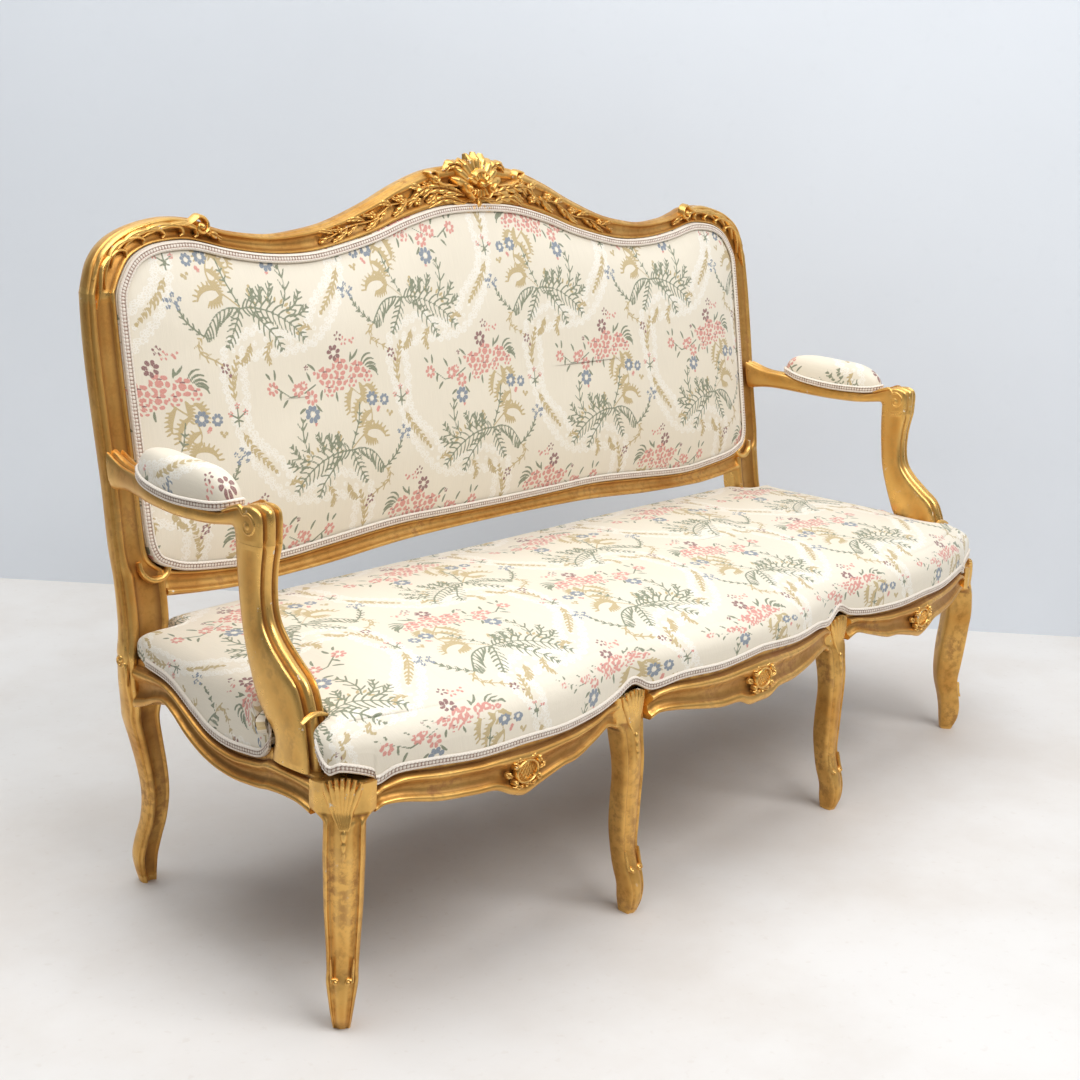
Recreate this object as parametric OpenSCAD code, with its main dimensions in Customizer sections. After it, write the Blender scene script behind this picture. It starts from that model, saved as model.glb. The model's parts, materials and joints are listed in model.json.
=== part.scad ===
// Cabriole sofa with a carved show-wood frame, a domed seat, an upholstered
// back and padded arms. The right half is worked out and the left mirrors it.
// Inside the functions y runs back from the front corner feet and z up from
// the floor; every piece is then moved so that the origin lies under the middle.

/* [Frame] */
// Half the distance between the middles of the front corner leg heads
corner_leg_x = 834; // [700:1:950]
// Distance from the middle of the sofa to each middle leg
middle_leg_x = 292; // [250:1:330]
// Height of the front legs, up to the flat that carries the webbing
leg_h = 352; // [300:1:400]
// Width of a front corner leg just below its head
corner_leg_w = 56; // [46:1:64]
// Width of a front middle leg just below its head
middle_leg_w = 47; // [40:1:54]
// Half the side of the square head of a corner leg
corner_head_half = 31; // [29:0.5:34]
// Half the width of the head of a middle leg
middle_head_half = 38; // [32:1:44]
// Thickness of the seat rails
rail_t = 44; // [38:1:50]
// How far the front rail bows out in front of the corner feet
front_bow = 88; // [60:1:110]
// Distance from the front corner feet back to the rear posts
seat_depth = 480; // [430:1:540]
// How far the rear feet stand behind the front of the rear posts
rear_splay = 56; // [40:1:66]
// Depth of the moulding cut into the front and side rails
moulding_d = 10; // [6:0.5:12]

/* [Back] */
// How far the sides of the back frame stand inside the middles of the arms
back_inset = 9; // [4:1:14]
// Height at which the crest rail sits on the rear posts
post_top_h = 920; // [860:1:1000]
// Rise of the crest rail from that joint to its middle
crest_rise = 184; // [150:1:220]
// How far the crest carving stands above the crest rail
carving_rise = 27; // [15:1:40]
// How far the back leans back for each unit of height
lean_share = 0.17; // [0.1:0.01:0.24]
// Thickness of the back frame
back_t = 42; // [36:1:50]
// Width of a rear post beside the upholstery
post_w = 49; // [42:1:56]
// Height of the upper edge of the lower back rail at its middle
lower_rail_h = 506; // [490:1:530]
// Width of the lower back rail, seen from the front
lower_rail_w = 28; // [24:1:36]

/* [Arms] */
// Height of the highest point of the arms, at the scrolled knuckle
arm_h = 689; // [640:1:730]
// Width of an arm rail under its pad
arm_w = 46; // [38:1:52]
// Width of an arm pad
arm_pad_w = 62; // [50:1:72]
// Height of an arm pad above the arm rail
arm_pad_t = 58; // [40:1:66]
// Length of an arm pad
arm_pad_l = 222; // [160:1:240]

/* [Upholstery] */
// How far the crown of the seat rises above the front legs
seat_crown = 104; // [90:1:116]
// How far the rounded front edge of the seat rises above the front legs
seat_edge = 64; // [54:1:72]
// How far the padding of the back stands out in front of its frame
back_crown = 30; // [18:1:40]
// Thickness of a layer of covering fabric with its lining
cover_t = 2.5; // [1.5:0.5:4]
// Width of the braid that covers the edges of the fabric
gimp_w = 14; // [10:1:18]
// Thickness of that braid
gimp_t = 3; // [2:0.5:4]
// Width of the jute webs
web_w = 50; // [40:1:60]
// Thickness of the jute webs
web_t = 2; // [1.5:0.5:3]
// Number of webs that run from front to back
web_count = 15; // [9:2:17]

/* [Hidden] */
// Distance from the middle of the sofa to the middle of each arm
arm_x = corner_leg_x;
// Half the width of the back frame, outside
back_half_w = arm_x - back_inset;
// Heights of the crown of the seat and of its rounded front edge
seat_crown_h = leg_h + seat_crown;
seat_edge_h = leg_h + seat_edge;
// Clearance between pieces that lie against each other
clearance = 0.3;
// Length, thickness and height of the tenons of the seat rails
tenon_l = 20;
tenon_t = 13;
tenon_h = 26;
// Height of the strip of each rail that the fabric is tacked to
tack_h = 11;
// Room for the folded edge of the fabric in front of that strip
fold_room = 1.6;
// Width of the ledge inside the back frame that the webs are tacked to
lip_w = 14;
// Depth of a rear post at the height of the seat
post_d = 48;
// Height and thickness of the rear seat rail and its lowest edge
rear_rail_h = 96;
rear_rail_t = 36;
// Width and height of the bearers that cross the seat frame
bearer_w = 34;
bearer_h = 44;
// Width and thickness of the upright braces inside the back
brace_w = 50;
brace_t = 20;
// Height at which the posts start to lean back
lean_from_h = 392;
// Distance from the middle of the overall depth to the front corner feet
plan_mid = (lean(post_top_h + crest_rise + carving_rise) + back_t - front_bow - moulding_d / 2) / 2;

// Part 1: curves and skins

// Row of a table that holds t, where the first column grows from row to row
function row_at(t, tab) = max(0, min(len(tab) - 2, len([for (r = tab) if (r[0] <= t) 1]) - 1));

// Slope of column c of a table at row i
function slope(tab, i, c) = let (a = max(0, i - 1), b = min(len(tab) - 1, i + 1))
  (tab[b][c] - tab[a][c]) / (tab[b][0] - tab[a][0]);

// Column c of a table at t, on a smooth curve through its rows
function curve(t, tab, c) = let (
    i = row_at(t, tab), a = tab[i], b = tab[i + 1],
    span = b[0] - a[0], u = (t - a[0]) / span)
  a[c] * (1 + 2 * u) * pow(1 - u, 2) + b[c] * u * u * (3 - 2 * u)
  + span * u * pow(1 - u, 2) * slope(tab, i, c) - span * u * u * (1 - u) * slope(tab, i + 1, c);

// A whole row of a table at t
function curve_row(t, tab) = [for (c = [0:len(tab[0]) - 1]) curve(t, tab, c)];

// Steps from a to b
function steps(a, b, n) = [for (i = [0:n]) a + (b - a) * i / n];

function mix(a, b, t) = a + (b - a) * t;
function middle(ring) = [for (p = ring) 1] * ring / len(ring);

// Faces of a skin over rings of n points, with a fan over each end
function skin_faces(m, n) = concat(
  [for (i = [0:m - 2], j = [0:n - 1]) [i * n + j, i * n + n + j, i * n + (j + 1) % n]],
  [for (i = [0:m - 2], j = [0:n - 1]) [i * n + (j + 1) % n, i * n + n + j, i * n + n + (j + 1) % n]],
  [for (j = [0:n - 1]) [m * n, j, (j + 1) % n]],
  [for (j = [0:n - 1]) [m * n + 1, (m - 1) * n + (j + 1) % n, (m - 1) * n + j]]);

// Six times the volume inside a closed skin, negative where it is inside out
function skin_volume(p, faces) =
  [for (f = faces) 1] * [for (f = faces) p[f[0]] * cross(p[f[1]], p[f[2]])];

// Middle of the fan that closes a ring: between the two points of hub, which must see every other
function fan_middle(ring, hub) = len(hub) < 2 ? middle(ring) : mix(ring[hub[0]], ring[hub[1]], 0.5);

// A closed solid through a list of rings that hold as many points each
module skin(rings, hub = []) {
  m = len(rings);
  n = len(rings[0]);
  points = concat([for (r = rings) each r], [fan_middle(rings[0], hub), fan_middle(rings[m - 1], hub)]);
  faces = skin_faces(m, n);
  turned = skin_volume(points, faces) > 0;
  polyhedron(points, [for (f = faces) turned ? [f[0], f[2], f[1]] : f]);
}

// Moves a piece so that the origin lies under the middle of the sofa
module placed() {
  translate([0, -plan_mid, 0]) children();
}

module left_side() {
  mirror([1, 0, 0]) children();
}

module both_sides() {
  children();
  left_side() children();
}

module block(low, high) {
  translate(low) cube(high - low);
}

// Part 2: front legs

// Section of a leg: share of its width, and share of its depth from the inside out
leg_half_shares = [[0.28, 0], [0.44, 0.14], [0.5, 0.5], [0.5, 0.8], [0.42, 0.93], [0.33, 0.88], [0.14, 1]];
// Shape of a front corner leg: shares of its height, and shares of its width that it
// reaches outwards, inwards and from side to side
corner_leg_shares = [
  [0, 0.25, -0.14, 0.42], [0.06, 0.43, -0.19, 0.52], [0.13, 0.47, -0.24, 0.64],
  [0.2, 0.4, -0.33, 0.76], [0.235, 0.33, -0.4, 0.75], [0.31, 0.28, -0.52, 0.79],
  [0.4, 0.34, -0.57, 0.85], [0.52, 0.41, -0.55, 0.93], [0.63, 0.46, -0.49, 0.96],
  [0.72, 0.5, -0.46, 0.99], [0.8, 0.47, -0.48, 0.98], [0.85, 0.43, -0.49, 0.98]];
middle_leg_shares = [
  [0, 0.36, -0.18, 0.46], [0.06, 0.52, -0.24, 0.6], [0.13, 0.53, -0.26, 0.72],
  [0.2, 0.38, -0.42, 0.8], [0.235, 0.26, -0.5, 0.78], [0.31, 0.12, -0.6, 0.83],
  [0.4, 0.12, -0.68, 0.89], [0.52, 0.13, -0.67, 0.94], [0.63, 0.15, -0.64, 0.97],
  [0.72, 0.14, -0.72, 0.99], [0.8, 0.06, -0.86, 1.02], [0.85, 0, -0.92, 1.1]];
leg_ring_shares = [0, 0.04, 0.09, 0.15, 0.2, 0.24, 0.29, 0.36, 0.46, 0.56, 0.66, 0.76, 0.85];
// Height at which the head of a leg has its full section, as a share of the leg's height
head_from_share = 0.89;
// Half the section of a corner head, in shares of half its side along its diagonal
corner_head_shares = [[0.06, -1.354], [0.707, -0.707], [1.414, 0], [1.18, 0.3], [0.86, 0.5],
  [0.55, 0.62], [0.2, 0.68]];
// Half the section of a middle head, in shares of half its width and of its depth
middle_head_shares = [[0.3, 0], [1, 0], [1, 0.45], [1, 0.82], [0.82, 0.96], [0.5, 1.06], [0.18, 1.1]];
// Half the section of the fan that stands in front of the fabric on each head
corner_fan_shares = [[0.15, 0.42], [0.5, 0.36], [0.8, 0.24], [0.96, 0.42], [0.8, 0.52], [0.5, 0.63],
  [0.2, 0.68]];
middle_fan_shares = [[0.18, 0.95], [0.5, 0.92], [0.84, 0.83], [0.94, 0.86], [0.82, 0.96], [0.5, 1.06],
  [0.18, 1.1]];
// How far the top of a fan rises above the head, as a share of the leg's height
fan_rise_share = 0.03;

function both_halves(half) = concat(half, [for (i = [len(half) - 1:-1:0]) [-half[i][0], half[i][1]]]);

// Ring at height z of points [side, out] about the point at, where out points along angle
function plan_ring(points, at, angle, z) = [for (p = points)
  [at[0] + p[1] * cos(angle) - p[0] * sin(angle), at[1] + p[1] * sin(angle) + p[0] * cos(angle), z]];

function leg_section(row, w) = [for (p = both_halves(leg_half_shares))
  [p[0] * row[3] * w, mix(row[2], row[1], p[1]) * w]];

function leg_rings(tab, w, at, angle) = [for (s = leg_ring_shares)
  plan_ring(leg_section(curve_row(s, tab), w), at, angle, s * leg_h)];

// Rings of a head from its lower edge to the top of its fan
function head_rings(head, fan, half, at, angle) = concat(
  [for (s = [head_from_share, 1]) plan_ring(head, at, angle, s * leg_h)],
  [plan_ring(fan, at, angle, leg_h)],
  [let (low = plan_ring(fan, at, angle, leg_h)) [for (i = [0:len(fan) - 1])
    low[i] + [0, 0, leg_h * fan_rise_share * max(0.05, 1 - pow(fan[i][0] / half, 2))]]]);

module front_corner_leg() {
  head = both_halves(corner_head_shares) * corner_head_half;
  fan = both_halves(corner_fan_shares) * corner_head_half;
  difference() {
    skin(concat(leg_rings(corner_leg_shares, corner_leg_w, [corner_leg_x, 0], -45),
      head_rings(head, fan, corner_head_half, [corner_leg_x, corner_head_y], -45)));
    front_tenon(corner_leg_x - corner_head_half);
    side_tenon();
  }
}

function middle_head_part(half) = [for (p = both_halves(half))
  [p[0] * middle_head_half, (p[1] - 1) * middle_head_d]];

module front_middle_leg() {
  difference() {
    skin(concat(leg_rings(middle_leg_shares, middle_leg_w, [middle_leg_x, middle_foot_y], -90),
      head_rings(middle_head_part(middle_head_shares), middle_head_part(middle_fan_shares),
        middle_head_half, [middle_leg_x, middle_head_y], -90)));
    front_tenon(middle_leg_x + middle_head_half, -1);
    front_tenon(middle_leg_x - middle_head_half);
    bearer_front_tenon();
  }
}

// Part 3: seat rails

// Front of the front rails: shares of corner_leg_x, of the bow that stands out, and of
// leg_h at the lower edge and at the lower edge of the fabric
front_shares = [
  [0, 1, 0.8, 1.04], [0.035, 1, 0.803, 1.036], [0.064, 0.99, 0.832, 1.028], [0.125, 0.955, 0.838, 1.019],
  [0.192, 0.886, 0.864, 1.019], [0.25, 0.77, 0.884, 1.022], [0.285, 0.68, 0.884, 1.01],
  [0.304, 0.635, 0.862, 0.998], [0.35, 0.57, 0.84, 1.045], [0.396, 0.58, 0.873, 1.005],
  [0.427, 0.61, 0.898, 0.995], [0.466, 0.68, 0.875, 0.982], [0.53, 0.77, 0.834, 0.978],
  [0.57, 0.796, 0.828, 0.978], [0.632, 0.81, 0.795, 0.982], [0.668, 0.808, 0.775, 0.99],
  [0.699, 0.8, 0.795, 0.992], [0.735, 0.775, 0.834, 0.989], [0.773, 0.727, 0.841, 0.988],
  [0.848, 0.6, 0.855, 0.998], [0.912, 0.455, 0.884, 1.008], [0.947, 0.35, 0.887, 0.985],
  [0.963, 0.3, 0.868, 0.967], [1, 0.18, 0.86, 1]];
// Outline of the moulding: shares of the rail's height and of the moulding's depth
rail_moulding_shares = [[0, 1], [0, 0.4], [0.07, 0.05], [0.17, 0.05], [0.25, 0.6], [0.42, 1],
  [0.58, 0.85], [0.67, 0.2], [0.75, 0], [0.84, 0.35], [0.92, 1], [1, 1]];
// Outside of the side rails: shares of seat_depth, of corner_leg_x outwards, and of leg_h
// at the lower edge and at the lower edge of the fabric
side_shares = [
  [0.07, 1.038, 0.853, 1], [0.13, 1.036, 0.872, 1], [0.2, 1.034, 0.874, 1], [0.27, 1.033, 0.866, 1],
  [0.3, 1.032, 0.857, 0.985], [0.345, 1.031, 0.85, 0.973], [0.42, 1.03, 0.844, 0.96],
  [0.5, 1.027, 0.85, 0.966], [0.555, 1.024, 0.862, 0.98], [0.61, 1.02, 0.88, 1.005],
  [0.68, 1.014, 0.914, 1.043], [0.755, 1.007, 0.966, 1.078], [0.82, 1, 0.99, 1.094],
  [0.877, 0.995, 0.97, 1.1], [0.94, 0.991, 0.93, 1.104], [1, 0.989, 0.9, 1.108]];
// Depth of the middle leg heads
middle_head_d = rail_t + moulding_d / 2;
corner_head_y = front_y(corner_leg_x - corner_head_half) + corner_head_half;
middle_head_y = front_y(middle_leg_x) + moulding_d / 2;
middle_head_back_y = middle_head_y + middle_head_d;
middle_foot_y = middle_head_y - moulding_d;
side_from_y = corner_head_y + corner_head_half;
// Least height of wood under the webbing ledge of a rail
ledge_h = 30;
// End of the side rail's tacking strip, as a share of seat_depth
strip_end_share = 0.93;
// Depth of the back of the tacking strip behind the face of its rail
strip_back_d = 2 * moulding_d;

function front_row(x) = curve_row(abs(x) / corner_leg_x, front_shares);
function front_y(x) = -front_row(x)[1] * front_bow;
function front_low(x) = front_row(x)[2] * leg_h;
function front_top(x) = front_row(x)[3] * leg_h;
function side_row(y) = curve_row(y / seat_depth, side_shares);
function side_x(y) = side_row(y)[1] * corner_leg_x;
function side_low(y) = side_row(y)[2] * leg_h;
function side_top(y) = side_row(y)[3] * leg_h;

// Points of a rail's section, at its face and at the back of the strip, that a fan can stand between
rail_hub = [1, 14];

// Section of a rail as [depth behind its face, height], from its lower to its upper edge
function rail_section(low, top, tack) = let (face = moulding_d + fold_room) concat(
  [for (p = rail_moulding_shares) [p[1] * face, mix(low, top, p[0])]],
  [[face, top + tack], [strip_back_d - fold_room, top + tack], [strip_back_d, leg_h],
    [rail_t, leg_h], [rail_t, min(low, leg_h - ledge_h)]]);

module front_rail(from, to, n) {
  xs = steps(from + clearance, to - clearance, n);
  skin([for (x = xs) [for (p = rail_section(front_low(x), front_top(x), tack_h)) [x, front_y(x) + p[0], p[1]]]],
    rail_hub);
}

// Tenon of a front rail that reaches from x in the direction way
module front_tenon(x, way = 1) {
  y = front_y(x) + (rail_t + moulding_d) / 2;
  near = x - way * tenon_l / 2;
  far = x + way * tenon_l;
  block([min(near, far), y - tenon_t / 2, leg_h - tack_h - tenon_h],
    [max(near, far), y + tenon_t / 2, leg_h - tack_h]);
}

module side_tenon() {
  x = side_x(side_from_y) - (rail_t + moulding_d) / 2;
  block([x - tenon_t / 2, side_from_y - tenon_l, leg_h - tack_h - tenon_h],
    [x + tenon_t / 2, side_from_y + tenon_l / 2, leg_h - tack_h]);
}

module rear_side_tenon() {
  x = side_x(seat_depth) - (rail_t + moulding_d) / 2;
  block([x - tenon_t / 2, seat_depth - tenon_l / 2, leg_h - tack_h],
    [x + tenon_t / 2, seat_depth + tenon_l, leg_h - tack_h + tenon_h]);
}

module outer_front_rail() {
  from = middle_leg_x + middle_head_half;
  to = corner_leg_x - corner_head_half;
  union() {
    front_rail(from, to, 14);
    front_tenon(from, -1);
    front_tenon(to);
  }
}

module middle_front_rail() {
  to = middle_leg_x - middle_head_half;
  union() {
    front_rail(-to, to, 14);
    front_tenon(to);
    left_side() front_tenon(to);
  }
}

module side_rail() {
  strip_to_y = seat_depth * strip_end_share;
  ys = concat(steps(side_from_y + clearance, arm_foot_back_y, 3),
    steps(arm_foot_back_y + 2 * clearance, strip_to_y, 9),
    [strip_to_y + 2 * clearance, seat_depth - clearance]);
  difference() {
    union() {
      skin([for (y = ys) let (tack = y > arm_foot_back_y && y <= strip_to_y ? tack_h : 0)
        [for (p = rail_section(side_low(y), side_top(y), tack)) [side_x(y) - p[0], y, p[1]]]], rail_hub);
      side_tenon();
      rear_side_tenon();
    }
    support_foot_tenon();
  }
}

// The rear rail has a ledge in front for the webs
module rear_rail() {
  difference() {
    rotate([90, 0, 90]) translate([0, 0, -rear_rail_end]) linear_extrude(2 * rear_rail_end) polygon([
      [rear_rail_y, rear_rail_low], [rear_rail_y + rear_rail_t, rear_rail_low],
      [rear_rail_y + rear_rail_t, rear_rail_low + rear_rail_h],
      [rear_rail_y + rear_rail_t / 2, rear_rail_low + rear_rail_h],
      [rear_rail_y + rear_rail_t / 2, leg_h], [rear_rail_y, leg_h]]);
    both_sides() bearer_tenon();
    both_sides() rear_middle_tenon();
  }
  both_sides() rear_rail_tenon();
}

module rear_rail_tenon() {
  y = rear_rail_y + rear_rail_t * 0.75;
  block([rear_rail_x - tenon_l / 2, y - tenon_t / 2, rear_rail_low + rear_rail_h / 4],
    [rear_rail_x + tenon_l, y + tenon_t / 2, rear_rail_low + rear_rail_h * 3 / 4]);
}

module rear_middle_tenon() {
  y = rear_rail_y + rear_rail_t / 2;
  block([middle_leg_x - tenon_h / 2, y - tenon_t / 2, rear_rail_low - tenon_l / 2],
    [middle_leg_x + tenon_h / 2, y + tenon_t / 2, rear_rail_low + tenon_l]);
}

// Bearer that crosses the seat frame behind a middle leg, tenoned at both ends
module bearer() {
  block([middle_leg_x - bearer_w / 2, middle_head_back_y + clearance, leg_h - bearer_h],
    [middle_leg_x + bearer_w / 2, rear_rail_y - clearance, leg_h]);
  bearer_tenon();
  bearer_front_tenon();
}

module bearer_tenon() {
  block([middle_leg_x - tenon_t / 2, rear_rail_y - tenon_l / 2, leg_h - tack_h - tenon_h],
    [middle_leg_x + tenon_t / 2, rear_rail_y + tenon_l / 2, leg_h - tack_h]);
}

module bearer_front_tenon() {
  block([middle_leg_x - tenon_t / 2, middle_head_back_y - tenon_l / 2, leg_h - tack_h - tenon_h],
    [middle_leg_x + tenon_t / 2, middle_head_back_y + tenon_l / 2, leg_h - tack_h]);
}

// Block glued into a front corner, between the rails and around the inner corner of the leg head
module front_corner_block() {
  head_x = corner_leg_x - corner_head_half - clearance;
  head_y = side_from_y + clearance;
  side_in = function (y) side_x(y) - rail_t - 2 * clearance;
  translate([0, 0, leg_h - bearer_h]) linear_extrude(bearer_h) polygon(concat(
    [for (x = steps(head_x - corner_block_w, head_x, 3)) [x, front_y(x) + rail_t + 2 * clearance]],
    [[head_x, head_y], [side_in(head_y), head_y], [side_in(head_y + corner_block_w), head_y + corner_block_w],
      [side_in(head_y + corner_block_w) - block_edge, head_y + corner_block_w],
      [head_x - corner_block_w, front_y(head_x - corner_block_w) + rail_t + block_edge]]));
}

module rear_corner_block() {
  translate([rear_rail_x - 3 * clearance, rear_rail_y - clearance, leg_h - bearer_h]) linear_extrude(bearer_h)
    polygon([[0, 0], [-corner_block_w, 0], [-corner_block_w, -block_edge], [-block_edge, -corner_block_w],
      [0, -corner_block_w]]);
}

// Part 4: rear posts and the back frame

// Lower part of a rear post: shares of leg_h, of back_half_w for its inner and outer side,
// of rear_splay that it stands back, and of post_d for its depth
rear_leg_shares = [
  [0, 0.912, 0.941, 0.79, 0.5], [0.06, 0.91, 0.947, 0.79, 0.62], [0.13, 0.909, 0.952, 0.74, 0.73],
  [0.22, 0.905, 0.949, 0.62, 0.75], [0.31, 0.901, 0.944, 0.48, 0.75], [0.43, 0.898, 0.943, 0.4, 0.81],
  [0.55, 0.903, 0.952, 0.36, 0.87], [0.7, 0.917, 0.97, 0.27, 0.98], [0.82, 0.93, 0.988, 0.13, 1.1],
  [0.9, 0.931, 0.996, 0, 1.14], [1, 0.931, 1.004, 0, 1.04], [1.13, 0.931, 1.006, 0, 1]];
// Upper part of a rear post: shares of its height, of back_half_w for its outer side, of
// post_w for its width, and of lip_w for its ledge
stile_shares = [
  [0.033, 1.003, 1.5, 0.05], [0.08, 1, 1.59, 0.05], [0.218, 1, 1.59, 0.05],
  [0.226, 1, 1.48, 0.1], [0.241, 1, 1.24, 0.4], [0.262, 1, 1.08, 0.8], [0.3, 1.001, 1.03, 1],
  [0.47, 1, 1, 1], [0.7, 1.003, 1.02, 1], [0.87, 1.003, 1.02, 1], [1, 0.998, 0.96, 1]];
// Outline of the back frame's moulding: share of its width from the upholstery outwards,
// share of the ledge inwards, and share of its thickness from front to back
back_moulding_shares = [
  [0, -1, 1], [0, -1, 0.35], [0, 0, 0.35], [0, 0, 0.14], [0.06, 0, 0.04], [0.16, 0, 0],
  [0.27, 0, 0.1], [0.5, 0, 0.17], [0.68, 0, 0.1], [0.77, 0, 0], [0.88, 0, 0.05], [0.97, 0, 0.22],
  [1, 0, 0.5], [1, 0, 1]];
// Right half of the crest rail, from its joint to the middle: shares of back_half_w and
// of crest_rise for its outer edge, then for its inner edge
crest_shares = [
  [0, 0.998, 0, 0.941, 0], [1, 0.977, 0.245, 0.924, 0.136], [2, 0.94, 0.41, 0.9, 0.272],
  [3, 0.885, 0.515, 0.858, 0.359], [4, 0.82, 0.57, 0.814, 0.386], [5, 0.762, 0.56, 0.776, 0.391],
  [6, 0.732, 0.515, 0.739, 0.364], [7, 0.676, 0.45, 0.68, 0.304], [8, 0.582, 0.408, 0.585, 0.25],
  [9, 0.505, 0.435, 0.49, 0.248], [10, 0.42, 0.505, 0.41, 0.299], [11, 0.315, 0.663, 0.309, 0.397],
  [12, 0.227, 0.826, 0.23, 0.505], [13, 0.142, 0.946, 0.133, 0.603], [14, 0.061, 0.99, 0.061, 0.636],
  [15, 0, 1, 0, 0.641]];
crest_steps_share = steps(0, 1, 15);
// Sides of the crest rail's tenons, as shares of post_w inside the post, and front and back
// of all the tenons in the back frame, as shares of back_t
crest_tenon_shares = [0.3, 0.75];
back_tenon_shares = [0.45, 0.8];
// Right half of the lower back rail: share of its half length, and shares of its width
// above its upper edge in the middle, for the upper and the lower edge
lower_rail_shares = [
  [0, 0, -0.9], [0.2, 0.04, -0.95], [0.353, 0.07, -1.07], [0.56, -0.28, -1.43], [0.68, -0.5, -1.54],
  [0.76, -0.54, -1.59], [0.82, -0.43, -1.6], [0.916, -0.2, -1.45], [0.97, 0.02, -1.32], [1, 0.2, -1.25]];
rear_rail_x = back_half_w * rear_leg_shares[10][1];
// Ledge of a post where no fabric is tacked to it
least_lip = lip_w / 20;
rear_rail_end = rear_rail_x - least_lip - 4 * clearance;
rear_rail_y = seat_depth + post_d / 4;
rear_rail_low = leg_h - rear_rail_h / 2;
corner_block_w = 3 * tenon_l;
block_edge = tenon_t;
post_foot_h = leg_h * 1.13;
lower_rail_x = back_half_w - stile_shares[2][2] * post_w;

function lean(z) = seat_depth + lean_share * max(0, z - lean_from_h);

// Ring of the back frame between an inner and an outer point [x, z], starting back by y
function back_ring(inner, outer, y, depth, lip) = let (across = outer - inner, dir = across / norm(across))
  [for (p = back_moulding_shares) let (q = inner + across * p[0] + dir * p[1] * lip)
    [q[0], lean(q[1]) + y + p[2] * depth, q[1]]];

function rear_leg_ring(row) = let (z = leg_h * row[0]) back_ring([back_half_w * row[1], z],
  [back_half_w * row[2], z], rear_splay * row[3], post_d * row[4], least_lip);

function stile_ring(row) = let (
    z = mix(post_foot_h, post_top_h, row[0]), outer = back_half_w * row[1],
    depth = mix(post_d, back_t, min(1, row[0] * 6)))
  back_ring([outer - row[2] * post_w, z], [outer, z], 0, depth, row[3] * lip_w);

module rear_post() {
  difference() {
    skin(concat([for (row = rear_leg_shares) rear_leg_ring(row)],
      [for (row = stile_shares) stile_ring(row)]));
    rear_side_tenon();
    rear_rail_tenon();
    lower_rail_tenon();
    arm_tenon();
    crest_tenon();
  }
}

// Crest rail
function crest_row(s) = curve_row(s * (len(crest_shares) - 1), crest_shares);
function crest_outer(s) = let (r = crest_row(s)) [back_half_w * r[1], post_top_h + crest_rise * r[2]];
function crest_inner(s) = let (r = crest_row(s)) [back_half_w * r[3], post_top_h + crest_rise * r[4]];
function crest_ring(s) = back_ring(crest_inner(s), crest_outer(s), 0, back_t, lip_w);
function mirrored(ring) = [for (p = ring) [-p[0], p[1], p[2]]];

module crest_tenon() {
  from = back_half_w - post_w * crest_tenon_shares[1];
  to = back_half_w - post_w * crest_tenon_shares[0];
  low = post_top_h - tenon_l;
  high = post_top_h + tenon_l / 2;
  leaned_plate([[from, low], [to, low], [to, high], [from, high]],
    back_t * back_tenon_shares[0], back_t * back_tenon_shares[1]);
}

// A flat plate with the outline of points [x, z], that leans with the back
module leaned_plate(points, from, to) {
  skin([for (d = [from, to]) [for (p = points) [p[0], lean(p[1]) + d, p[1]]]]);
}

module crest() {
  half = [for (s = crest_steps_share) crest_ring(s)];
  n = len(half) - 1;
  difference() {
    union() {
      skin(concat(half, [for (i = [n - 1:-1:0]) mirrored(half[i])]));
      both_sides() crest_tenon();
    }
    both_sides() brace_tenons();
  }
}

// Lower back rail
function lower_row(x) = curve_row(abs(x) / lower_rail_x, lower_rail_shares);
function lower_top(x) = lower_rail_h + lower_rail_w * lower_row(x)[1];
function lower_low(x) = lower_rail_h + lower_rail_w * lower_row(x)[2];

module lower_rail_tenon() {
  mid = (lower_top(lower_rail_x) + lower_low(lower_rail_x)) / 2;
  leaned_plate([[lower_rail_x - tenon_l, mid - tenon_t], [lower_rail_x + tenon_l, mid - tenon_t],
    [lower_rail_x + tenon_l, mid + tenon_t], [lower_rail_x - tenon_l, mid + tenon_t]],
    back_t * back_tenon_shares[0], back_t * back_tenon_shares[1]);
}

// Places along half of the lower back rail, shared with the fabric above it
lower_steps_share = [0, 0.18, 0.35, 0.5, 0.62, 0.72, 0.82, 0.91, 0.965, 1];

function lower_ring(s) = let (x = s * (lower_rail_x - least_lip - clearance))
  back_ring([x, lower_top(x)], [x, lower_low(x)], 0, back_t, s < 1 ? lip_w : lip_w / 10);

module lower_rail() {
  half = [for (s = lower_steps_share) lower_ring(s)];
  difference() {
    union() {
      skin(concat([for (i = [len(half) - 1:-1:1]) mirrored(half[i])], half));
      both_sides() lower_rail_tenon();
    }
    both_sides() brace_tenons();
  }
}

// Upright braces between the two rails, behind the webs
fine_steps_share = steps(0, 1, 60);

// Height of the crest rail's inner edge at x
function crest_inner_z(x) = let (past = [for (s = fine_steps_share) if (crest_inner(s)[0] >= x) s])
  crest_inner(past[len(past) - 1])[1];

function brace_outline(w, low, high) = [[middle_leg_x - w / 2, low], [middle_leg_x + w / 2, low],
  [middle_leg_x + w / 2, high], [middle_leg_x - w / 2, high]];

brace_low = lower_top(middle_leg_x - brace_w) + lip_w + clearance;
brace_high = crest_inner_z(middle_leg_x + brace_w / 2) - lip_w - clearance;

module brace_tenons() {
  for (z = [brace_low, brace_high])
    leaned_plate(brace_outline(brace_w / 2, z - tenon_t, z + tenon_t), back_t - brace_t, back_t - brace_t / 2);
}

module brace() {
  union() {
    leaned_plate(brace_outline(brace_w, brace_low, brace_high), back_t - brace_t, back_t - clearance);
    brace_tenons();
  }
}

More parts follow.
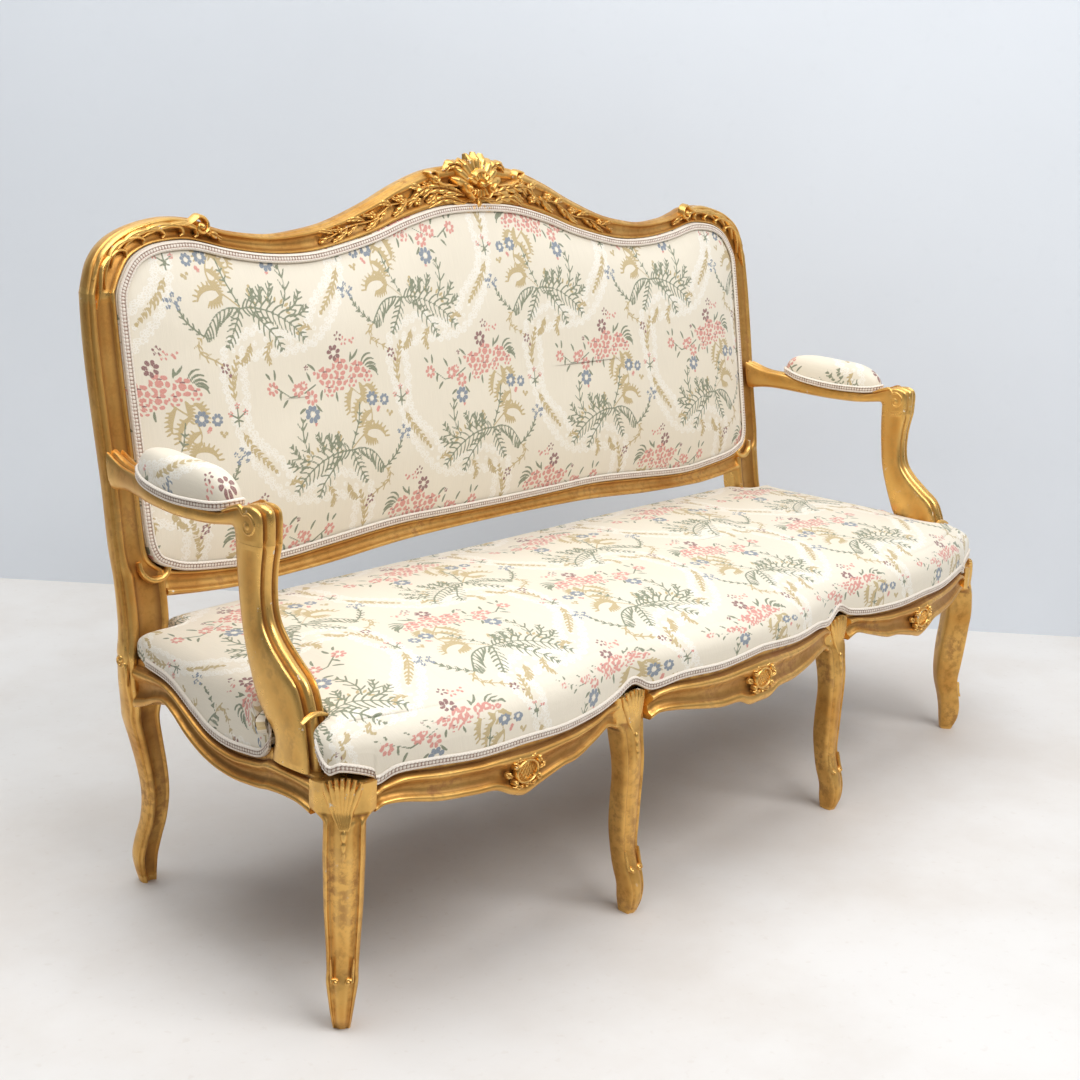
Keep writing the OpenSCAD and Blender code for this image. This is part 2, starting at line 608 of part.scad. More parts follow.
// Rear middle leg, a sabre leg under the rear rail: shares of its height, of its width,
// of rear_splay that it stands back, and of post_d for its depth
rear_middle_shares = [
  [0, 0.5, 0.79, 0.5], [0.07, 0.62, 0.8, 0.6], [0.16, 0.72, 0.74, 0.68], [0.24, 0.74, 0.64, 0.68],
  [0.36, 0.76, 0.51, 0.68], [0.5, 0.8, 0.43, 0.7], [0.66, 0.86, 0.36, 0.74], [0.82, 0.94, 0.29, 0.76],
  [0.93, 1, 0.24, 0.76], [1, 1.05, 0.214, 0.75]];
rear_section_shares = [[0.1, 0], [0.9, 0], [1, 0.12], [1, 0.85], [0.9, 1], [0.1, 1], [0, 0.85], [0, 0.12]];

module rear_middle_leg() {
  h = rear_rail_low - clearance;
  union() {
    skin([for (r = rear_middle_shares) [for (p = rear_section_shares)
      [middle_leg_x + (p[0] - 0.5) * r[1] * middle_leg_w,
        seat_depth + rear_splay * r[2] + post_d * r[3] * p[1], r[0] * h]]]);
    rear_middle_tenon();
  }
}

// Part 5: arms

// Edges of an arm in side view, from the post forwards and then down to its foot: the
// step, the upper or front edge, the lower or rear edge, the shift of the middle and the
// width. Places are shares of seat_depth back, of arm_h up, and of arm_w
arm_shares = [
  [0, 1.108, 1.016, 1.09, 0.932, -0.52, 0.76], [1, 1.02, 0.996, 1, 0.94, -0.4, 0.76],
  [2, 0.913, 0.99, 0.913, 0.939, -0.24, 0.84], [3, 0.83, 0.976, 0.83, 0.936, -0.12, 0.95],
  [4, 0.69, 0.966, 0.69, 0.933, 0, 1], [5, 0.56, 0.967, 0.56, 0.936, 0, 1],
  [6, 0.48, 0.972, 0.485, 0.943, 0, 0.97], [7, 0.42, 0.988, 0.445, 0.947, 0, 0.97],
  [8, 0.37, 1, 0.434, 0.943, 0, 1], [9, 0.325, 0.998, 0.433, 0.937, 0, 1],
  [10, 0.304, 0.98, 0.433, 0.93, 0, 1],
  [11, 0.302, 0.924, 0.433, 0.924, 0, 0.98]];
// The same for the support, with its heights as shares of the way up from the side rail
support_shares = [
  [0, 0.302, 1, 0.433, 1, 0, 0.98], [1, 0.316, 0.869, 0.428, 0.855, 0, 0.9],
  [2, 0.318, 0.736, 0.418, 0.714, 0, 0.88], [3, 0.304, 0.632, 0.406, 0.598, 0, 0.9],
  [4, 0.268, 0.555, 0.388, 0.492, 0.02, 0.94], [5, 0.21, 0.477, 0.365, 0.385, 0.04, 0.98],
  [6, 0.15, 0.4, 0.338, 0.279, 0.06, 1], [7, 0.118, 0.288, 0.298, 0.192, 0.08, 1],
  [8, 0.1, 0.155, 0.252, 0.114, 0.1, 1], [9, 0.084, 0, 0.262, 0, 0.1, 1]];
// Section of an arm: share of its width, and share of its height from the lower edge up
arm_section_shares = [[0.08, 0], [0.92, 0], [1, 0.12], [1, 0.72], [0.95, 0.9], [0.84, 0.94], [0.73, 0.84],
  [0.6, 0.97], [0.4, 0.97], [0.27, 0.84], [0.16, 0.94], [0.05, 0.9], [0, 0.72], [0, 0.12]];
// Points low on both sides of that section, for the fans that close it
arm_hub = [2, 13];
// Back of the foot of a support, behind which the side rail has its tacking strip
arm_foot_back_y = support_shares[9][3] * seat_depth + clearance;
arm_foot_front_y = support_shares[9][1] * seat_depth;
// Height of an arm's tenon in the post, as a share of arm_h, and places of the tenons at the
// foot and the top of a support, as shares of seat_depth
arm_tenon_share = 0.972;
support_tenon_shares = [0.17, 0.37];
// Height of the joint between an arm rail and its support
arm_joint_z = arm_shares[11][2] * arm_h;

// Ring of an arm at step s of a table whose heights run from z0 to z1. It stops at the post
function arm_ring(s, tab, z0, z1) = let (
    r = curve_row(s, tab),
    top = [r[1] * seat_depth, mix(z0, z1, r[2])],
    low = [r[3] * seat_depth, mix(z0, z1, r[4])])
  [for (p = arm_section_shares) let (q = mix(low, top, p[1]))
    [arm_x + (r[5] + (p[0] - 0.5) * r[6]) * arm_w, min(q[0], lean(q[1]) - clearance), q[1]]];

module arm_tenon() {
  x = arm_x - arm_w / 2;
  z = arm_h * arm_tenon_share;
  block([x - tenon_t / 2, lean(z) - tenon_l, z - tenon_h / 2],
    [x + tenon_t / 2, lean(z) + tenon_l, z + tenon_h / 2]);
}

module support_tenon() {
  y = seat_depth * support_tenon_shares[1];
  block([arm_x - tenon_t / 2, y - tenon_h / 2, arm_joint_z - tenon_l / 2],
    [arm_x + tenon_t / 2, y + tenon_h / 2, arm_joint_z + tenon_l]);
}

module support_foot_tenon() {
  y = seat_depth * support_tenon_shares[0];
  block([arm_x - tenon_t / 2, y - tenon_h / 2, leg_h - tenon_l],
    [arm_x + tenon_t / 2, y + tenon_h / 2, leg_h + tenon_l / 2]);
}

module arm_rail() {
  difference() {
    union() {
      skin([for (s = steps(0, 11, 13)) arm_ring(s, arm_shares, 0, arm_h)], arm_hub);
      arm_tenon();
    }
    support_tenon();
  }
}

module arm_support() {
  union() {
    skin([for (s = steps(0, 9, 9)) arm_ring(s, support_shares, leg_h + clearance, arm_joint_z - clearance)],
      arm_hub);
    support_tenon();
    support_foot_tenon();
  }
}

// Upper edge of the arm rail, from front to back
arm_top = [for (i = [8:-1:1]) let (r = arm_shares[i]) [r[1] * seat_depth, r[2] * arm_h, r[5] * arm_w]];
arm_pad_from = seat_depth * 0.46;
// Powers that make the pad's section fuller than half an oval
pad_powers = [0.8, 0.7];
arm_pad_steps_share = [0.004, 0.04, 0.11, 0.22, 0.36, 0.5, 0.64, 0.78, 0.89, 0.96, 0.996];

// Middle of the pad's underside, and half its width, at share s of its length
function pad_at(s) = let (y = arm_pad_from + s * arm_pad_l)
  [arm_x + curve(y, arm_top, 2), y, curve(y, arm_top, 1)];
function pad_full(s) = pow(1 - pow(abs(2 * s - 1), 3), 0.45);

function pad_ring(s) = let (
    at = pad_at(s) + [0, 0, 2 * clearance], w = arm_pad_w / 2 * pad_full(s), h = arm_pad_t * pad_full(s))
  [for (a = steps(0, 180, 8)) at + [w * sign(cos(a)) * pow(abs(cos(a)), pad_powers[0]), 0,
    clearance + h * pow(sin(a), pad_powers[1])]];

module arm_pad() {
  skin([for (s = arm_pad_steps_share) pad_ring(s)]);
}

// Points around the foot of the pad, from the middle of its rear end
pad_side = [for (i = [len(arm_pad_steps_share) - 1:-1:0]) let (s = arm_pad_steps_share[i])
  [pad_at(s) + [0, 0, 3 * clearance], [arm_pad_w / 2 * pad_full(s), 0, 0]]];
pad_loop = concat([pad_side[0][0]], [for (p = pad_side) p[0] - p[1]],
  [for (i = [len(pad_side) - 1:-1:0]) pad_side[i][0] + pad_side[i][1]]);

// Ring of braid that stands on the outside of a loop at point p, where out points outwards
function braid_ring(p, out, top_out) = [p + out * 2 * clearance, p + out * gimp_t,
  p + out * (gimp_t + top_out) + [0, 0, gimp_w], p + out * (2 * clearance + top_out) + [0, 0, gimp_w]];

// The rings of a closed braid, with the first repeated a little short of where it starts
function closed(rings, seam) = concat(rings, [[for (p = rings[0]) p + seam]]);

module arm_pad_gimp() {
  skin(closed([for (i = [0:len(pad_loop) - 1]) braid_ring(pad_loop[i], -loop_normal(pad_loop, i), 0)],
    [clearance, 0, 0]));
}

// Part 6: upholstery

// Unit vector in the plane of the first two coordinates, to the left of the loop at point i
function loop_normal(loop, i) = let (
    n = len(loop), a = loop[(i + n - 1) % n], b = loop[(i + 1) % n], t = [b[0] - a[0], b[1] - a[1]])
  [-t[1], t[0], 0] / norm(t);

// Both halves of a loop whose right half starts and ends in the middle
function whole_loop(half) = concat(half, [for (i = [len(half) - 2:-1:1]) [for (c = [0:len(half[i]) - 1])
  c == 0 ? -half[i][0] : half[i][c]]]);

// Shape of padding from its edge to its middle: share of the rounding inwards, share of
// the way to the middle line, share of the height of its side, and share of its crown
pad_shares = [[0, 0, 0, 0], [-0.06, 0, 0.4, 0], [0, 0, 0.78, 0], [0.35, 0, 1, 0.08], [1, 0, 1, 0.26],
  [1, 0.33, 1, 0.72], [1, 0.97, 1, 1]];
// How far the edges of the padding are rounded
edge_round = 18;

// Places across the front half of the seat, as shares of corner_leg_x
seat_front_shares = [0, 0.125, 0.23, 0.3, 0.35, 0.4, 0.47, 0.57, 0.668, 0.77, 0.87, 0.925, 0.957];
// Edge of the seat's fabric at the front corner and around an arm's foot: shares of arm_w
// out from the arm's middle, of seat_depth back and of leg_h up, and how far its rounded
// upper edge stands further back, in shares of seat_depth
seat_corner_shares = [
  [-0.66, -0.037, 1.003, 0], [0.26, -0.012, 1.045, 0], [0.5, 0.012, 1.032, 0], [0.54, 0.04, 1.07, 0],
  [0.46, 0.07, 1.12, -0.02], [0, 0.078, 1.13, -0.02], [-0.58, 0.08, 1.12, 0], [-0.65, 0.13, 1.06, 0],
  [-0.65, 0.25, 1.06, 0], [-0.58, 0.35, 1.12, 0.01], [0, 0.372, 1.15, 0.015], [0.36, 0.35, 1.14, 0.045],
  [0.47, 0.295, 1.09, 0.09]];
// Places along the side of the seat, as shares of seat_depth
seat_side_shares = [0.315, 0.38, 0.46, 0.55, 0.64, 0.78, 0.94];
seat_inset = moulding_d - cover_t - clearance;
// Edge of the seat's fabric around a rear post: shares of back_half_w and of seat_depth
seat_rear_shares = [[0.99, 0.988], [0.897, 0.988], [0.89, 1.075]];
// Back edge of the seat's fabric, as a share of rear_rail_t
rear_edge_share = 0.72;
// Height of the top of the rear rail, and of the seat's edge at the back
rear_top = rear_rail_low + rear_rail_h;
seat_back_h = mix(seat_edge_h, seat_crown_h, 0.5);

// Right half of the edge of the seat's fabric, with the height of its lower edge and of
// its rounded upper edge
seat_half = concat(
  [for (s = seat_front_shares) let (x = s * corner_leg_x)
    [x, front_y(x) + seat_inset, front_top(x), seat_edge_h, 0]],
  [for (r = seat_corner_shares) [arm_x + r[0] * arm_w, r[1] * seat_depth, r[2] * leg_h,
    mix(seat_edge_h, seat_back_h, r[1]), r[3] * seat_depth]],
  [for (s = seat_side_shares) let (y = s * seat_depth) [side_x(y) - seat_inset, y, side_top(y),
    mix(seat_edge_h, seat_back_h, s), max(0, 0.36 - s) * seat_depth]],
  [for (p = seat_rear_shares) [p[0] * back_half_w, seat_depth * p[1], rear_top + clearance, seat_back_h, 0]],
  [for (s = [0.6, 0.3, 0]) [s * back_half_w, rear_rail_y + rear_rail_t * rear_edge_share,
    rear_top + clearance, seat_back_h, 0]]);
seat_loop = whole_loop(seat_half);
// Number of points of the half loop that carry the braid
seat_braid_points = len(seat_front_shares) + len(seat_corner_shares) + len(seat_side_shares);
// Middle line of the seat, as shares of corner_leg_x and seat_depth
seat_spine_shares = [0.72, 0.46];

// Ring of the seat's padding at row r of pad_shares, sunk by skin all round
function seat_ring(r, sunk) = [for (i = [0:len(seat_loop) - 1]) let (
    p = seat_loop[i], n = loop_normal(seat_loop, i), to = corner_leg_x * seat_spine_shares[0],
    spine = [max(-to, min(to, p[0])), seat_depth * seat_spine_shares[1], 0],
    q = [p[0], p[1] + p[4] * r[2], 0] + n * (r[0] * edge_round + sunk),
    top = p[3] - sunk, crown = seat_crown_h - sunk)
  [mix(q[0], spine[0], r[1]), mix(q[1], spine[1], r[1]), mix(p[2], top, r[2]) + (crown - top) * r[3]]];

module seat_skin() {
  n = len(pad_shares) - 1;
  skin(concat([for (i = [n:-1:0]) seat_ring(pad_shares[i], cover_t)],
    [for (r = pad_shares) seat_ring(r, 0)]));
}

// Underside of the seat's stuffing: a ring inset from the edge, at or above the strips
function seat_under_ring(inset, over) = [for (i = [0:len(seat_loop) - 1]) let (
    p = seat_loop[i], back = over ? p[4] * strip_room / (p[3] - p[2]) : 0,
    q = [p[0], p[1] + back, 0] + loop_normal(seat_loop, i) * inset,
    to = inset < moulding_d ? corner_leg_x * 2 : side_x(max(q[1], side_from_y)) - strip_back_d - fold_room)
  [max(-to, min(to, q[0])), q[1], over ? max(p[2] + strip_room, seat_base_h + clearance) : seat_base_h]];
seat_base_h = leg_h + 3 * web_t;
// Height of the tacking strips with the room over them
strip_room = tack_h + 3 * fold_room;
seat_strip_inset = strip_back_d - seat_inset + 3 * fold_room;

module seat_fill() {
  sunk = cover_t + clearance;
  skin(concat([seat_under_ring(seat_strip_inset, false), seat_under_ring(seat_strip_inset, true),
    seat_under_ring(sunk, true)],
    [for (i = [3:len(pad_shares) - 1]) seat_ring(pad_shares[i], sunk)]));
}

// Braid on the outside of the lower edge of the seat's cover, from one rear post round to the other
module seat_braid() {
  bulge = -pad_shares[1][0] * edge_round;
  half = [for (i = [0:seat_braid_points - 1]) let (p = seat_loop[i], h = pad_shares[1][2] * (p[3] - p[2]))
    braid_ring([p[0], p[1], p[2]], -loop_normal(seat_loop, i), bulge * min(1, gimp_w / h))];
  skin(concat([for (i = [len(half) - 1:-1:1]) mirrored(half[i])], half));
}

// Places of the level webs, as shares of seat_depth
level_web_shares = [0.35, 0.51, 0.67, 0.83];

// Jute webs, front to back and side to side
module webs() {
  reach = rear_rail_x - web_w / 2 - 4 * clearance;
  inset = strip_back_d + fold_room;
  for (x = steps(-reach, reach, web_count - 1))
    block([x - web_w / 2, max([for (s = [-1, 0, 1]) front_y(x + s * web_w / 2)]) + inset,
      leg_h + clearance], [x + web_w / 2, rear_rail_y + rear_rail_t / 2 - clearance, leg_h + web_t]);
  for (s = level_web_shares) let (y = s * seat_depth, x = side_x(y + web_w / 2) - inset)
    block([-x, y - web_w / 2, leg_h + web_t + clearance], [x, y + web_w / 2, leg_h + 2 * web_t]);
}

// Inner side of the cloth beside an arm's foot, as a share of arm_w, and the last place of
// seat_front_shares that it reaches
hessian_arm_share = 0.7;
hessian_front_share = 0.9;

// Cloth laid over the webs, inside the tacking strips and clear of the arms' feet
module hessian() {
  inner_x = arm_x - arm_w * hessian_arm_share;
  inset = seat_strip_inset + seat_inset;
  half = concat(
    [for (s = seat_front_shares) if (s < hessian_front_share) [s * corner_leg_x, front_y(s * corner_leg_x) + inset]],
    [[inner_x, arm_foot_front_y], [inner_x, seat_depth * seat_side_shares[1]]],
    [for (s = seat_side_shares) if (s > seat_side_shares[1]) [side_x(s * seat_depth) - inset, s * seat_depth]],
    [[rear_rail_x - lip_w, seat_depth * seat_side_shares[6]],
      [rear_rail_x - lip_w, rear_rail_y + rear_rail_t / 2 - clearance]]);
  translate([0, 0, leg_h + 2 * web_t + clearance]) linear_extrude(web_t / 2)
    polygon(concat(half, [for (i = [len(half) - 1:-1:1]) [-half[i][0], half[i][1]]]));
}

// Right half of the edge of the back's fabric, in its own plane [x, z]
back_half = concat(
  [for (s = lower_steps_share) if (s < 1) [lower_ring(s)[2][0], lower_ring(s)[2][2]]],
  [for (i = [4:len(stile_shares) - 2]) let (r = stile_shares[i])
    [back_half_w * r[1] - post_w * r[2], mix(post_foot_h, post_top_h, r[0])]],
  [for (s = crest_steps_share) crest_inner(s)]);
back_loop = whole_loop(back_half);
// Middle line of the back, as shares of back_half_w and of post_top_h
back_spine_shares = [0.62, 0.81];
// Depth behind the face of the frame at which the fabric of the back is tacked
back_seat_d = back_t * back_moulding_shares[1][2] - clearance;

// Padding of the back from its edge to its middle: share of gimp_w inwards, share of the
// way to the middle line, and share of the depth from the tacked edge to the crown
back_pad_shares = [[0, 0, 0], [0, 0, 0.3], [1, 0, 0.38], [2.3, 0, 0.58], [1, 0.3, 0.86], [1, 0.97, 1]];

// Point at loop point i, moved in by inset and by share way to the middle line, at depth d
function back_point(i, inset, way, d) = let (
    n = loop_normal(back_loop, i), to = back_half_w * back_spine_shares[0], p = back_loop[i],
    x = mix(p[0] + n[0] * inset, max(-to, min(to, p[0])), way),
    z = mix(p[1] + n[1] * inset, post_top_h * back_spine_shares[1], way))
  [x, lean(z) + d, z];

// Ring of the back's padding at row r of its table, sunk all round
function back_pad_ring(r, sunk, tacked_d = back_seat_d) = [for (i = [0:len(back_loop) - 1])
  back_point(i, r[0] * gimp_w + sunk + clearance, r[1],
    r[2] == 0 ? tacked_d : mix(back_seat_d, -back_crown, r[2]) + sunk)];

module back_skin() {
  n = len(back_pad_shares) - 1;
  skin(concat([for (i = [n:-1:0]) back_pad_ring(back_pad_shares[i], cover_t)],
    [for (r = back_pad_shares) back_pad_ring(r, 0)]));
}

module back_fill() {
  skin([for (r = back_pad_shares) back_pad_ring(r, cover_t + 2 * clearance, back_seat_d - 3 * web_t)]);
}

// Braid that lies on the edge of the back's cover
module back_braid() {
  edge = [for (r = back_pad_shares) mix(back_seat_d, -back_crown, r[2])];
  skin(closed([for (i = [0:len(back_loop) - 1]) [
    back_point(i, clearance, 0, edge[1] - clearance), back_point(i, clearance, 0, edge[1] - gimp_t),
    back_point(i, gimp_w, 0, edge[2] - gimp_t), back_point(i, gimp_w, 0, edge[2] - clearance)]],
    [-clearance, 0, 0]));
}

// Number of upright webs in the back, and how far out the last ones stand
upright_webs = 7;
upright_web_share = 0.75;
// Heights of the level webs, as shares of the way from the lower back rail to the crest's joints
back_web_shares = [0.25, 0.54, 0.8];

// Upright and level webs inside the back, tacked to its ledge
module back_webs() {
  for (s = steps(-upright_web_share, upright_web_share, upright_webs - 1)) let (
      x = s * back_half_w, a = x - web_w / 2, b = x + web_w / 2, over = lip_w / 2)
    leaned_plate([[a, lower_top(a) + over], [b, lower_top(b) + over], [b, crest_inner_z(abs(b)) - over],
      [a, crest_inner_z(abs(a)) - over]], back_seat_d - web_t, back_seat_d - clearance);
  for (s = back_web_shares) let (z = mix(lower_rail_h, post_top_h, s), x = back_half_w - post_w - lip_w / 2)
    leaned_plate([[-x, z - web_w / 2], [x, z - web_w / 2], [x, z + web_w / 2], [-x, z + web_w / 2]],
      back_seat_d - 2 * web_t, back_seat_d - web_t - clearance);
}

module back_cloth(inset, from, to) {
  leaned_plate([for (i = [0:len(back_loop) - 1]) let (n = loop_normal(back_loop, i))
    [back_loop[i][0] + n[0] * inset, back_loop[i][1] + n[1] * inset]], from, to);
}

// Part 7: carving

// Scroll: a round rib along points [x, z] that grows thinner from r0 to r1, on the face of the back
module scroll(path, r0, r1) {
  n = len(path) - 1;
  skin([for (i = [0:n]) let (
      t = path[min(n, i + 1)] - path[max(0, i - 1)], out = [-t[1], t[0]] / norm(t), r = mix(r0, r1, i / n))
    [for (b = steps(0, 288, 4)) let (q = path[i] + out * r * cos(b))
      [q[0], lean(q[1]) - clearance - r * (1 + sin(b)), q[1]]]]);
}

// Points of a spiral about at, from angle a0, that turns by turn degrees as it closes from r0 to r1
function spiral(at, r0, r1, a0, turn, n) = [for (i = [0:n]) let (
    a = a0 + turn * i / n, r = mix(r0, r1, i / n))
  at + r * [cos(a), sin(a)]];

// Half the width and the thickness of the shell, and the number of its flutes and of its rays
shell_half_w = 64;
shell_t = 20;
shell_flutes = 9;
shell_rays = 27;
// Ray of the shell: shares of its length and of its thickness
shell_ray_shares = [[0.14, 0.3], [0.45, 0.72], [0.8, 1], [0.97, 0.8], [1, 0.35], [0.9, 0], [0.14, 0]];
// How far the flutes change the length and the thickness of a ray
flute_shares = [0.05, 0.13];
// How far the rays reach below level, in degrees
shell_dip_angle = 6;
// Height from which the rays spread, as a share of crest_rise
shell_base_share = 0.69;
shell_base_h = post_top_h + crest_rise * shell_base_share;
// Radius of the curls beside the shell, and the share of it left for their eyes
curl_r = 19;
curl_eye_share = 1 / 6;
// Middle of a curl beside the shell, as shares of shell_half_w and of crest_rise
curl_at_shares = [1.55, 0.87];
// Angle at which that curl starts, how far it turns, and the same for the curl on a shoulder
curl_angles = [-95, 440];
shoulder_angles = [70, 400];
// Radii of the ribs of both curls at their two ends, in shares of curl_r
curl_rib_shares = [0.32, 0.2];
shoulder_rib_shares = [0.2, 0.13];
// Radius of a shoulder curl, its place along the crest rail and that of its tail, and how far
// out on the rail it stands
shoulder_curl_share = 0.7;
shoulder_at_share = 0.38;
shoulder_tail_share = 0.28;
shoulder_out_share = 0.7;

module shell() {
  rise = post_top_h + crest_rise + carving_rise - shell_base_h;
  curl_at = [curl_at_shares[0] * shell_half_w, post_top_h + crest_rise * curl_at_shares[1]];
  skin([for (i = [0:shell_rays]) let (
      a = mix(-shell_dip_angle, 180 + shell_dip_angle, i / shell_rays),
      flute = cos(360 * shell_flutes * i / shell_rays),
      full = norm([shell_half_w * cos(a), rise * sin(a)]),
      reach = full * (1 + flute_shares[0] * flute) / (1 + flute_shares[0]))
    [for (r = shell_ray_shares) let (z = shell_base_h + reach * r[0] * sin(a))
      [reach * r[0] * cos(a),
        lean(z) - clearance - shell_t * r[1] * (1 + flute_shares[1] * flute * r[0]), z]]]);
  both_sides() scroll(concat(
    [[shell_half_w * 0.3, shell_base_h + curl_r / 10], [shell_half_w * 0.8, shell_base_h - curl_r / 10]],
    spiral(curl_at, curl_r, curl_r * curl_eye_share, curl_angles[0], curl_angles[1], 11)),
    curl_r * curl_rib_shares[0], curl_r * curl_rib_shares[1]);
}

// Curl on each shoulder of the crest rail
module shoulder_scroll() {
  at = mix(crest_inner(shoulder_at_share), crest_outer(shoulder_at_share), shoulder_out_share);
  tail = mix(crest_inner(shoulder_tail_share), crest_outer(shoulder_tail_share), 0.5);
  scroll(concat([tail],
    spiral(at, curl_r * shoulder_curl_share, curl_r * curl_eye_share,
      shoulder_angles[0], shoulder_angles[1], 9)),
    curl_r * shoulder_rib_shares[0], curl_r * shoulder_rib_shares[1]);
}

// Width, height and thickness of the oval cartouches on the front rails
cartouche_w = 66;
cartouche_h = 50;
cartouche_t = 8;
// Place of the outer cartouches, where the rail is lowest
cartouche_x = corner_leg_x * front_shares[15][0];
// Rim of a cartouche from the rail forwards: shares of its half size and of its thickness
cartouche_rim_shares = [[0.94, 0], [1, 0.6], [0.78, 1], [0.55, 0.4]];
// Number of points around a cartouche and of its lobes, and how far the lobes stand out
cartouche_points = 20;
cartouche_lobes = 10;
lobe_share = 0.05;

// Oval cartouche on the face of a front rail about x
module rail_cartouche(x) {
  mid_z = (front_low(x) + front_top(x)) / 2;
  skin([for (r = cartouche_rim_shares) [for (i = [0:cartouche_points - 1]) let (
      a = 360 * i / cartouche_points, lobe = 1 + lobe_share * cos(cartouche_lobes * a),
      q = x + cartouche_w / 2 * r[0] * cos(a) * lobe)
    [q, front_y(q) - clearance - cartouche_t * r[1], mid_z + cartouche_h / 2 * r[0] * sin(a) * lobe]]]);
}

// Part 8: the pieces
gilt = "goldenrod";
cloth = "ivory";
jute = "burlywood";
beech = "peru";

module front_leg_left() { color(gilt) placed() left_side() front_corner_leg(); }
module front_leg_right() { color(gilt) placed() front_corner_leg(); }
module front_leg_middle_left() { color(gilt) placed() left_side() front_middle_leg(); }
module front_leg_middle_right() { color(gilt) placed() front_middle_leg(); }
module rear_post_left() { color(gilt) placed() left_side() rear_post(); }
module rear_post_right() { color(gilt) placed() rear_post(); }
module rear_leg_middle_left() { color(gilt) placed() left_side() rear_middle_leg(); }
module rear_leg_middle_right() { color(gilt) placed() rear_middle_leg(); }
module front_rail_left() { color(gilt) placed() left_side() outer_front_rail(); }
module front_rail_centre() { color(gilt) placed() middle_front_rail(); }
module front_rail_right() { color(gilt) placed() outer_front_rail(); }
module side_rail_left() { color(gilt) placed() left_side() side_rail(); }
module side_rail_right() { color(gilt) placed() side_rail(); }
module rear_seat_rail() { color(beech) placed() rear_rail(); }
module seat_bearers() { color(beech) placed() both_sides() bearer(); }
module corner_blocks() {
  color(beech) placed() both_sides() {
    front_corner_block();
    rear_corner_block();
  }
}
module crest_rail() { color(gilt) placed() crest(); }
module crest_cartouche() { color(gilt) placed() shell(); }
module shoulder_scrolls() { color(gilt) placed() both_sides() shoulder_scroll(); }
module rail_cartouches() {
  color(gilt) placed() {
    rail_cartouche(0);
    both_sides() rail_cartouche(cartouche_x);
  }
}
module lower_back_rail() { color(gilt) placed() lower_rail(); }
module back_braces() { color(beech) placed() both_sides() brace(); }
module arm_support_left() { color(gilt) placed() left_side() arm_support(); }
module arm_support_right() { color(gilt) placed() arm_support(); }
module arm_rail_left() { color(gilt) placed() left_side() arm_rail(); }
module arm_rail_right() { color(gilt) placed() arm_rail(); }
module arm_pad_left() { color(cloth) placed() left_side() arm_pad(); }
module arm_pad_right() { color(cloth) placed() arm_pad(); }
module arm_pad_gimp_left() { color("linen") placed() left_side() arm_pad_gimp(); }
module arm_pad_gimp_right() { color("linen") placed() arm_pad_gimp(); }
module seat_webbing() { color(jute) placed() webs(); }
module seat_hessian() { color(jute) placed() hessian(); }
module seat_stuffing() { color("wheat") placed() seat_fill(); }
module seat_cover() { color(cloth) placed() seat_skin(); }
module seat_gimp() { color("linen") placed() seat_braid(); }
module back_webbing() { color(jute) placed() back_webs(); }
module back_hessian() {
  from = back_seat_d - 3 * web_t + 2 * clearance;
  color(jute) placed() back_cloth(cover_t + 3 * clearance, from, from + web_t / 2);
}
module back_stuffing() { color("wheat") placed() back_fill(); }
module back_cover() { color(cloth) placed() back_skin(); }
module back_gimp() { color("linen") placed() back_braid(); }
module outside_back_cover() {
  color(cloth) placed() back_cloth(-lip_w / 3, back_t + clearance, back_t + clearance + web_t);
}

front_leg_left();
front_leg_right();
front_leg_middle_left();
front_leg_middle_right();
rear_post_left();
rear_post_right();
rear_leg_middle_left();
rear_leg_middle_right();
front_rail_left();
front_rail_centre();
front_rail_right();
side_rail_left();
side_rail_right();
rail_cartouches();
rear_seat_rail();
seat_bearers();
corner_blocks();
crest_rail();
crest_cartouche();
shoulder_scrolls();
lower_back_rail();
back_braces();
arm_support_left();
arm_support_right();
arm_rail_left();
arm_rail_right();
arm_pad_left();
arm_pad_right();
arm_pad_gimp_left();
arm_pad_gimp_right();
seat_webbing();
seat_hessian();
seat_stuffing();
seat_cover();
seat_gimp();
back_webbing();
back_hessian();
back_stuffing();
back_cover();
back_gimp();
outside_back_cover();
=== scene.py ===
"""Looks of the cabriole sofa: gilded carved frame, brocade seat, back and arm pads, braid and webbing.

Plans are worked out in millimetres with y running back from the front corner feet, as in the part's
own source, and every mesh is placed in the part's frame in metres.
"""

import json
import logging
import math
from dataclasses import dataclass, field
from enum import Enum
from typing import Callable, Sequence

import bmesh
import bpy
import numpy as np
from mathutils import Matrix, Vector, kdtree

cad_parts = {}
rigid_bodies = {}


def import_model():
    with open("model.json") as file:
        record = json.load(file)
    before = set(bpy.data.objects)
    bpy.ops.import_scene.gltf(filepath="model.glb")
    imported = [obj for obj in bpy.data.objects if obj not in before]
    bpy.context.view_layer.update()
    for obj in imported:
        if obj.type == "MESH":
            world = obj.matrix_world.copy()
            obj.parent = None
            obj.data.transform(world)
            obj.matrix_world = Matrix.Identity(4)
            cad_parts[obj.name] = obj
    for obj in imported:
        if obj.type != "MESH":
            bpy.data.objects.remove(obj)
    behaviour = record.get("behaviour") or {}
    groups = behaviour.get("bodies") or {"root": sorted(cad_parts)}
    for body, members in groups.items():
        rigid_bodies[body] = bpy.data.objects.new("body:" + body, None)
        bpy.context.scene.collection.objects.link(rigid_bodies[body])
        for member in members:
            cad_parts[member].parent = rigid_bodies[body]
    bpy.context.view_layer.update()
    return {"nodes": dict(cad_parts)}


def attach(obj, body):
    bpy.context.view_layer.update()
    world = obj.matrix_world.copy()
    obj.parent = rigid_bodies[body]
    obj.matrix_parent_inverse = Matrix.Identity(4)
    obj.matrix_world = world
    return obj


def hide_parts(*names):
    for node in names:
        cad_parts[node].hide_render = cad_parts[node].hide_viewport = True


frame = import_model()
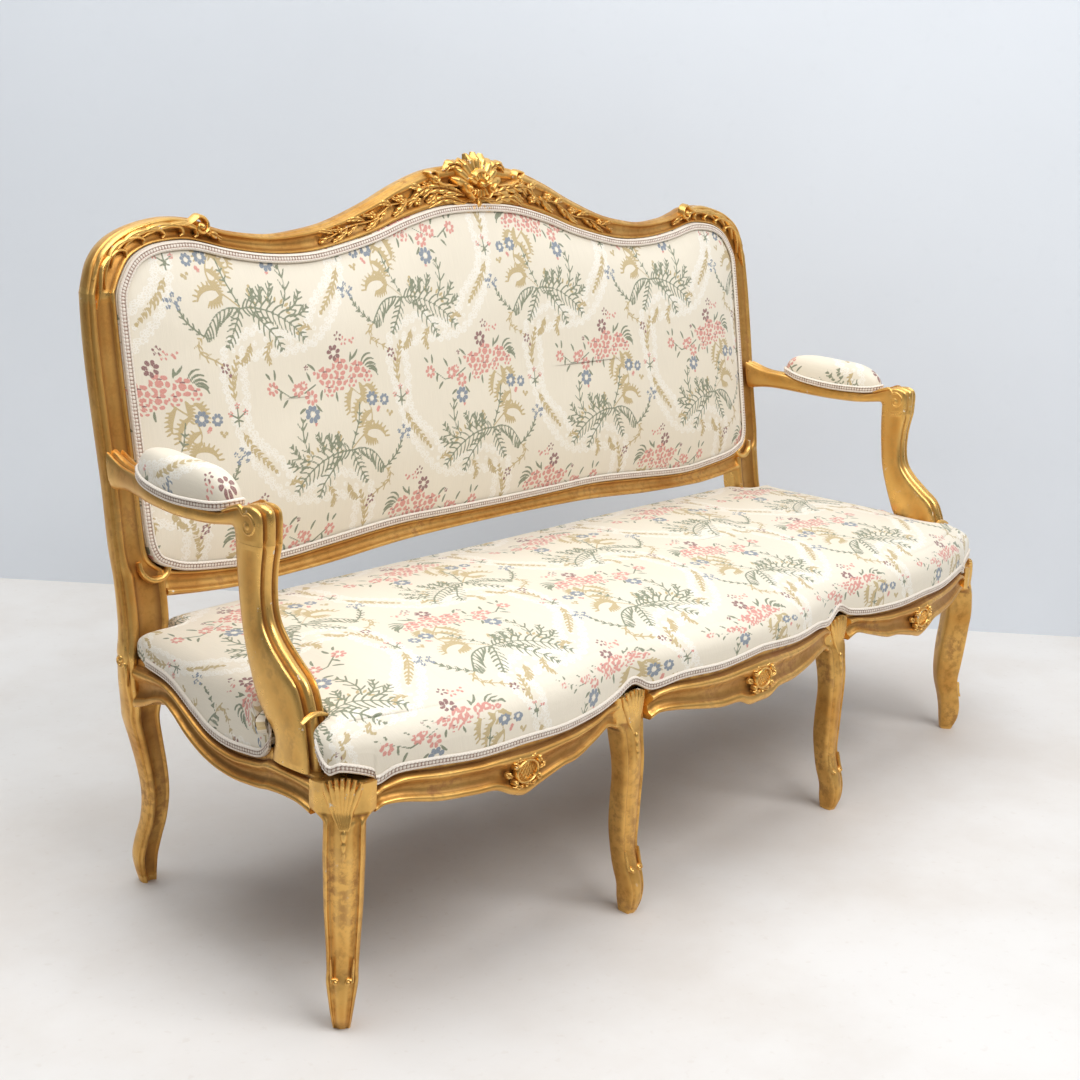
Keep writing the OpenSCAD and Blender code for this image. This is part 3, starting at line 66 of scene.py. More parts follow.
LOG = logging.getLogger("sofa")
Array = np.ndarray


class Slot(Enum):
    """The record's material slots of the pieces built here."""

    GILT = "gilded_beech"
    BROCADE = "floral_brocade"
    BRAID = "gimp_braid"
    JUTE = "jute_web"
    HAIR = "hair_stuffing"


class Side(Enum):
    """The two sides of the sofa, with the sign of their x."""

    LEFT = -1
    RIGHT = 1

    @property
    def word(self) -> str:
        """Name of the side as the parts' names end."""
        return self.name.lower()


class Thread(Enum):
    """Coloured threads of the brocade, by their place in its fields."""

    ROSE = 0
    WINE = 1
    FERN = 2
    GOLD = 3
    BLUE = 4
    LACE = 5


@dataclass(frozen=True)
class Plan:
    """Sizes of the sofa, in millimetres, the same as in the part's source."""

    corner_leg_x: float = 834
    middle_leg_x: float = 292
    leg_h: float = 352
    join_share: float = 1.13
    corner_leg_w: float = 56
    middle_leg_w: float = 47
    corner_head_half: float = 31
    middle_head_half: float = 38
    front_bow: float = 88
    seat_depth: float = 480
    rear_splay: float = 56
    back_half_w: float = 825
    post_top_h: float = 920
    crest_rise: float = 184
    lean_share: float = 0.17
    lean_from_h: float = 392
    back_t: float = 42
    post_w: float = 49
    post_d: float = 48
    lower_rail_h: float = 506
    lower_rail_w: float = 28
    lip_w: float = 14
    arm_h: float = 689
    arm_x: float = 834
    arm_w: float = 46
    arm_pad_w: float = 62
    arm_pad_t: float = 58
    arm_pad_l: float = 222
    seat_crown_h: float = 456
    seat_edge_h: float = 416
    back_crown: float = 30
    web_w: float = 50
    web_count: int = 15
    tack_h: float = 11
    clearance: float = 0.3
    plan_mid: float = 277.315

    def lean(self, z: Array | float) -> Array | float:
        """How far back the front of the back frame stands at height z."""
        return self.seat_depth + self.lean_share * np.maximum(0, z - self.lean_from_h)

    def placed(self, points: Array) -> Array:
        """Points in the part's own frame, in metres."""
        return points.reshape(-1, 3) * 0.001 - np.array((0, self.plan_mid * 0.001, 0))


PLAN = Plan()


@dataclass(frozen=True)
class Table:
    """Rows of numbers that grow with their first column, joined by a smooth curve."""

    rows: tuple[tuple[float, ...], ...]

    def at(self, t: Array | float) -> Array:
        """Reads the curve.

        Args:
            t: places in the first column.

        Returns:
            All columns at those places, one row for each.
        """
        tab = np.array(self.rows, float)
        t = np.atleast_1d(np.asarray(t, float))
        i = np.clip(np.searchsorted(tab[:, 0], t, side="right") - 1, 0, len(tab) - 2)
        before, after = np.maximum(np.arange(len(tab)) - 1, 0), np.minimum(np.arange(len(tab)) + 1, len(tab) - 1)
        slope = (tab[after] - tab[before]) / (tab[after, 0] - tab[before, 0])[:, None]
        a, b = tab[i], tab[i + 1]
        span = (b[:, 0] - a[:, 0])[:, None]
        u = (t[:, None] - a[:, :1]) / span
        return (a * (1 + 2 * u) * (1 - u) ** 2 + b * u * u * (3 - 2 * u) + span * u * (1 - u) ** 2 * slope[i]
                - span * u * u * (1 - u) * slope[i + 1])


def mix(a: Array | float, b: Array | float, t: Array | float) -> Array | float:
    """Value a share t of the way from a to b."""
    return a + (b - a) * t


def rounded(points: Sequence[Sequence[float]] | Array, per: int, closed: bool = True) -> Array:
    """Runs a smooth curve through points.

    Args:
        points: the points, in two or three dimensions.
        per: how many steps each stretch between two points gets.
        closed: whether the last point joins the first.

    Returns:
        The points of the curve.
    """
    p = np.array(points, float)
    if closed:
        p = np.concatenate([p[-1:], p, p[:2]])
    else:
        p = np.concatenate([2 * p[:1] - p[1:2], p, 2 * p[-1:] - p[-2:-1]])
    u = (np.arange(per) / per)[None, :, None]
    a, b, c, d = (p[k:len(p) - 3 + k, None, :] for k in range(4))
    curve = 0.5 * (2 * b + (c - a) * u + (2 * a - 5 * b + 4 * c - d) * u ** 2 + (3 * b - a - 3 * c + d) * u ** 3)
    curve = curve.reshape(-1, p.shape[1])
    return curve if closed else np.concatenate([curve, p[-2:-1]])


def moulding(start: tuple[float, float], *runs: tuple[float, float, float]) -> Array:
    """Outline of a moulding from straight runs, beads and coves.

    Args:
        start: first point, as place across and depth behind the face.
        runs: each run's end point and how far it bulges forward; a cove bulges backward.

    Returns:
        The outline's points.
    """
    out, at = [np.array(start, float)], np.array(start, float)
    for x, d, rise in runs:
        to = np.array((x, d), float)
        way = to - at
        ahead = np.array((way[1], -way[0])) / max(np.hypot(*way), 1e-9)
        n = 8 if rise else 1
        for k in range(1, n + 1):
            s = k / n
            out.append(at + way * s + ahead * rise * 4 * s * (1 - s))
        at = to
    return np.array(out)


def line_frames(line: Array) -> Array:
    """Unit tangents of a line of points."""
    t = np.gradient(line, axis=0)
    return t / np.maximum(np.linalg.norm(t, axis=1, keepdims=True), 1e-9)


def beside(way: Array) -> Array:
    """Plane vectors turned a quarter to the left."""
    return np.stack([-way[:, 1], way[:, 0]], 1)


def run_along(line: Array) -> Array:
    """Distance along a line at each of its points."""
    return np.concatenate([[0], np.cumsum(np.linalg.norm(np.diff(line, axis=0), axis=1))])


def spaced(line: Array, step: float) -> Array:
    """The same line with its points a step apart."""
    run = run_along(line)
    n = max(2, int(round(run[-1] / step)) + 1)
    to = np.linspace(0, run[-1], n)
    return np.stack([np.interp(to, run, line[:, k]) for k in range(line.shape[1])], 1)


@dataclass
class Skin:
    """A surface through closed rings of points, in millimetres.

    Attributes:
        rings: points as rings, points in a ring and coordinates.
        looped: whether the last ring joins the first.
        marks: values of named attributes at the points.
    """

    rings: Array
    looped: bool = False
    marks: dict[str, Array] = field(default_factory=dict)

    def mirrored(self) -> "Skin":
        """The same skin on the other side of the sofa."""
        return Skin(self.rings * np.array((-1, 1, 1)), self.looped, self.marks)

    def add_to(self, bm: bmesh.types.BMesh) -> None:
        """Adds the skin to a mesh as a grid that is welded where it meets itself."""
        rings = np.concatenate([self.rings, self.rings[:, :1]], 1)
        marks = {k: np.concatenate([v, v[:, :1]], 1) for k, v in self.marks.items()}
        if self.looped:
            rings = np.concatenate([rings, rings[:1]], 0)
            marks = {k: np.concatenate([v, v[:1]], 0) for k, v in marks.items()}
        m, n = rings.shape[:2]
        layers = []
        for name, value in marks.items():
            kind = bm.verts.layers.float_vector if value.ndim == 3 else bm.verts.layers.float
            layers.append((name, kind, value.reshape(m * n, -1)))
            kind.get(name) or kind.new(name)
        verts = bmesh.ops.create_grid(bm, x_segments=n - 1, y_segments=m - 1, size=1.0)["verts"]
        order = np.argsort([round(v.co.y * 1e5) * 4e5 + round(v.co.x * 1e5) for v in verts], kind="stable")
        place = PLAN.placed(rings)
        verts = [verts[i] for i in order]
        for v, co in zip(verts, place.tolist()):
            v.co = co
        for name, kind, value in layers:
            layer = kind.get(name)
            for v, own in zip(verts, value.tolist()):
                v[layer] = own if len(own) == 3 else own[0]
        bmesh.ops.remove_doubles(bm, verts=verts, dist=2e-6)


def relief_of(mesh: bpy.types.Mesh) -> Array:
    """How far each vertex stands out from its neighbours, from 0 in a hollow to 1 on a ridge."""
    n = len(mesh.vertices)
    co, no = np.zeros(n * 3, np.float32), np.zeros(n * 3, np.float32)
    mesh.vertices.foreach_get("co", co)
    mesh.vertex_normals.foreach_get("vector", no)
    co, no = co.reshape(-1, 3), no.reshape(-1, 3)
    edges = np.zeros(len(mesh.edges) * 2, np.int32)
    mesh.edges.foreach_get("vertices", edges)
    a, b = edges.reshape(-1, 2).T
    count = np.bincount(np.concatenate([a, b]), minlength=n).clip(1)

    def around(value: Array) -> Array:
        """Mean of a value over each vertex's neighbours."""
        if value.ndim == 1:
            return (np.bincount(a, value[b], n) + np.bincount(b, value[a], n)) / count
        return np.stack([around(value[:, k]) for k in range(value.shape[1])], 1)

    wide = co
    for _ in range(3):
        wide = 0.5 * (wide + around(wide))
    out = ((co - wide) * no).sum(1)
    for _ in range(2):
        out = 0.5 * (out + around(out))
    return np.clip(0.5 + out / 0.0009, 0, 1)


def make_piece(name: str, skins: Sequence[Skin], finish: bpy.types.Material, slot: Slot,
               replaces: Sequence[str] = (), crease: float = 40.0) -> bpy.types.Object:
    """Builds one piece that rides on the sofa's body.

    Args:
        name: name of the piece.
        skins: its surfaces.
        finish: its material.
        slot: the record's slot of that material; not used.
        replaces: CAD nodes that it stands for.
        crease: angle in degrees past which an edge stays sharp.

    Returns:
        The piece.
    """
    bm = bmesh.new()
    for skin in skins:
        skin.add_to(bm)
    rims = [e for e in bm.edges if e.is_boundary]
    if rims:
        bmesh.ops.holes_fill(bm, edges=rims, sides=0)
    bmesh.ops.recalc_face_normals(bm, faces=bm.faces)
    mesh = bpy.data.meshes.new(name)
    bm.to_mesh(mesh)
    bm.free()
    mesh.shade_smooth()
    mesh.set_sharp_from_angle(angle=math.radians(crease))
    relief = mesh.attributes.new("relief", "FLOAT", "POINT")
    relief.data.foreach_set("value", relief_of(mesh).astype(np.float32))
    mesh.materials.append(finish)
    piece = bpy.data.objects.new(name, mesh)
    bpy.context.scene.collection.objects.link(piece)
    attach(piece, "root")
    if replaces:
        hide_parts(*replaces)
    LOG.info("%s: %d faces", name, len(mesh.polygons))
    return piece


def both_sides(name: str, skins: Sequence[Skin], finish: bpy.types.Material, slot: Slot,
               replaces: bool = True) -> list[bpy.types.Object]:
    """Builds a piece worked out for the right and its mirror image, each for the node of its name."""
    made = []
    for side in Side:
        own = skins if side is Side.RIGHT else [s.mirrored() for s in skins]
        full = f"{name}_{side.word}"
        made.append(make_piece(full + "_shape", own, finish, slot, [full] if replaces else []))
    return made


def mirrored_pair(skins: Sequence[Skin]) -> list[Skin]:
    """Skins of the right side with their mirror images."""
    return list(skins) + [s.mirrored() for s in skins]


def linear(colour: Sequence[int]) -> tuple[float, ...]:
    """Colour for a shader from its usual 0 to 255 values."""
    shares = (c / 255 for c in colour)
    return (*(c / 12.92 if c <= 0.04045 else ((c + 0.055) / 1.055) ** 2.4 for c in shares), 1.0)


@dataclass(frozen=True)
class Wire:
    """A value in a shader; arithmetic with it adds the nodes."""

    bench: "NodeBench"
    socket: bpy.types.NodeSocket

    def __add__(self, other: object) -> "Wire":
        """Sum."""
        return self.bench.number("ADD", self, other)

    def __sub__(self, other: object) -> "Wire":
        """Difference."""
        return self.bench.number("SUBTRACT", self, other)

    def __rsub__(self, other: object) -> "Wire":
        """Difference from a plain number."""
        return self.bench.number("SUBTRACT", other, self)

    def __mul__(self, other: object) -> "Wire":
        """Product."""
        return self.bench.number("MULTIPLY", self, other)

    def clamped(self) -> "Wire":
        """The same value held between 0 and 1."""
        self.socket.node.use_clamp = True
        return self


@dataclass(frozen=True)
class NodeBench:
    """Adds and joins shader nodes in one tree."""

    tree: bpy.types.NodeTree

    def plug(self, socket: bpy.types.NodeSocket, value: object) -> None:
        """Gives an input a value, or joins it to a wire."""
        if isinstance(value, Wire):
            self.tree.links.new(value.socket, socket)
        else:
            socket.default_value = value

    def feed(self, node: bpy.types.Node, **inputs: object) -> bpy.types.Node:
        """Gives inputs their values or wires, by name with _ for a space."""
        for key, value in inputs.items():
            name = key.replace("_", " ")
            self.plug(next(s for s in node.inputs if s.enabled and name in (s.name, s.identifier)), value)
        return node

    def take(self, kind: str, output: str | int, settings: dict | None = None, **inputs: object) -> Wire:
        """Adds a node and takes one of its outputs."""
        node = self.tree.nodes.new("ShaderNode" + kind)
        for key, value in (settings or {}).items():
            setattr(node, key, value)
        return Wire(self, self.feed(node, **inputs).outputs[output])

    def number(self, operation: str, *values: object) -> Wire:
        """Works out a number from others."""
        node = self.tree.nodes.new("ShaderNodeMath")
        node.operation = operation
        for socket, value in zip(node.inputs, values):
            self.plug(socket, value)
        return Wire(self, node.outputs[0])

    def ramp(self, value: Wire, low: object, high: object, to_low: float = 0, to_high: float = 1) -> Wire:
        """Moves a number smoothly from one range to another."""
        return self.take("MapRange", "Result", {"interpolation_type": "SMOOTHSTEP"}, Value=value, From_Min=low,
                         From_Max=high, To_Min=to_low, To_Max=to_high)

    def blend(self, share: Wire, a: object, b: object) -> Wire:
        """Mixes two colours, each a wire or its 0 to 255 values."""
        mixed = self.take("Mix", 2, {"data_type": "RGBA"})
        for i, value in ((0, share), (6, a), (7, b)):
            self.plug(mixed.socket.node.inputs[i], value if isinstance(value, Wire) else linear(value))
        return mixed

    def noise(self, where: Wire, scale: float, detail: float = 2, rough: float = 0.5) -> Wire:
        """Cloudy noise from 0 to 1."""
        return self.take("TexNoise", "Fac", None, Vector=where, Scale=scale, Detail=detail, Roughness=rough)

    def attribute(self, name: str, output: str = "Fac") -> Wire:
        """Reads a mesh's own attribute."""
        return self.take("Attribute", output, {"attribute_name": name})

    def parts(self, vector: Wire) -> list[Wire]:
        """The three numbers of a vector."""
        first = self.take("SeparateXYZ", 0, None, Vector=vector)
        return [Wire(self, socket) for socket in first.socket.node.outputs]

    def stretched(self, where: Wire, *scale: float) -> Wire:
        """Coordinates stretched by a scale."""
        return self.take("Mapping", "Vector", None, Vector=where, Scale=scale)

    def objects(self) -> Wire:
        """Object coordinates."""
        return self.take("TexCoord", "Object")


def node_group(name: str, inputs: dict[str, tuple[str, object]], outputs: Sequence[str],
               fill: Callable[[NodeBench, dict[str, Wire]], dict[str, Wire]]) -> bpy.types.NodeTree:
    """Makes a shader node group once.

    Args:
        name: name of the group.
        inputs: type and default of each input.
        outputs: names of its outputs, all numbers.
        fill: builds the nodes from the inputs and returns the outputs.

    Returns:
        The group.
    """
    if name in bpy.data.node_groups:
        return bpy.data.node_groups[name]
    tree = bpy.data.node_groups.new(name, "ShaderNodeTree")
    for key, (kind, value) in inputs.items():
        socket = tree.interface.new_socket(name=key, in_out="INPUT", socket_type="NodeSocket" + kind)
        if value is not None:
            socket.default_value = value
    for key in outputs:
        tree.interface.new_socket(name=key, in_out="OUTPUT", socket_type="NodeSocketFloat")
    bench = NodeBench(tree)
    start, end = tree.nodes.new("NodeGroupInput"), tree.nodes.new("NodeGroupOutput")
    bench.feed(end, **fill(bench, {k: Wire(bench, start.outputs[k]) for k in inputs}))
    return tree


def wear_group() -> bpy.types.NodeTree:
    """Masks on a carved surface: ridges for painted highlights, hollows for painted shade, chips on worn ridges,
    rubs and mottling of age.
    """
    def fill(b: NodeBench, given: dict[str, Wire]) -> dict[str, Wire]:
        """Builds the group's nodes."""
        where, relief, amount = given.values()
        coarse, fine = b.noise(where, 9, 3), b.noise(where, 70, 4, 0.65)
        spot = b.ramp(b.noise(where, 55, 5, 0.7), 0.74 - amount, 0.78 - amount)
        return {"Ridge": b.ramp(relief + (fine - 0.5) * 0.25, 0.56, 0.8),
                "Hollow": b.ramp(relief + (fine - 0.5) * 0.2, 0.4, 0.05),
                "Chip": (spot * b.ramp(relief, 0.62, 0.82)).clamped(),
                "Rub": (b.ramp(coarse, 0.5, 0.66) * b.ramp(fine, 0.42, 0.62)).clamped(), "Coarse": coarse,
                "Fine": fine, "Grains": b.noise(where, 260, 3, 0.6)}
    return node_group(
        "surface_wear", {"Where": ("Vector", None), "Relief": ("Float", 0.5), "Amount": ("Float", 0.1)},
        ("Ridge", "Hollow", "Chip", "Rub", "Coarse", "Fine", "Grains"), fill)


def weave_group() -> bpy.types.NodeTree:
    """Height of a plain weave with its threads a pitch apart."""
    def fill(b: NodeBench, given: dict[str, Wire]) -> dict[str, Wire]:
        """Builds the group's nodes."""
        turn = b.number("DIVIDE", 2 * math.pi, given["Pitch"])
        x, y = (b.number("SINE", part * turn) for part in b.parts(given["Where"])[:2])
        return {"Height": x * y * 0.5 + 0.5}
    return node_group("plain_weave", {"Where": ("Vector", None), "Pitch": ("Float", 0.001)}, ("Height",), fill)


@dataclass(frozen=True)
class Finish:
    """A finish with its gloss, made once and shared by its pieces."""

    name: str
    roughness: float = 0.5
    metallic: float = 0.0

    def material(self) -> bpy.types.Material:
        """The finish as a material."""
        made = bpy.data.materials.new(self.name)
        made.use_nodes = True
        bench, shader = NodeBench(made.node_tree), made.node_tree.nodes["Principled BSDF"]
        bench.feed(shader, Roughness=self.roughness, Metallic=self.metallic)
        self.dress(bench, shader)
        return made

    def dress(self, b: NodeBench, shader: bpy.types.Node) -> None:
        """Builds the finish's own nodes."""

    def emboss(self, b: NodeBench, shader: bpy.types.Node, height: Wire, strength: float, depth: float) -> None:
        """Gives the shader a bump from a height."""
        b.feed(shader, Normal=b.take("Bump", "Normal", None, Height=height, Strength=strength, Distance=depth))

    @staticmethod
    def darker(colour: Sequence[int], by: int) -> tuple[int, ...]:
        """A colour with all its channels lowered."""
        return tuple(min(255, c - by) for c in colour)


@dataclass(frozen=True)
class Gilding(Finish):
    """Old water gilding over red bole and white gesso, with painted shade in its hollows and painted highlights on
    its ridges.
    """

    name: str = "old_gilding"
    roughness: float = 0.4
    # bright is the leaf's pale tone and the painted highlight on the ridges; shade is its dark tone and the painted
    # shade in the hollows.
    bright: tuple = (240, 194, 112)
    middle: tuple = (202, 144, 68)
    shade: tuple = (128, 82, 36)
    bole: tuple = (134, 62, 34)
    gesso: tuple = (232, 222, 204)
    chips: float = 0.1

    def dress(self, b: NodeBench, shader: bpy.types.Node) -> None:
        """Builds the gilding's nodes."""
        wear_and_painted_light = b.take("Group", 0, {"node_tree": wear_group()}, Where=b.objects(), Relief=b.attribute("relief"),
                      Amount=self.chips)
        ridge_highlight, hollow_shade, chip, rub, coarse, fine, grains = (Wire(b, s) for s in wear_and_painted_light.socket.node.outputs)
        leaf = b.blend(b.ramp(coarse, 0.35, 0.65, 0.1, 0.75), self.middle, self.bright)
        leaf = b.blend(b.ramp(fine, 0.4, 0.75, 0, 0.45), leaf, self.shade)
        # Painted shade darkens the hollows and a painted highlight brightens the ridges; the red bole shows where
        # the leaf is rubbed.
        for share, colour in ((hollow_shade * 0.75, self.shade), (rub * 0.42, self.bole), (ridge_highlight * 0.7, self.bright)):
            leaf = b.blend(share, leaf, colour)
        matt = b.ramp(fine, 0.2, 0.8, self.roughness - 0.04, self.roughness + 0.16) + chip * 0.4
        b.feed(shader, Base_Color=b.blend(chip, leaf, self.gesso), Roughness=matt - ridge_highlight * 0.14,
               Metallic=((0.86 - (rub * 0.35 + hollow_shade * 0.3)) * (1 - chip)).clamped())
        self.emboss(b, shader, grains * 0.35 + (fine * 0.6 - chip * 0.9), 0.5, 0.0008)


@dataclass(frozen=True)
class BareBeech(Finish):
    """Old unfinished beech inside the frame."""

    name: str = "aged_beech"
    roughness: float = 0.62
    pale: tuple = (196, 158, 112)
    dark: tuple = (140, 100, 64)

    def dress(self, b: NodeBench, shader: bpy.types.Node) -> None:
        """Builds the wood's nodes."""
        where = b.objects()
        streak, fleck = b.noise(
            b.stretched(where, 2, 30, 30), 3, 5, 0.6), b.noise(b.stretched(where, 12, 160, 160), 2, 2)
        wood = b.blend(b.ramp(streak, 0.3, 0.7), self.dark, self.pale)
        b.feed(shader, Base_Color=b.blend(b.ramp(fleck, 0.55, 0.7, 0, 0.4), wood, self.dark))
        self.emboss(b, shader, streak + fleck * 0.5, 0.3, 0.001)


@dataclass(frozen=True)
class Brocade(Finish):
    """Ivory satin with woven flowers, coloured by the thread fields of its piece.

    Attributes:
        thread: threads to a metre, for the slubs and the ragged edges.
        mesh: cells of the lace net to a metre.
        pitch: distance between two threads of the weave, in metres.
    """

    name: str = "woven_brocade"
    roughness: float = 0.5
    ground: tuple = (235, 225, 205)
    colours: tuple = (
        (212, 122, 112), (112, 22, 44), (82, 100, 66), (184, 158, 98), (88, 112, 138), (253, 251, 245))
    thread: float = 900
    mesh: float = 235
    pitch: float = 0.0011

    def dress(self, b: NodeBench, shader: bpy.types.Node) -> None:
        """Builds the brocade's nodes."""
        cloth = b.attribute("cloth", "Vector")
        slub = b.noise(b.stretched(cloth, self.thread, 26, 1), 1, 2)
        grain = b.noise(b.stretched(cloth, self.thread, self.thread, 1), 1, 2, 0.6)
        colour = b.blend(b.ramp(slub, 0.35, 0.65, 0, 0.35), self.ground, self.darker(self.ground, 12))
        colour = b.blend(b.ramp(b.noise(cloth, 5, 2), 0.3, 0.7, 0, 0.25), colour, self.darker(self.ground, -6))
        net = b.take("TexVoronoi", "Distance", {"feature": "DISTANCE_TO_EDGE"}, Vector=cloth, Scale=self.mesh)
        fields = [field for k in "ab" for field in b.parts(b.attribute("threads_" + k, "Vector"))]
        jagged, raised = (grain - 0.5) * 0.8, None
        for thread in (Thread.LACE, Thread.GOLD, Thread.FERN, Thread.ROSE, Thread.BLUE, Thread.WINE):
            mask = b.ramp(fields[thread.value] + jagged, -0.25, 0.35)
            if thread is Thread.LACE:
                mask = mask * b.ramp(net, 0.2, 0.08, 0.06, 0.6)
            tone = b.blend(b.ramp(grain, 0.3, 0.7, 0, 0.35), self.colours[thread.value], self.ground)
            colour = b.blend(mask * 0.94, colour, tone)
            raised = b.number("MAXIMUM", raised, mask) if raised else mask
        b.feed(shader, Base_Color=colour, Roughness=b.ramp(raised, 0, 1, self.roughness, self.roughness + 0.18),
               Sheen_Weight=0.25, Sheen_Roughness=0.4)
        weave = b.take("Group", "Height", {"node_tree": weave_group()}, Where=cloth, Pitch=self.pitch)
        self.emboss(b, shader, weave * 0.25 + (slub * 0.25 + raised * 0.9), 0.55, 0.0005)


@dataclass(frozen=True)
class Braid(Finish):
    """Ivory double cord with a ladder of rose-brown thread."""

    name: str = "corded_gimp"
    roughness: float = 0.75
    cord: tuple = (240, 230, 216)
    ladder: tuple = (164, 128, 112)

    def dress(self, b: NodeBench, shader: bpy.types.Node) -> None:
        """Builds the braid's nodes."""
        fuzz = b.noise(b.objects(), 900, 2)
        cord = b.blend(b.ramp(fuzz, 0.35, 0.7, 0, 0.4), self.cord, self.darker(self.cord, 34))
        cord = b.blend(b.ramp(b.attribute("thread"), 0.1, 0.9) * 0.85, cord, self.ladder)
        # Where the relief is low, in the grooves and along the edges, the braid darkens toward the ladder's
        # rose-brown: partly the ladder thread lying in the grooves, partly painted shade.
        b.feed(shader, Base_Color=b.blend(b.ramp(b.attribute("relief"), 0.5, 0.2, 0, 0.45), cord, self.ladder))
        self.emboss(b, shader, fuzz, 0.5, 0.0006)


@dataclass(frozen=True)
class Jute(Finish):
    """Brown jute yarn in a plain weave."""

    name: str = "woven_jute"
    roughness: float = 0.85
    yarn: tuple = (176, 146, 104)
    # gap is the colour of the painted shade in the low places of the weave.
    gap: tuple = (104, 80, 52)
    pitch: float = 0.004

    def dress(self, b: NodeBench, shader: bpy.types.Node) -> None:
        """Builds the jute's nodes."""
        weave = b.take("Group", "Height", {"node_tree": weave_group()}, Where=b.attribute("cloth", "Vector"),
                       Pitch=self.pitch)
        fuzz = b.noise(b.objects(), 300, 3)
        yarn = b.blend(b.ramp(fuzz, 0.3, 0.7, 0, 0.5), self.yarn, self.darker(self.yarn, 30))
        # Painted shade: where the weave dips, the yarn darkens to the gap colour.
        b.feed(shader, Base_Color=b.blend(b.ramp(weave, 0.45, 0.05), yarn, self.gap))
        self.emboss(b, shader, weave + fuzz * 0.4, 0.7, 0.0012)


@dataclass(frozen=True)
class Hair(Finish):
    """Curled hair stuffing under its cloth."""

    name: str = "curled_hair"
    roughness: float = 0.9
    pale: tuple = (150, 122, 92)
    dark: tuple = (70, 54, 42)

    def dress(self, b: NodeBench, shader: bpy.types.Node) -> None:
        """Builds the hair's nodes."""
        curl = b.take("TexNoise", "Fac", None, Vector=b.objects(), Scale=120, Detail=5, Distortion=3)
        b.feed(shader, Base_Color=b.blend(b.ramp(curl, 0.35, 0.65), self.dark, self.pale))
        self.emboss(b, shader, curl, 0.9, 0.004)


@dataclass(frozen=True)
class Ground(Finish):
    """Pale floor or wall of the studio."""

    name: str = "floor"
    roughness: float = 0.6
    colour: tuple = (228, 225, 221)
    mottle: tuple = (208, 199, 189)
    scale: float = 1.6

    def dress(self, b: NodeBench, shader: bpy.types.Node) -> None:
        """Builds the ground's nodes."""
        where = b.objects()
        cloud, speck = b.noise(where, self.scale, 6, 0.6), b.noise(where, self.scale * 40, 3)
        tone = b.blend(b.ramp(cloud, 0.35, 0.7, 0, 0.6), self.colour, self.mottle)
        b.feed(shader, Base_Color=b.blend(b.ramp(speck, 0.6, 0.75, 0, 0.25), tone, self.mottle))
        self.emboss(b, shader, cloud, 0.1, 0.002)


def toward(angle: float) -> Array:
    """Unit vector of a plane at an angle in radians."""
    return np.array((math.cos(angle), math.sin(angle)))


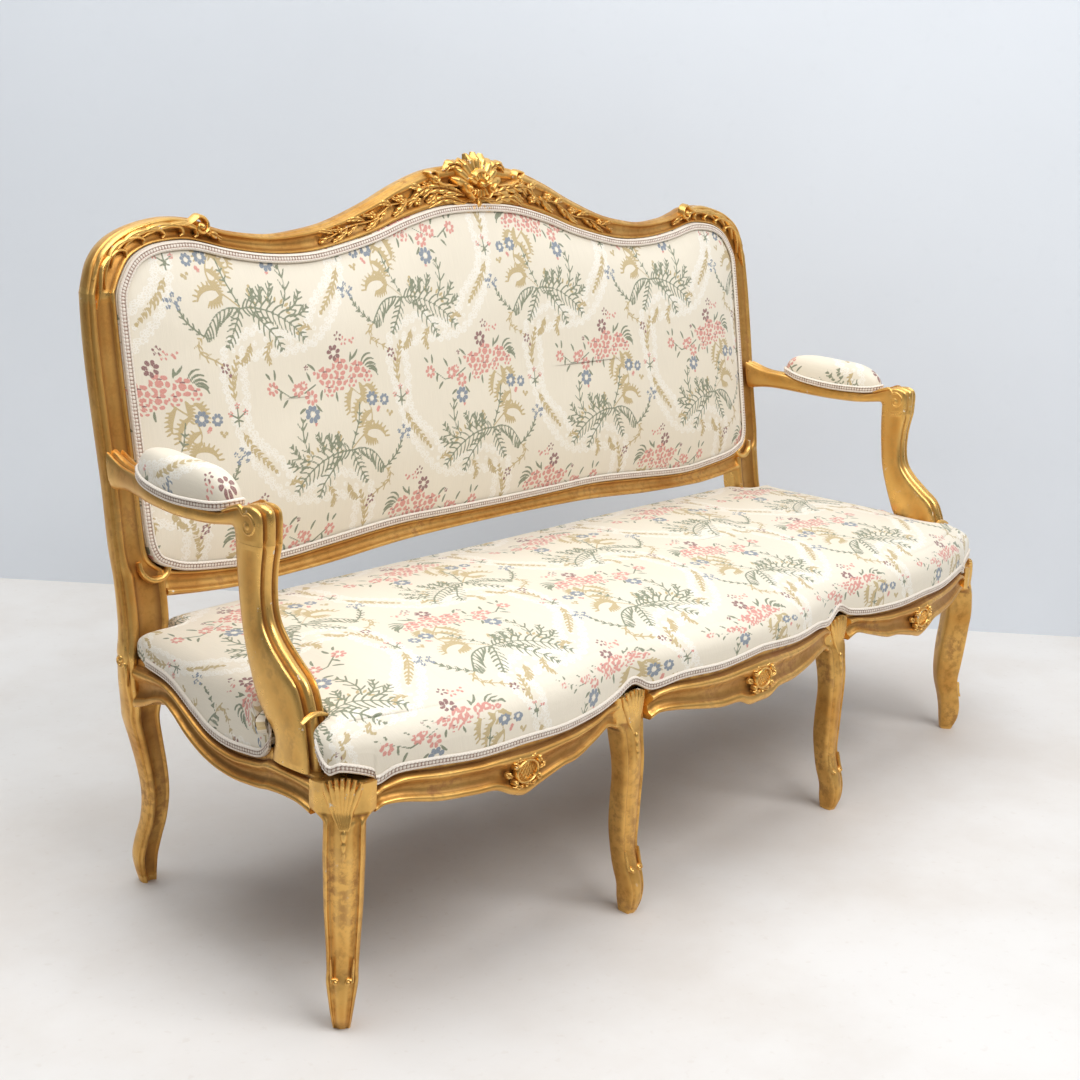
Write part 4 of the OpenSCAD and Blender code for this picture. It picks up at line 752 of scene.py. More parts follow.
@dataclass
class ThreadFields:
    """One repeat of the brocade's flowers, as the distance in millimetres inside each thread's shapes.

    The same spray repeats across the cloth, and turned over and dropped by half the height in between.

    Attributes:
        width: width of the repeat.
        height: height of the repeat.
        turn: place across at which the dropped spray is turned over.
    """

    width: int = 340
    height: int = 480
    turn: float = 150.0
    low: tuple[int, int] = (-290, -290)
    size: tuple[int, int] = (600, 440)
    outside: float = -3.0
    finest: float = 1.35

    def __post_init__(self) -> None:
        """Draws the spray."""
        self.canvas = np.full((len(Thread), self.size[1], self.size[0]), self.outside, np.float32)
        self.draw_bouquet()
        self.draw_stems()
        self.draw_ferns()
        self.draw_ribbon()
        self.tile = self.folded()

    def stroke(self, thread: Thread, line: Sequence[Sequence[float]] | Array, widths: Sequence[float],
               cut: bool = False) -> None:
        """Draws a line that swells as it goes.

        Args:
            thread: its thread.
            line: its points.
            widths: half its width, spread evenly along it.
            cut: whether it is left open in what is already drawn.
        """
        line = np.array(line, float)
        half = np.maximum(
            np.interp(np.linspace(0, 1, len(line)), np.linspace(0, 1, len(widths)), widths), self.finest)
        layer = self.canvas[thread.value]
        for a, b, wa, wb in zip(line[:-1], line[1:], half[:-1], half[1:]):
            lo = np.floor(np.minimum(a, b) - max(wa, wb) - 3 - np.array(self.low)).astype(int)
            hi = np.ceil(np.maximum(a, b) + max(wa, wb) + 4 - np.array(self.low)).astype(int)
            lo, hi = np.maximum(lo, 0), np.minimum(hi, self.size)
            if (hi <= lo).any():
                continue
            x = np.arange(lo[0], hi[0])[None, :] + self.low[0] - a[0]
            y = np.arange(lo[1], hi[1])[:, None] + self.low[1] - a[1]
            d = b - a
            t = np.clip((x * d[0] + y * d[1]) / max(d @ d, 1e-6), 0, 1)
            reach = wa + (wb - wa) * t - np.hypot(x - t * d[0], y - t * d[1])
            part = layer[lo[1]:hi[1], lo[0]:hi[0]]
            (np.minimum if cut else np.maximum)(part, -reach if cut else reach, out=part)

    @staticmethod
    def curled(at: Sequence[float], angle: float, length: float, bend: float, steps: int) -> Array:
        """A line of equal steps from a place at an angle in degrees, which bends as it goes."""
        turns = np.radians(angle + bend * np.linspace(0, 1, steps))
        run = np.cumsum(np.stack([np.cos(turns), np.sin(turns)], 1), 0)
        return np.array(at, float) + np.concatenate([[[0, 0]], run]) * length / steps

    def petal(self, thread: Thread, at: Sequence[float], angle: float, length: float, width: float,
              bend: float = 0) -> None:
        """Draws a leaf or petal from its foot, half as wide as its width says to each side."""
        self.stroke(thread, self.curled(at, angle, length, bend, 4), (0.5, width, width * 0.9, 0.4))

    def dot(self, thread: Thread, at: Sequence[float], r: float) -> None:
        """Draws a round dot."""
        self.stroke(thread, [np.array(at, float), np.array(at, float) + (0.1, 0)], (r,))

    def florets(self, thread: Thread, petals: int, eye: Thread | None,
                *flowers: tuple[float, float, float]) -> None:
        """Draws small open flowers, each with its petals around an eye."""
        for x, y, r in flowers:
            at = np.array((x, y), float)
            for k in range(petals):
                way = toward(2 * math.pi * k / petals + 0.3)
                self.stroke(thread, [at + way * r * 0.5, at + way * r * 0.8], (r * 0.17, r * 0.27))
            if eye:
                self.dot(eye, at, r * 0.2)

    def rose(self, x: float, y: float, r: float) -> None:
        """Draws a full rose of curled petals in two rings, parted by open lines."""
        def around(a: float, *places: tuple[float, float]) -> list[Array]:
            """Points about the middle at an angle, from shares of the radius and turns."""
            return [(x, y) + r * out * toward(a + turn) * (1, 0.85) for out, turn in places]
        for ring, n, w in ((0.74, 7, 0.29), (0.3, 3, 0.26)):
            for k in range(n):
                arc = around(2 * math.pi * k / n + ring, (ring, -0.24), (ring, 0), (ring, 0.24))
                self.stroke(Thread.ROSE, arc, (r * w * 0.7, r * w, r * w * 0.7))
        for k in range(6):
            a = math.pi * k / 3 + 0.4
            arc = around(a, (0.5, -0.42), (0.5, 0), (0.5, 0.42))
            if k == 1:
                self.stroke(Thread.WINE, arc, (0.2, 0.4, 0.2))
            else:
                self.stroke(Thread.ROSE, arc, (1.2, 1.4, 1.2), cut=True)
            self.stroke(Thread.ROSE, around(a, (0.55, 0), (1.0, 0)), (1.1, 1.5), cut=True)

    def frond(self, thread: Thread, line: Sequence[Sequence[float]], n: int, length: float, width: float,
              lean: float = 55, sides: tuple[int, ...] = (1, -1), rib: float = 0.7, bend: float = 25) -> None:
        """Draws leaflets along a curved rib.

        Args:
            thread: its thread.
            line: points that the rib runs through.
            n: leaflets on a side.
            length: length of the longest leaflet.
            width: half the width of a leaflet.
            lean: angle of the leaflets from the rib.
            sides: sides of the rib that have leaflets.
            rib: half the width of the rib.
            bend: how far the leaflets curl.
        """
        rib_line = rounded(line, 10, closed=False)
        self.stroke(thread, rib_line, (rib, rib * 0.7))
        way = line_frames(rib_line)
        for k in range(n):
            t = (k + 0.7) / n
            i = min(int(t * (len(rib_line) - 1)), len(rib_line) - 1)
            angle = math.degrees(math.atan2(way[i, 1], way[i, 0]))
            size = length * (0.45 + 0.75 * math.sin(math.pi * min(1, t * 0.9 + 0.12)))
            for side in sides:
                self.petal(thread, rib_line[i], angle + side * lean, size, width, -side * bend)

    def draw_bouquet(self) -> None:
        """Draws the roses with their small flowers and leaves."""
        for x, y, r in ((-40, -2, 17), (-8, 11, 17), (-12, -15, 15), (28, 4, 17), (-34, -26, 12), (14, -14, 12),
                        (48, -8, 12)):
            self.rose(x, y, r)
        self.florets(Thread.ROSE, 7, Thread.LACE, (-96, -20, 11), (-72, -34, 12), (-146, -14, 11), (-84, -14, 8))
        self.florets(Thread.WINE, 7, Thread.LACE, (-18, 34, 13))
        self.florets(Thread.WINE, 5, None, (-6, 60, 8), (-75, 14, 5))
        self.florets(Thread.ROSE, 5, None, (4, 52, 8), (18, 52, 2.5), (22, 48, 2), (26, 55, 2))
        self.florets(Thread.BLUE, 8, Thread.LACE, (-74, -60, 14), (54, -46, 12), (81, -50, 10))
        self.florets(Thread.ROSE, 5, None, *((x, y, 3.5) for x, y in ((-70, -76), (67, -62), (64, -66), (-60, 4))))
        self.florets(Thread.GOLD, 5, None,
                     *((x, y, 3) for x, y in ((86, -70), (90, -76), (95, -72), (-26, -94), (-22, -100), (-30, -101),
                                              (-24, -107))))
        for x, y, angle, size in (
                (18, 22, 35, 16), (14, 18, 70, 12), (-58, 8, 130, 14), (-70, -8, 100, 12), (-64, -46, -60, 12),
                (-86, -50, 200, 11), (-48, -24, 240, 13), (-20, -30, 265, 12), (-104, -8, 110, 13),
                (-118, -34, 215, 12), (-140, 0, 80, 12), (-150, 2, 120, 9), (-130, -20, 250, 10)):
            self.petal(Thread.FERN, (x, y), angle, size * 1.25, 2.6, 20)
        for k in range(5):
            self.petal(Thread.FERN, (38 + 4 * k, 15 - 3 * k), 62 - 16 * k, 28 - k, 2.2, -62)
        for line in (((-146, -8), (-112, -30)), ((-112, -30), (-96, -28)), ((-60, -14), (-84, -26))):
            self.stroke(Thread.FERN, line, (0.8, 0.8))

    def draw_stems(self) -> None:
        """Draws the curved golden stem with its plumes, and the green shoot beside it."""
        stem = rounded([(8, -22), (22, -32), (42, -48), (51, -70), (42, -93), (18, -110), (0, -124)], 8,
                       closed=False)
        self.stroke(Thread.GOLD, stem, (1.0, 1.5, 1.2))
        for x, y, angle, length, bend in (
                (14, -26, -130, 40, 50), (36, -42, -150, 44, 58), (50, -66, -165, 36, 60), (50, -82, -150, 26, 50),
                (44, -22, -20, 34, -80), (30, -18, -60, 30, -50), (40, -96, 25, 46, -95), (30, -104, -50, 28, 60)):
            rib, sign = self.curled((x, y), angle, length, bend, 7), 1 if bend > 0 else -1
            self.stroke(Thread.GOLD, rib, (1.6, 4.4, 4.6, 3.2, 1.0))
            for before, at in zip(rib[1:], rib[2:]):
                way = at - before
                side = np.array((-way[1], way[0])) / np.hypot(*way) * sign
                back = math.degrees(math.atan2(-side[1], -side[0])) + 20 * sign
                self.petal(Thread.GOLD, at - side * 1.5, back, 8.5, 2.0)
                self.dot(Thread.LACE, at + side * 1.2, 1.1)
        self.frond(Thread.FERN, [(24, -62), (20, -80), (10, -102), (0, -122)], 4, 8, 1.4, 140)
        self.petal(Thread.FERN, (24, -62), 80, 12, 1.8)

    def draw_ferns(self) -> None:
        """Draws the fern spray under the bouquet, its tendril and the blue sprig at its end."""
        foot = (0, -126)
        for line, n, length, sides in (
                ([foot, (22, -124), (46, -132), (64, -150), (74, -164)], 11, 24, (-1,)),
                ([foot, (10, -146), (22, -166), (34, -184)], 7, 13, (1, -1)),
                ([foot, (-26, -126), (-62, -136), (-96, -156), (-118, -180)], 13, 21, (1, -1)),
                ([(-22, -130), (-40, -150), (-62, -174), (-72, -196)], 7, 15, (1, -1))):
            self.frond(Thread.FERN, line, n, length, 1.7, 62, sides, 0.9)
            self.stroke(Thread.LACE, rounded(line, 8, closed=False)[4:-6], (0.5, 0.9, 0.5))
        for line, length in (
                ([(-84, -130), (-96, -108), (-98, -84), (-94, -66)], 15), ([(-60, -126), (-62, -108), (-70, -92)],
                                                                           12.5),
                ([(-92, -136), (-112, -124), (-124, -106)], 12.5), ([(-44, -124), (-42, -110), (-48, -96)], 11.25),
                ([(-96, -144), (-118, -140), (-134, -130)], 11.25), ([(-30, -122), (-26, -110), (-30, -98)], 10)):
            self.frond(Thread.FERN, line, 4, length, 0.85, 42, (1, -1), 0.6, 10)
        for k in range(9):
            angle = 200 - 22 * k
            at = (-58, -132) + toward(math.radians(angle)) * (34, 12)
            self.petal(Thread.GOLD, at, angle, 9, 2.6)
            self.dot(Thread.LACE, at, 1.2)
        self.frond(Thread.FERN, [(74, -164), (90, -152), (104, -138), (112, -122)], 5, 8, 1.4, 50, rib=0.8)
        sprig = ((0, 0), (9, 5), (-8, 6), (3, 13), (12, -5), (-4, -7), (16, 6))
        self.florets(Thread.BLUE, 5, None, *((116 + x, -112 + y, 4.6) for x, y in sprig))
        self.frond(Thread.GOLD, [(74, -164), (86, -174), (82, -190), (62, -200), (46, -210)], 6, 9, 1.4, 60,
                   rib=0.8)
        self.florets(Thread.WINE, 6, Thread.LACE, (44, -214, 8.5))
        self.florets(Thread.WINE, 5, None, (36, -226, 3))

    def draw_ribbon(self) -> None:
        """Draws the meandering lace ribbon with the sprays that lie along it."""
        middle = rounded([(125, 52), (120, 20), (124, -20), (128, -66), (146, -104), (178, -138), (200, -164),
                          (228, -182), (268, -184), (300, -176), (330, -182), (365, -190)], 12, closed=False)
        way = line_frames(middle)
        run = run_along(middle)
        reach = (15 + 4 * np.sin(run / 26) + 4 * np.sin(run * 2 * math.pi / 17))[:, None]
        sprays = (([(118, -24), (116, -2), (122, 20), (132, 44)], 7, 11, 2.0, 48, 0.8),
                  ([(126, -74), (140, -98), (160, -120), (184, -144)], 9, 10, 2.0, 48, 0.8),
                  ([(206, -166), (222, -160), (236, -172)], 5, 8, 1.8, 50, 0.7),
                  ([(286, -178), (300, -196), (296, -214)], 6, 9, 1.8, 50, 0.7),
                  ([(330, -180), (338, -198), (352, -210)], 6, 9, 1.8, 50, 0.7))
        for move in ((-self.width, 0), (0, 0)):
            for sign in (1, -1):
                edge = middle + way[:, ::-1] * (-sign, sign) * reach
                self.stroke(Thread.LACE, edge + move, (5.5, 5.5))
            for at in middle[::9]:
                self.dot(Thread.LACE, at + move, 4.5)
            for line, n, length, width, lean, rib in sprays:
                self.frond(Thread.GOLD, np.array(line) + move, n, length, width, lean, rib=rib)
            foot = np.array((120, -52)) + move
            for tip in ((0, 20), (-14, 8), (15, 9)):
                self.stroke(Thread.FERN, [foot, foot + tip], (0.7, 0.6))
                self.florets(Thread.ROSE, 5, Thread.LACE, (*(foot + tip), 5.5))
            for drop, angle, length in ((2, 200, 9), (2, -20, 9), (4, 270, 8)):
                self.petal(Thread.FERN, foot - (0, drop), angle, length, 1.6)

    def folded(self) -> Array:
        """Lays the spray and its turned copy over one repeat."""
        tile = np.full((len(Thread), self.height, self.width), self.outside, np.float32)
        y, x = np.mgrid[0:self.size[1], 0:self.size[0]]
        x, y = x + self.low[0], y + self.low[1]
        for px, py in ((x, y), ((self.turn - x).astype(int), y + self.height // 2)):
            for k in range(len(Thread)):
                np.maximum.at(tile[k], (py % self.height, px % self.width), self.canvas[k])
        return tile

    def at(self, u: Array, v: Array) -> dict[str, Array]:
        """Reads the fields."""
        iu, iv = np.floor(u).astype(int), np.floor(v).astype(int)
        fu, fv = u - iu, v - iv
        out = []
        for k in range(len(Thread)):
            f = self.tile[k]
            pick = [f[(iv + b) % self.height, (iu + a) % self.width] for b in (0, 1) for a in (0, 1)]
            out.append(mix(mix(pick[0], pick[1], fu), mix(pick[2], pick[3], fu), fv))
        stack = np.stack(out, -1)
        return {"threads_a": stack[..., :3], "threads_b": stack[..., 3:]}


def half_section(points: Sequence[Sequence[float]]) -> Array:
    """Both halves of a section from its right half."""
    half = np.array(points, float)
    return np.concatenate([half, half[::-1] * (-1, 1)])


def filled_in(ring: Array, per: int) -> Array:
    """A closed ring with straight steps between its points."""
    after = np.roll(ring, -1, 0)
    u = (np.arange(per) / per)[None, :, None]
    return (ring[:, None] * (1 - u) + after[:, None] * u).reshape(-1, ring.shape[1])


def turned(points: Array, at: tuple[float, float], angle: float, z: float) -> Array:
    """Points of a plan section [side, out] about a place, where out points along an angle in degrees."""
    c, s = math.cos(math.radians(angle)), math.sin(math.radians(angle))
    return np.stack([at[0] + points[:, 1] * c - points[:, 0] * s, at[1] + points[:, 1] * s + points[:, 0] * c,
                     np.full(len(points), z)], 1)


@dataclass(frozen=True)
class Face:
    """A face of the frame that carving stands on.

    Attributes:
        at: gives places in space from places across, up and behind the face.
        lean: how far the lobes of a leaf point along it, as a share of a lobe.
        groove: depth of the grooves between the lobes, as a share of the rise.
    """

    at: Callable[[Array, Array, Array], Array]
    lean: float = 0.5
    groove: float = 0.35

    def carve(self, line: Sequence[Sequence[float]] | Array, widths: Sequence[float], rise: float, lobes: int = 0,
              sunk: float = 2.0, step: float = 1.5) -> Skin:
        """Carves a leaf or a rib along a line on the face.

        Args:
            line: points of its middle, across and up.
            widths: half its width, spread evenly along it.
            rise: how far it stands out.
            lobes: how many lobes each edge has; none for a plain rib.
            sunk: how far its back lies inside the face.
            step: distance between its rings.

        Returns:
            Its skin.
        """
        mid = spaced(rounded(line, 8, closed=False), step)
        n = len(mid)
        way = line_frames(mid)
        side = beside(way)
        s = np.linspace(0, 1, n)
        half = np.interp(s, np.linspace(0, 1, len(widths)), widths)
        across = 11 if lobes else 7
        t = np.linspace(-1, 1, across)
        length = np.linalg.norm(np.diff(mid, axis=0), axis=1).sum()
        shift = np.abs(t) * self.lean * (length / lobes) if lobes else 0 * t
        edge = np.abs(np.sin(math.pi * lobes * s[:, None])) ** 0.6 if lobes else 1
        spread = half[:, None] * (1 - 0.38 * (1 - edge) * np.abs(t))
        fall = np.minimum(1, np.minimum(s, 1 - s) * n / 3)[:, None]
        place = mid[:, None] + side[:, None] * (t * spread)[..., None] + way[:, None] * (shift * fall)[..., None]
        round_t = np.sqrt(np.maximum(0, 1 - t * t))
        grow = np.minimum(1, half / max(max(widths), 1e-6) * 1.3)[:, None]
        lift = rise * grow * round_t ** (0.6 if lobes else 1.0)
        if lobes:
            lift = lift * (1 - self.groove * (1 - edge)) * (1 - 0.3 * np.exp(-(t / 0.16) ** 2))
        front = self.at(place[..., 0], place[..., 1], -lift)
        flat = place[:, [-1, across // 2, 0]]
        back = self.at(flat[..., 0], flat[..., 1], np.full(flat.shape[:2], sunk))
        return Skin(np.concatenate([front, back], 1))

    def scroll(self, at: tuple[float, float], r0: float, r1: float, start: float, turn: float, width: float,
               rise: float, tail: Sequence[Sequence[float]] = ()) -> list[Skin]:
        """Carves a rib that curls up into a round eye."""
        a = np.radians(start + turn * np.linspace(0, 1, 15))
        r = np.linspace(r0, r1, 15)
        curl = np.array(at) + np.stack([r * np.cos(a), r * np.sin(a)], 1)
        line = np.concatenate([np.array(tail, float).reshape(-1, 2), curl])
        return [self.carve(line, (width * 0.5, width, width, width * 0.9, width * 0.7), rise),
                self.boss(at, r1 * 1.3 + width * 0.5, rise * 1.25)]

    def boss(self, at: Sequence[float], r: float, rise: float) -> Skin:
        """Carves a round button."""
        a = np.linspace(0, 2 * math.pi, 17)[:-1]
        rings = []
        for out, lift in ((1, -1.5), (1, 0.15), (0.92, 0.45), (0.72, 0.75), (0.42, 0.95), (0.05, 1.0)):
            x, z = at[0] + r * out * np.cos(a), at[1] + r * out * np.sin(a)
            rings.append(self.at(x, z, np.full(len(a), -lift * rise if lift > 0 else 1.5)))
        return Skin(np.array(rings))

    def flower(self, at: Sequence[float], r: float, rise: float, start: float) -> list[Skin]:
        """Carves an open flower of five petals, the first at an angle in degrees."""
        made = []
        for k in range(5):
            way = toward(math.radians(start + 72 * k))
            made.append(self.carve([np.array(at) + way * r * q for q in (0.15, 0.6, 1.0)],
                                   (r * 0.16, r * 0.42, r * 0.34, r * 0.06), rise, step=r / 7))
        return made + [self.boss(at, r * 0.26, rise * 1.25)]

    def fan(self, at: tuple[float, float], r: float, rise: float, start: float, end: float, flutes: int,
            stretch: float = 1.0) -> list[Skin]:
        """Carves flutes that spread from a point like a shell."""
        made = []
        for k in range(flutes):
            way = toward(math.radians(mix(start, end, k / (flutes - 1)))) * (r, r * stretch)
            w = abs(math.radians(end - start)) / (flutes - 1) * r * 0.56
            made.append(self.carve([np.array(at) + way * q for q in (0.08, 0.4, 0.75, 1.0)],
                                   (w * 0.12, w * 0.5, w * 0.85, w * 0.95, w * 0.3), rise))
        return made


BACK_FACE = Face(lambda x, z, d: np.stack([x, PLAN.lean(z) + d, z], -1))


@dataclass
class BackFrame:
    """The posts, the crest rail and the lower rail, all with one moulding.

    Attributes:
        finish: gilding of the frame.
        section: its moulding, as place across and depth.
        legs: the posts below the seat, as shares of the legs' height, of half the width, of the splay
            and of the depth.
        stiles: the posts above the seat in the same way, with shares of their width and of the ledge.
        crest: outer and inner edge of the crest rail, as shares of half the width and of the rise.
        lower: upper and lower edge of the lower rail, as shares of its reach and of its width.
        lower_reach: half the length of the lower rail.
        middle_leg_h: height of the rear middle legs.
    """

    finish: bpy.types.Material
    section: Array = field(
        default_factory=lambda: moulding((-14, 42), (-14, 14.7, 0), (-1.5, 14.7, 0), (0, 13.5, 0), (0, 5, 0),
                                         (7.5, 3, 3.2), (8.5, 5, 0), (35, 4, -4.2), (36, 2, 0), (46, 2.5, 3.0),
                                         (46.5, 5, 0), (50, 13, 2), (50, 17, 0), (35, 42, 3.5)))
    legs: Table = Table(
        ((0, .912, .941, .79, .5), (.06, .91, .947, .79, .62), (.13, .909, .952, .74, .73),
         (.22, .905, .949, .62, .75), (.31, .901, .944, .48, .75), (.43, .898, .943, .4, .81),
         (.55, .903, .952, .36, .87), (.7, .917, .97, .27, .98), (.82, .93, .988, .13, 1.1),
         (.9, .931, .996, 0, 1.14), (1, .931, 1.004, 0, 1.04), (1.13, .931, 1.006, 0, 1)))
    stiles: Table = Table(
        ((.033, 1.003, 1.5, .05), (.08, 1, 1.59, .05), (.218, 1, 1.59, .05), (.226, 1, 1.48, .1),
         (.241, 1, 1.24, .4), (.262, 1, 1.08, .8), (.3, 1.001, 1.03, 1), (.47, 1, 1, 1), (.7, 1.003, 1.02, 1),
         (.87, 1.003, 1.02, 1), (1, .998, .96, 1)))
    crest: Table = Table(
        ((0, .998, 0, .941, 0), (1, .977, .245, .924, .136), (2, .94, .41, .9, .272), (3, .885, .515, .858, .359),
         (4, .82, .57, .814, .386), (5, .762, .56, .776, .391), (6, .732, .515, .739, .364),
         (7, .676, .45, .68, .304), (8, .582, .408, .585, .25), (9, .505, .435, .49, .248),
         (10, .42, .505, .41, .299), (11, .315, .663, .309, .397), (12, .227, .826, .23, .505),
         (13, .142, .946, .133, .603), (14, .061, .99, .061, .636), (15, 0, 1, 0, .641)))
    lower: Table = Table(
        ((0, 0, -.9), (.2, .04, -.95), (.353, .07, -1.07), (.56, -.28, -1.43), (.68, -.5, -1.54),
         (.76, -.54, -1.59), (.82, -.43, -1.6), (.916, -.2, -1.45), (.97, .02, -1.32), (1, .2, -1.25)))
    lower_reach: float = 747.09
    middle_leg_h: float = 303.7

    def ring(self, inner: Array, outer: Array, back: float, depth: float, lip: float) -> Array:
        """One ring of the moulding."""
        across = outer - inner
        way = across / np.linalg.norm(across)
        x, d = self.section[:, 0], self.section[:, 1]
        q = inner + across * np.clip(x / 50, 0, 1)[:, None] + way * (np.minimum(x, 0) / 14 * lip)[:, None]
        return np.stack([q[:, 0], PLAN.lean(q[:, 1]) + back + d / 42 * depth, q[:, 1]], 1)

    def crest_edges(self, s: Array | float) -> tuple[Array, Array]:
        """Inner and outer edge of the crest rail at shares of its half, from its joint to the middle."""
        r = self.crest.at(np.asarray(s) * 15)
        top, rise = PLAN.post_top_h, PLAN.crest_rise
        return (np.stack([PLAN.back_half_w * r[:, 3], top + rise * r[:, 4]], 1),
                np.stack([PLAN.back_half_w * r[:, 1], top + rise * r[:, 2]], 1))

    def lower_edges(self, x: Array) -> tuple[Array, Array]:
        """Upper and lower edge of the lower rail at places across."""
        r = self.lower.at(np.abs(x) / self.lower_reach)
        return PLAN.lower_rail_h + PLAN.lower_rail_w * r[:, 1], PLAN.lower_rail_h + PLAN.lower_rail_w * r[:, 2]

    def build(self) -> None:
        """Builds the posts and rails."""
        rings = []
        for r in self.legs.at(np.linspace(0, PLAN.join_share, 60)):
            z = r[0] * PLAN.leg_h
            rings.append(self.ring(np.array((PLAN.back_half_w * r[1], z)), np.array((PLAN.back_half_w * r[2], z)),
                                   PLAN.rear_splay * r[3], PLAN.post_d * r[4], 0.7))
        for r in self.stiles.at(np.concatenate([np.linspace(.033, .3, 40), np.linspace(.32, 1, 50)])):
            z = mix(PLAN.leg_h * PLAN.join_share, PLAN.post_top_h, r[0])
            outer = PLAN.back_half_w * r[1]
            rings.append(self.ring(np.array((outer - r[2] * PLAN.post_w, z)), np.array((outer, z)), 0,
                                   mix(PLAN.post_d, PLAN.back_t, min(1, r[0] * 6)), r[3] * PLAN.lip_w))
        both_sides("rear_post", [Skin(np.array(rings))], self.finish, Slot.GILT)
        inner, outer = self.crest_edges(np.linspace(0, 1, 151))
        half = [self.ring(a, b, 0, PLAN.back_t, PLAN.lip_w) for a, b in zip(inner, outer)]
        whole = np.concatenate([np.array(half), np.array(half[-2::-1]) * (-1, 1, 1)])
        make_piece("crest_rail_shape", [Skin(whole)], self.finish, Slot.GILT, ["crest_rail"])
        xs = np.linspace(0, 746, 131)
        lips = np.where(xs < xs[-1], PLAN.lip_w, 1.4)
        half = [self.ring(np.array((x, a)), np.array((x, b)), 0, PLAN.back_t, lip) for x, a, b,
                lip in zip(xs, *self.lower_edges(xs), lips)]
        whole = np.concatenate([np.array(half[:0:-1]) * (-1, 1, 1), np.array(half)])
        make_piece("lower_back_rail_shape", [Skin(whole)], self.finish, Slot.GILT, ["lower_back_rail"])
        self.build_middle_legs()

    def build_middle_legs(self) -> None:
        """Builds the sabre legs under the rear rail."""
        rows = Table(((0, .5, .79, .5), (.07, .62, .8, .6), (.16, .72, .74, .68), (.24, .74, .64, .68),
                      (.36, .76, .51, .68), (.5, .8, .43, .7), (.66, .86, .36, .74), (.82, .94, .29, .76),
                      (.93, 1, .24, .76), (1, 1.05, .214, .75)))
        section = rounded([(.1, 0), (.9, 0), (1, .12), (1, .85), (.9, 1), (.1, 1), (0, .85), (0, .12)], 4)
        rings = [
            np.stack([PLAN.middle_leg_x + (section[:, 0] - .5) * r[1] * PLAN.middle_leg_w, PLAN.seat_depth
                      + PLAN.rear_splay * r[2] + PLAN.post_d * r[3] * section[:, 1],
                      np.full(len(section), r[0] * self.middle_leg_h)], 1) for r in rows.at(np.linspace(0, 1, 50))]
        both_sides("rear_leg_middle", [Skin(np.array(rings))], self.finish, Slot.GILT)


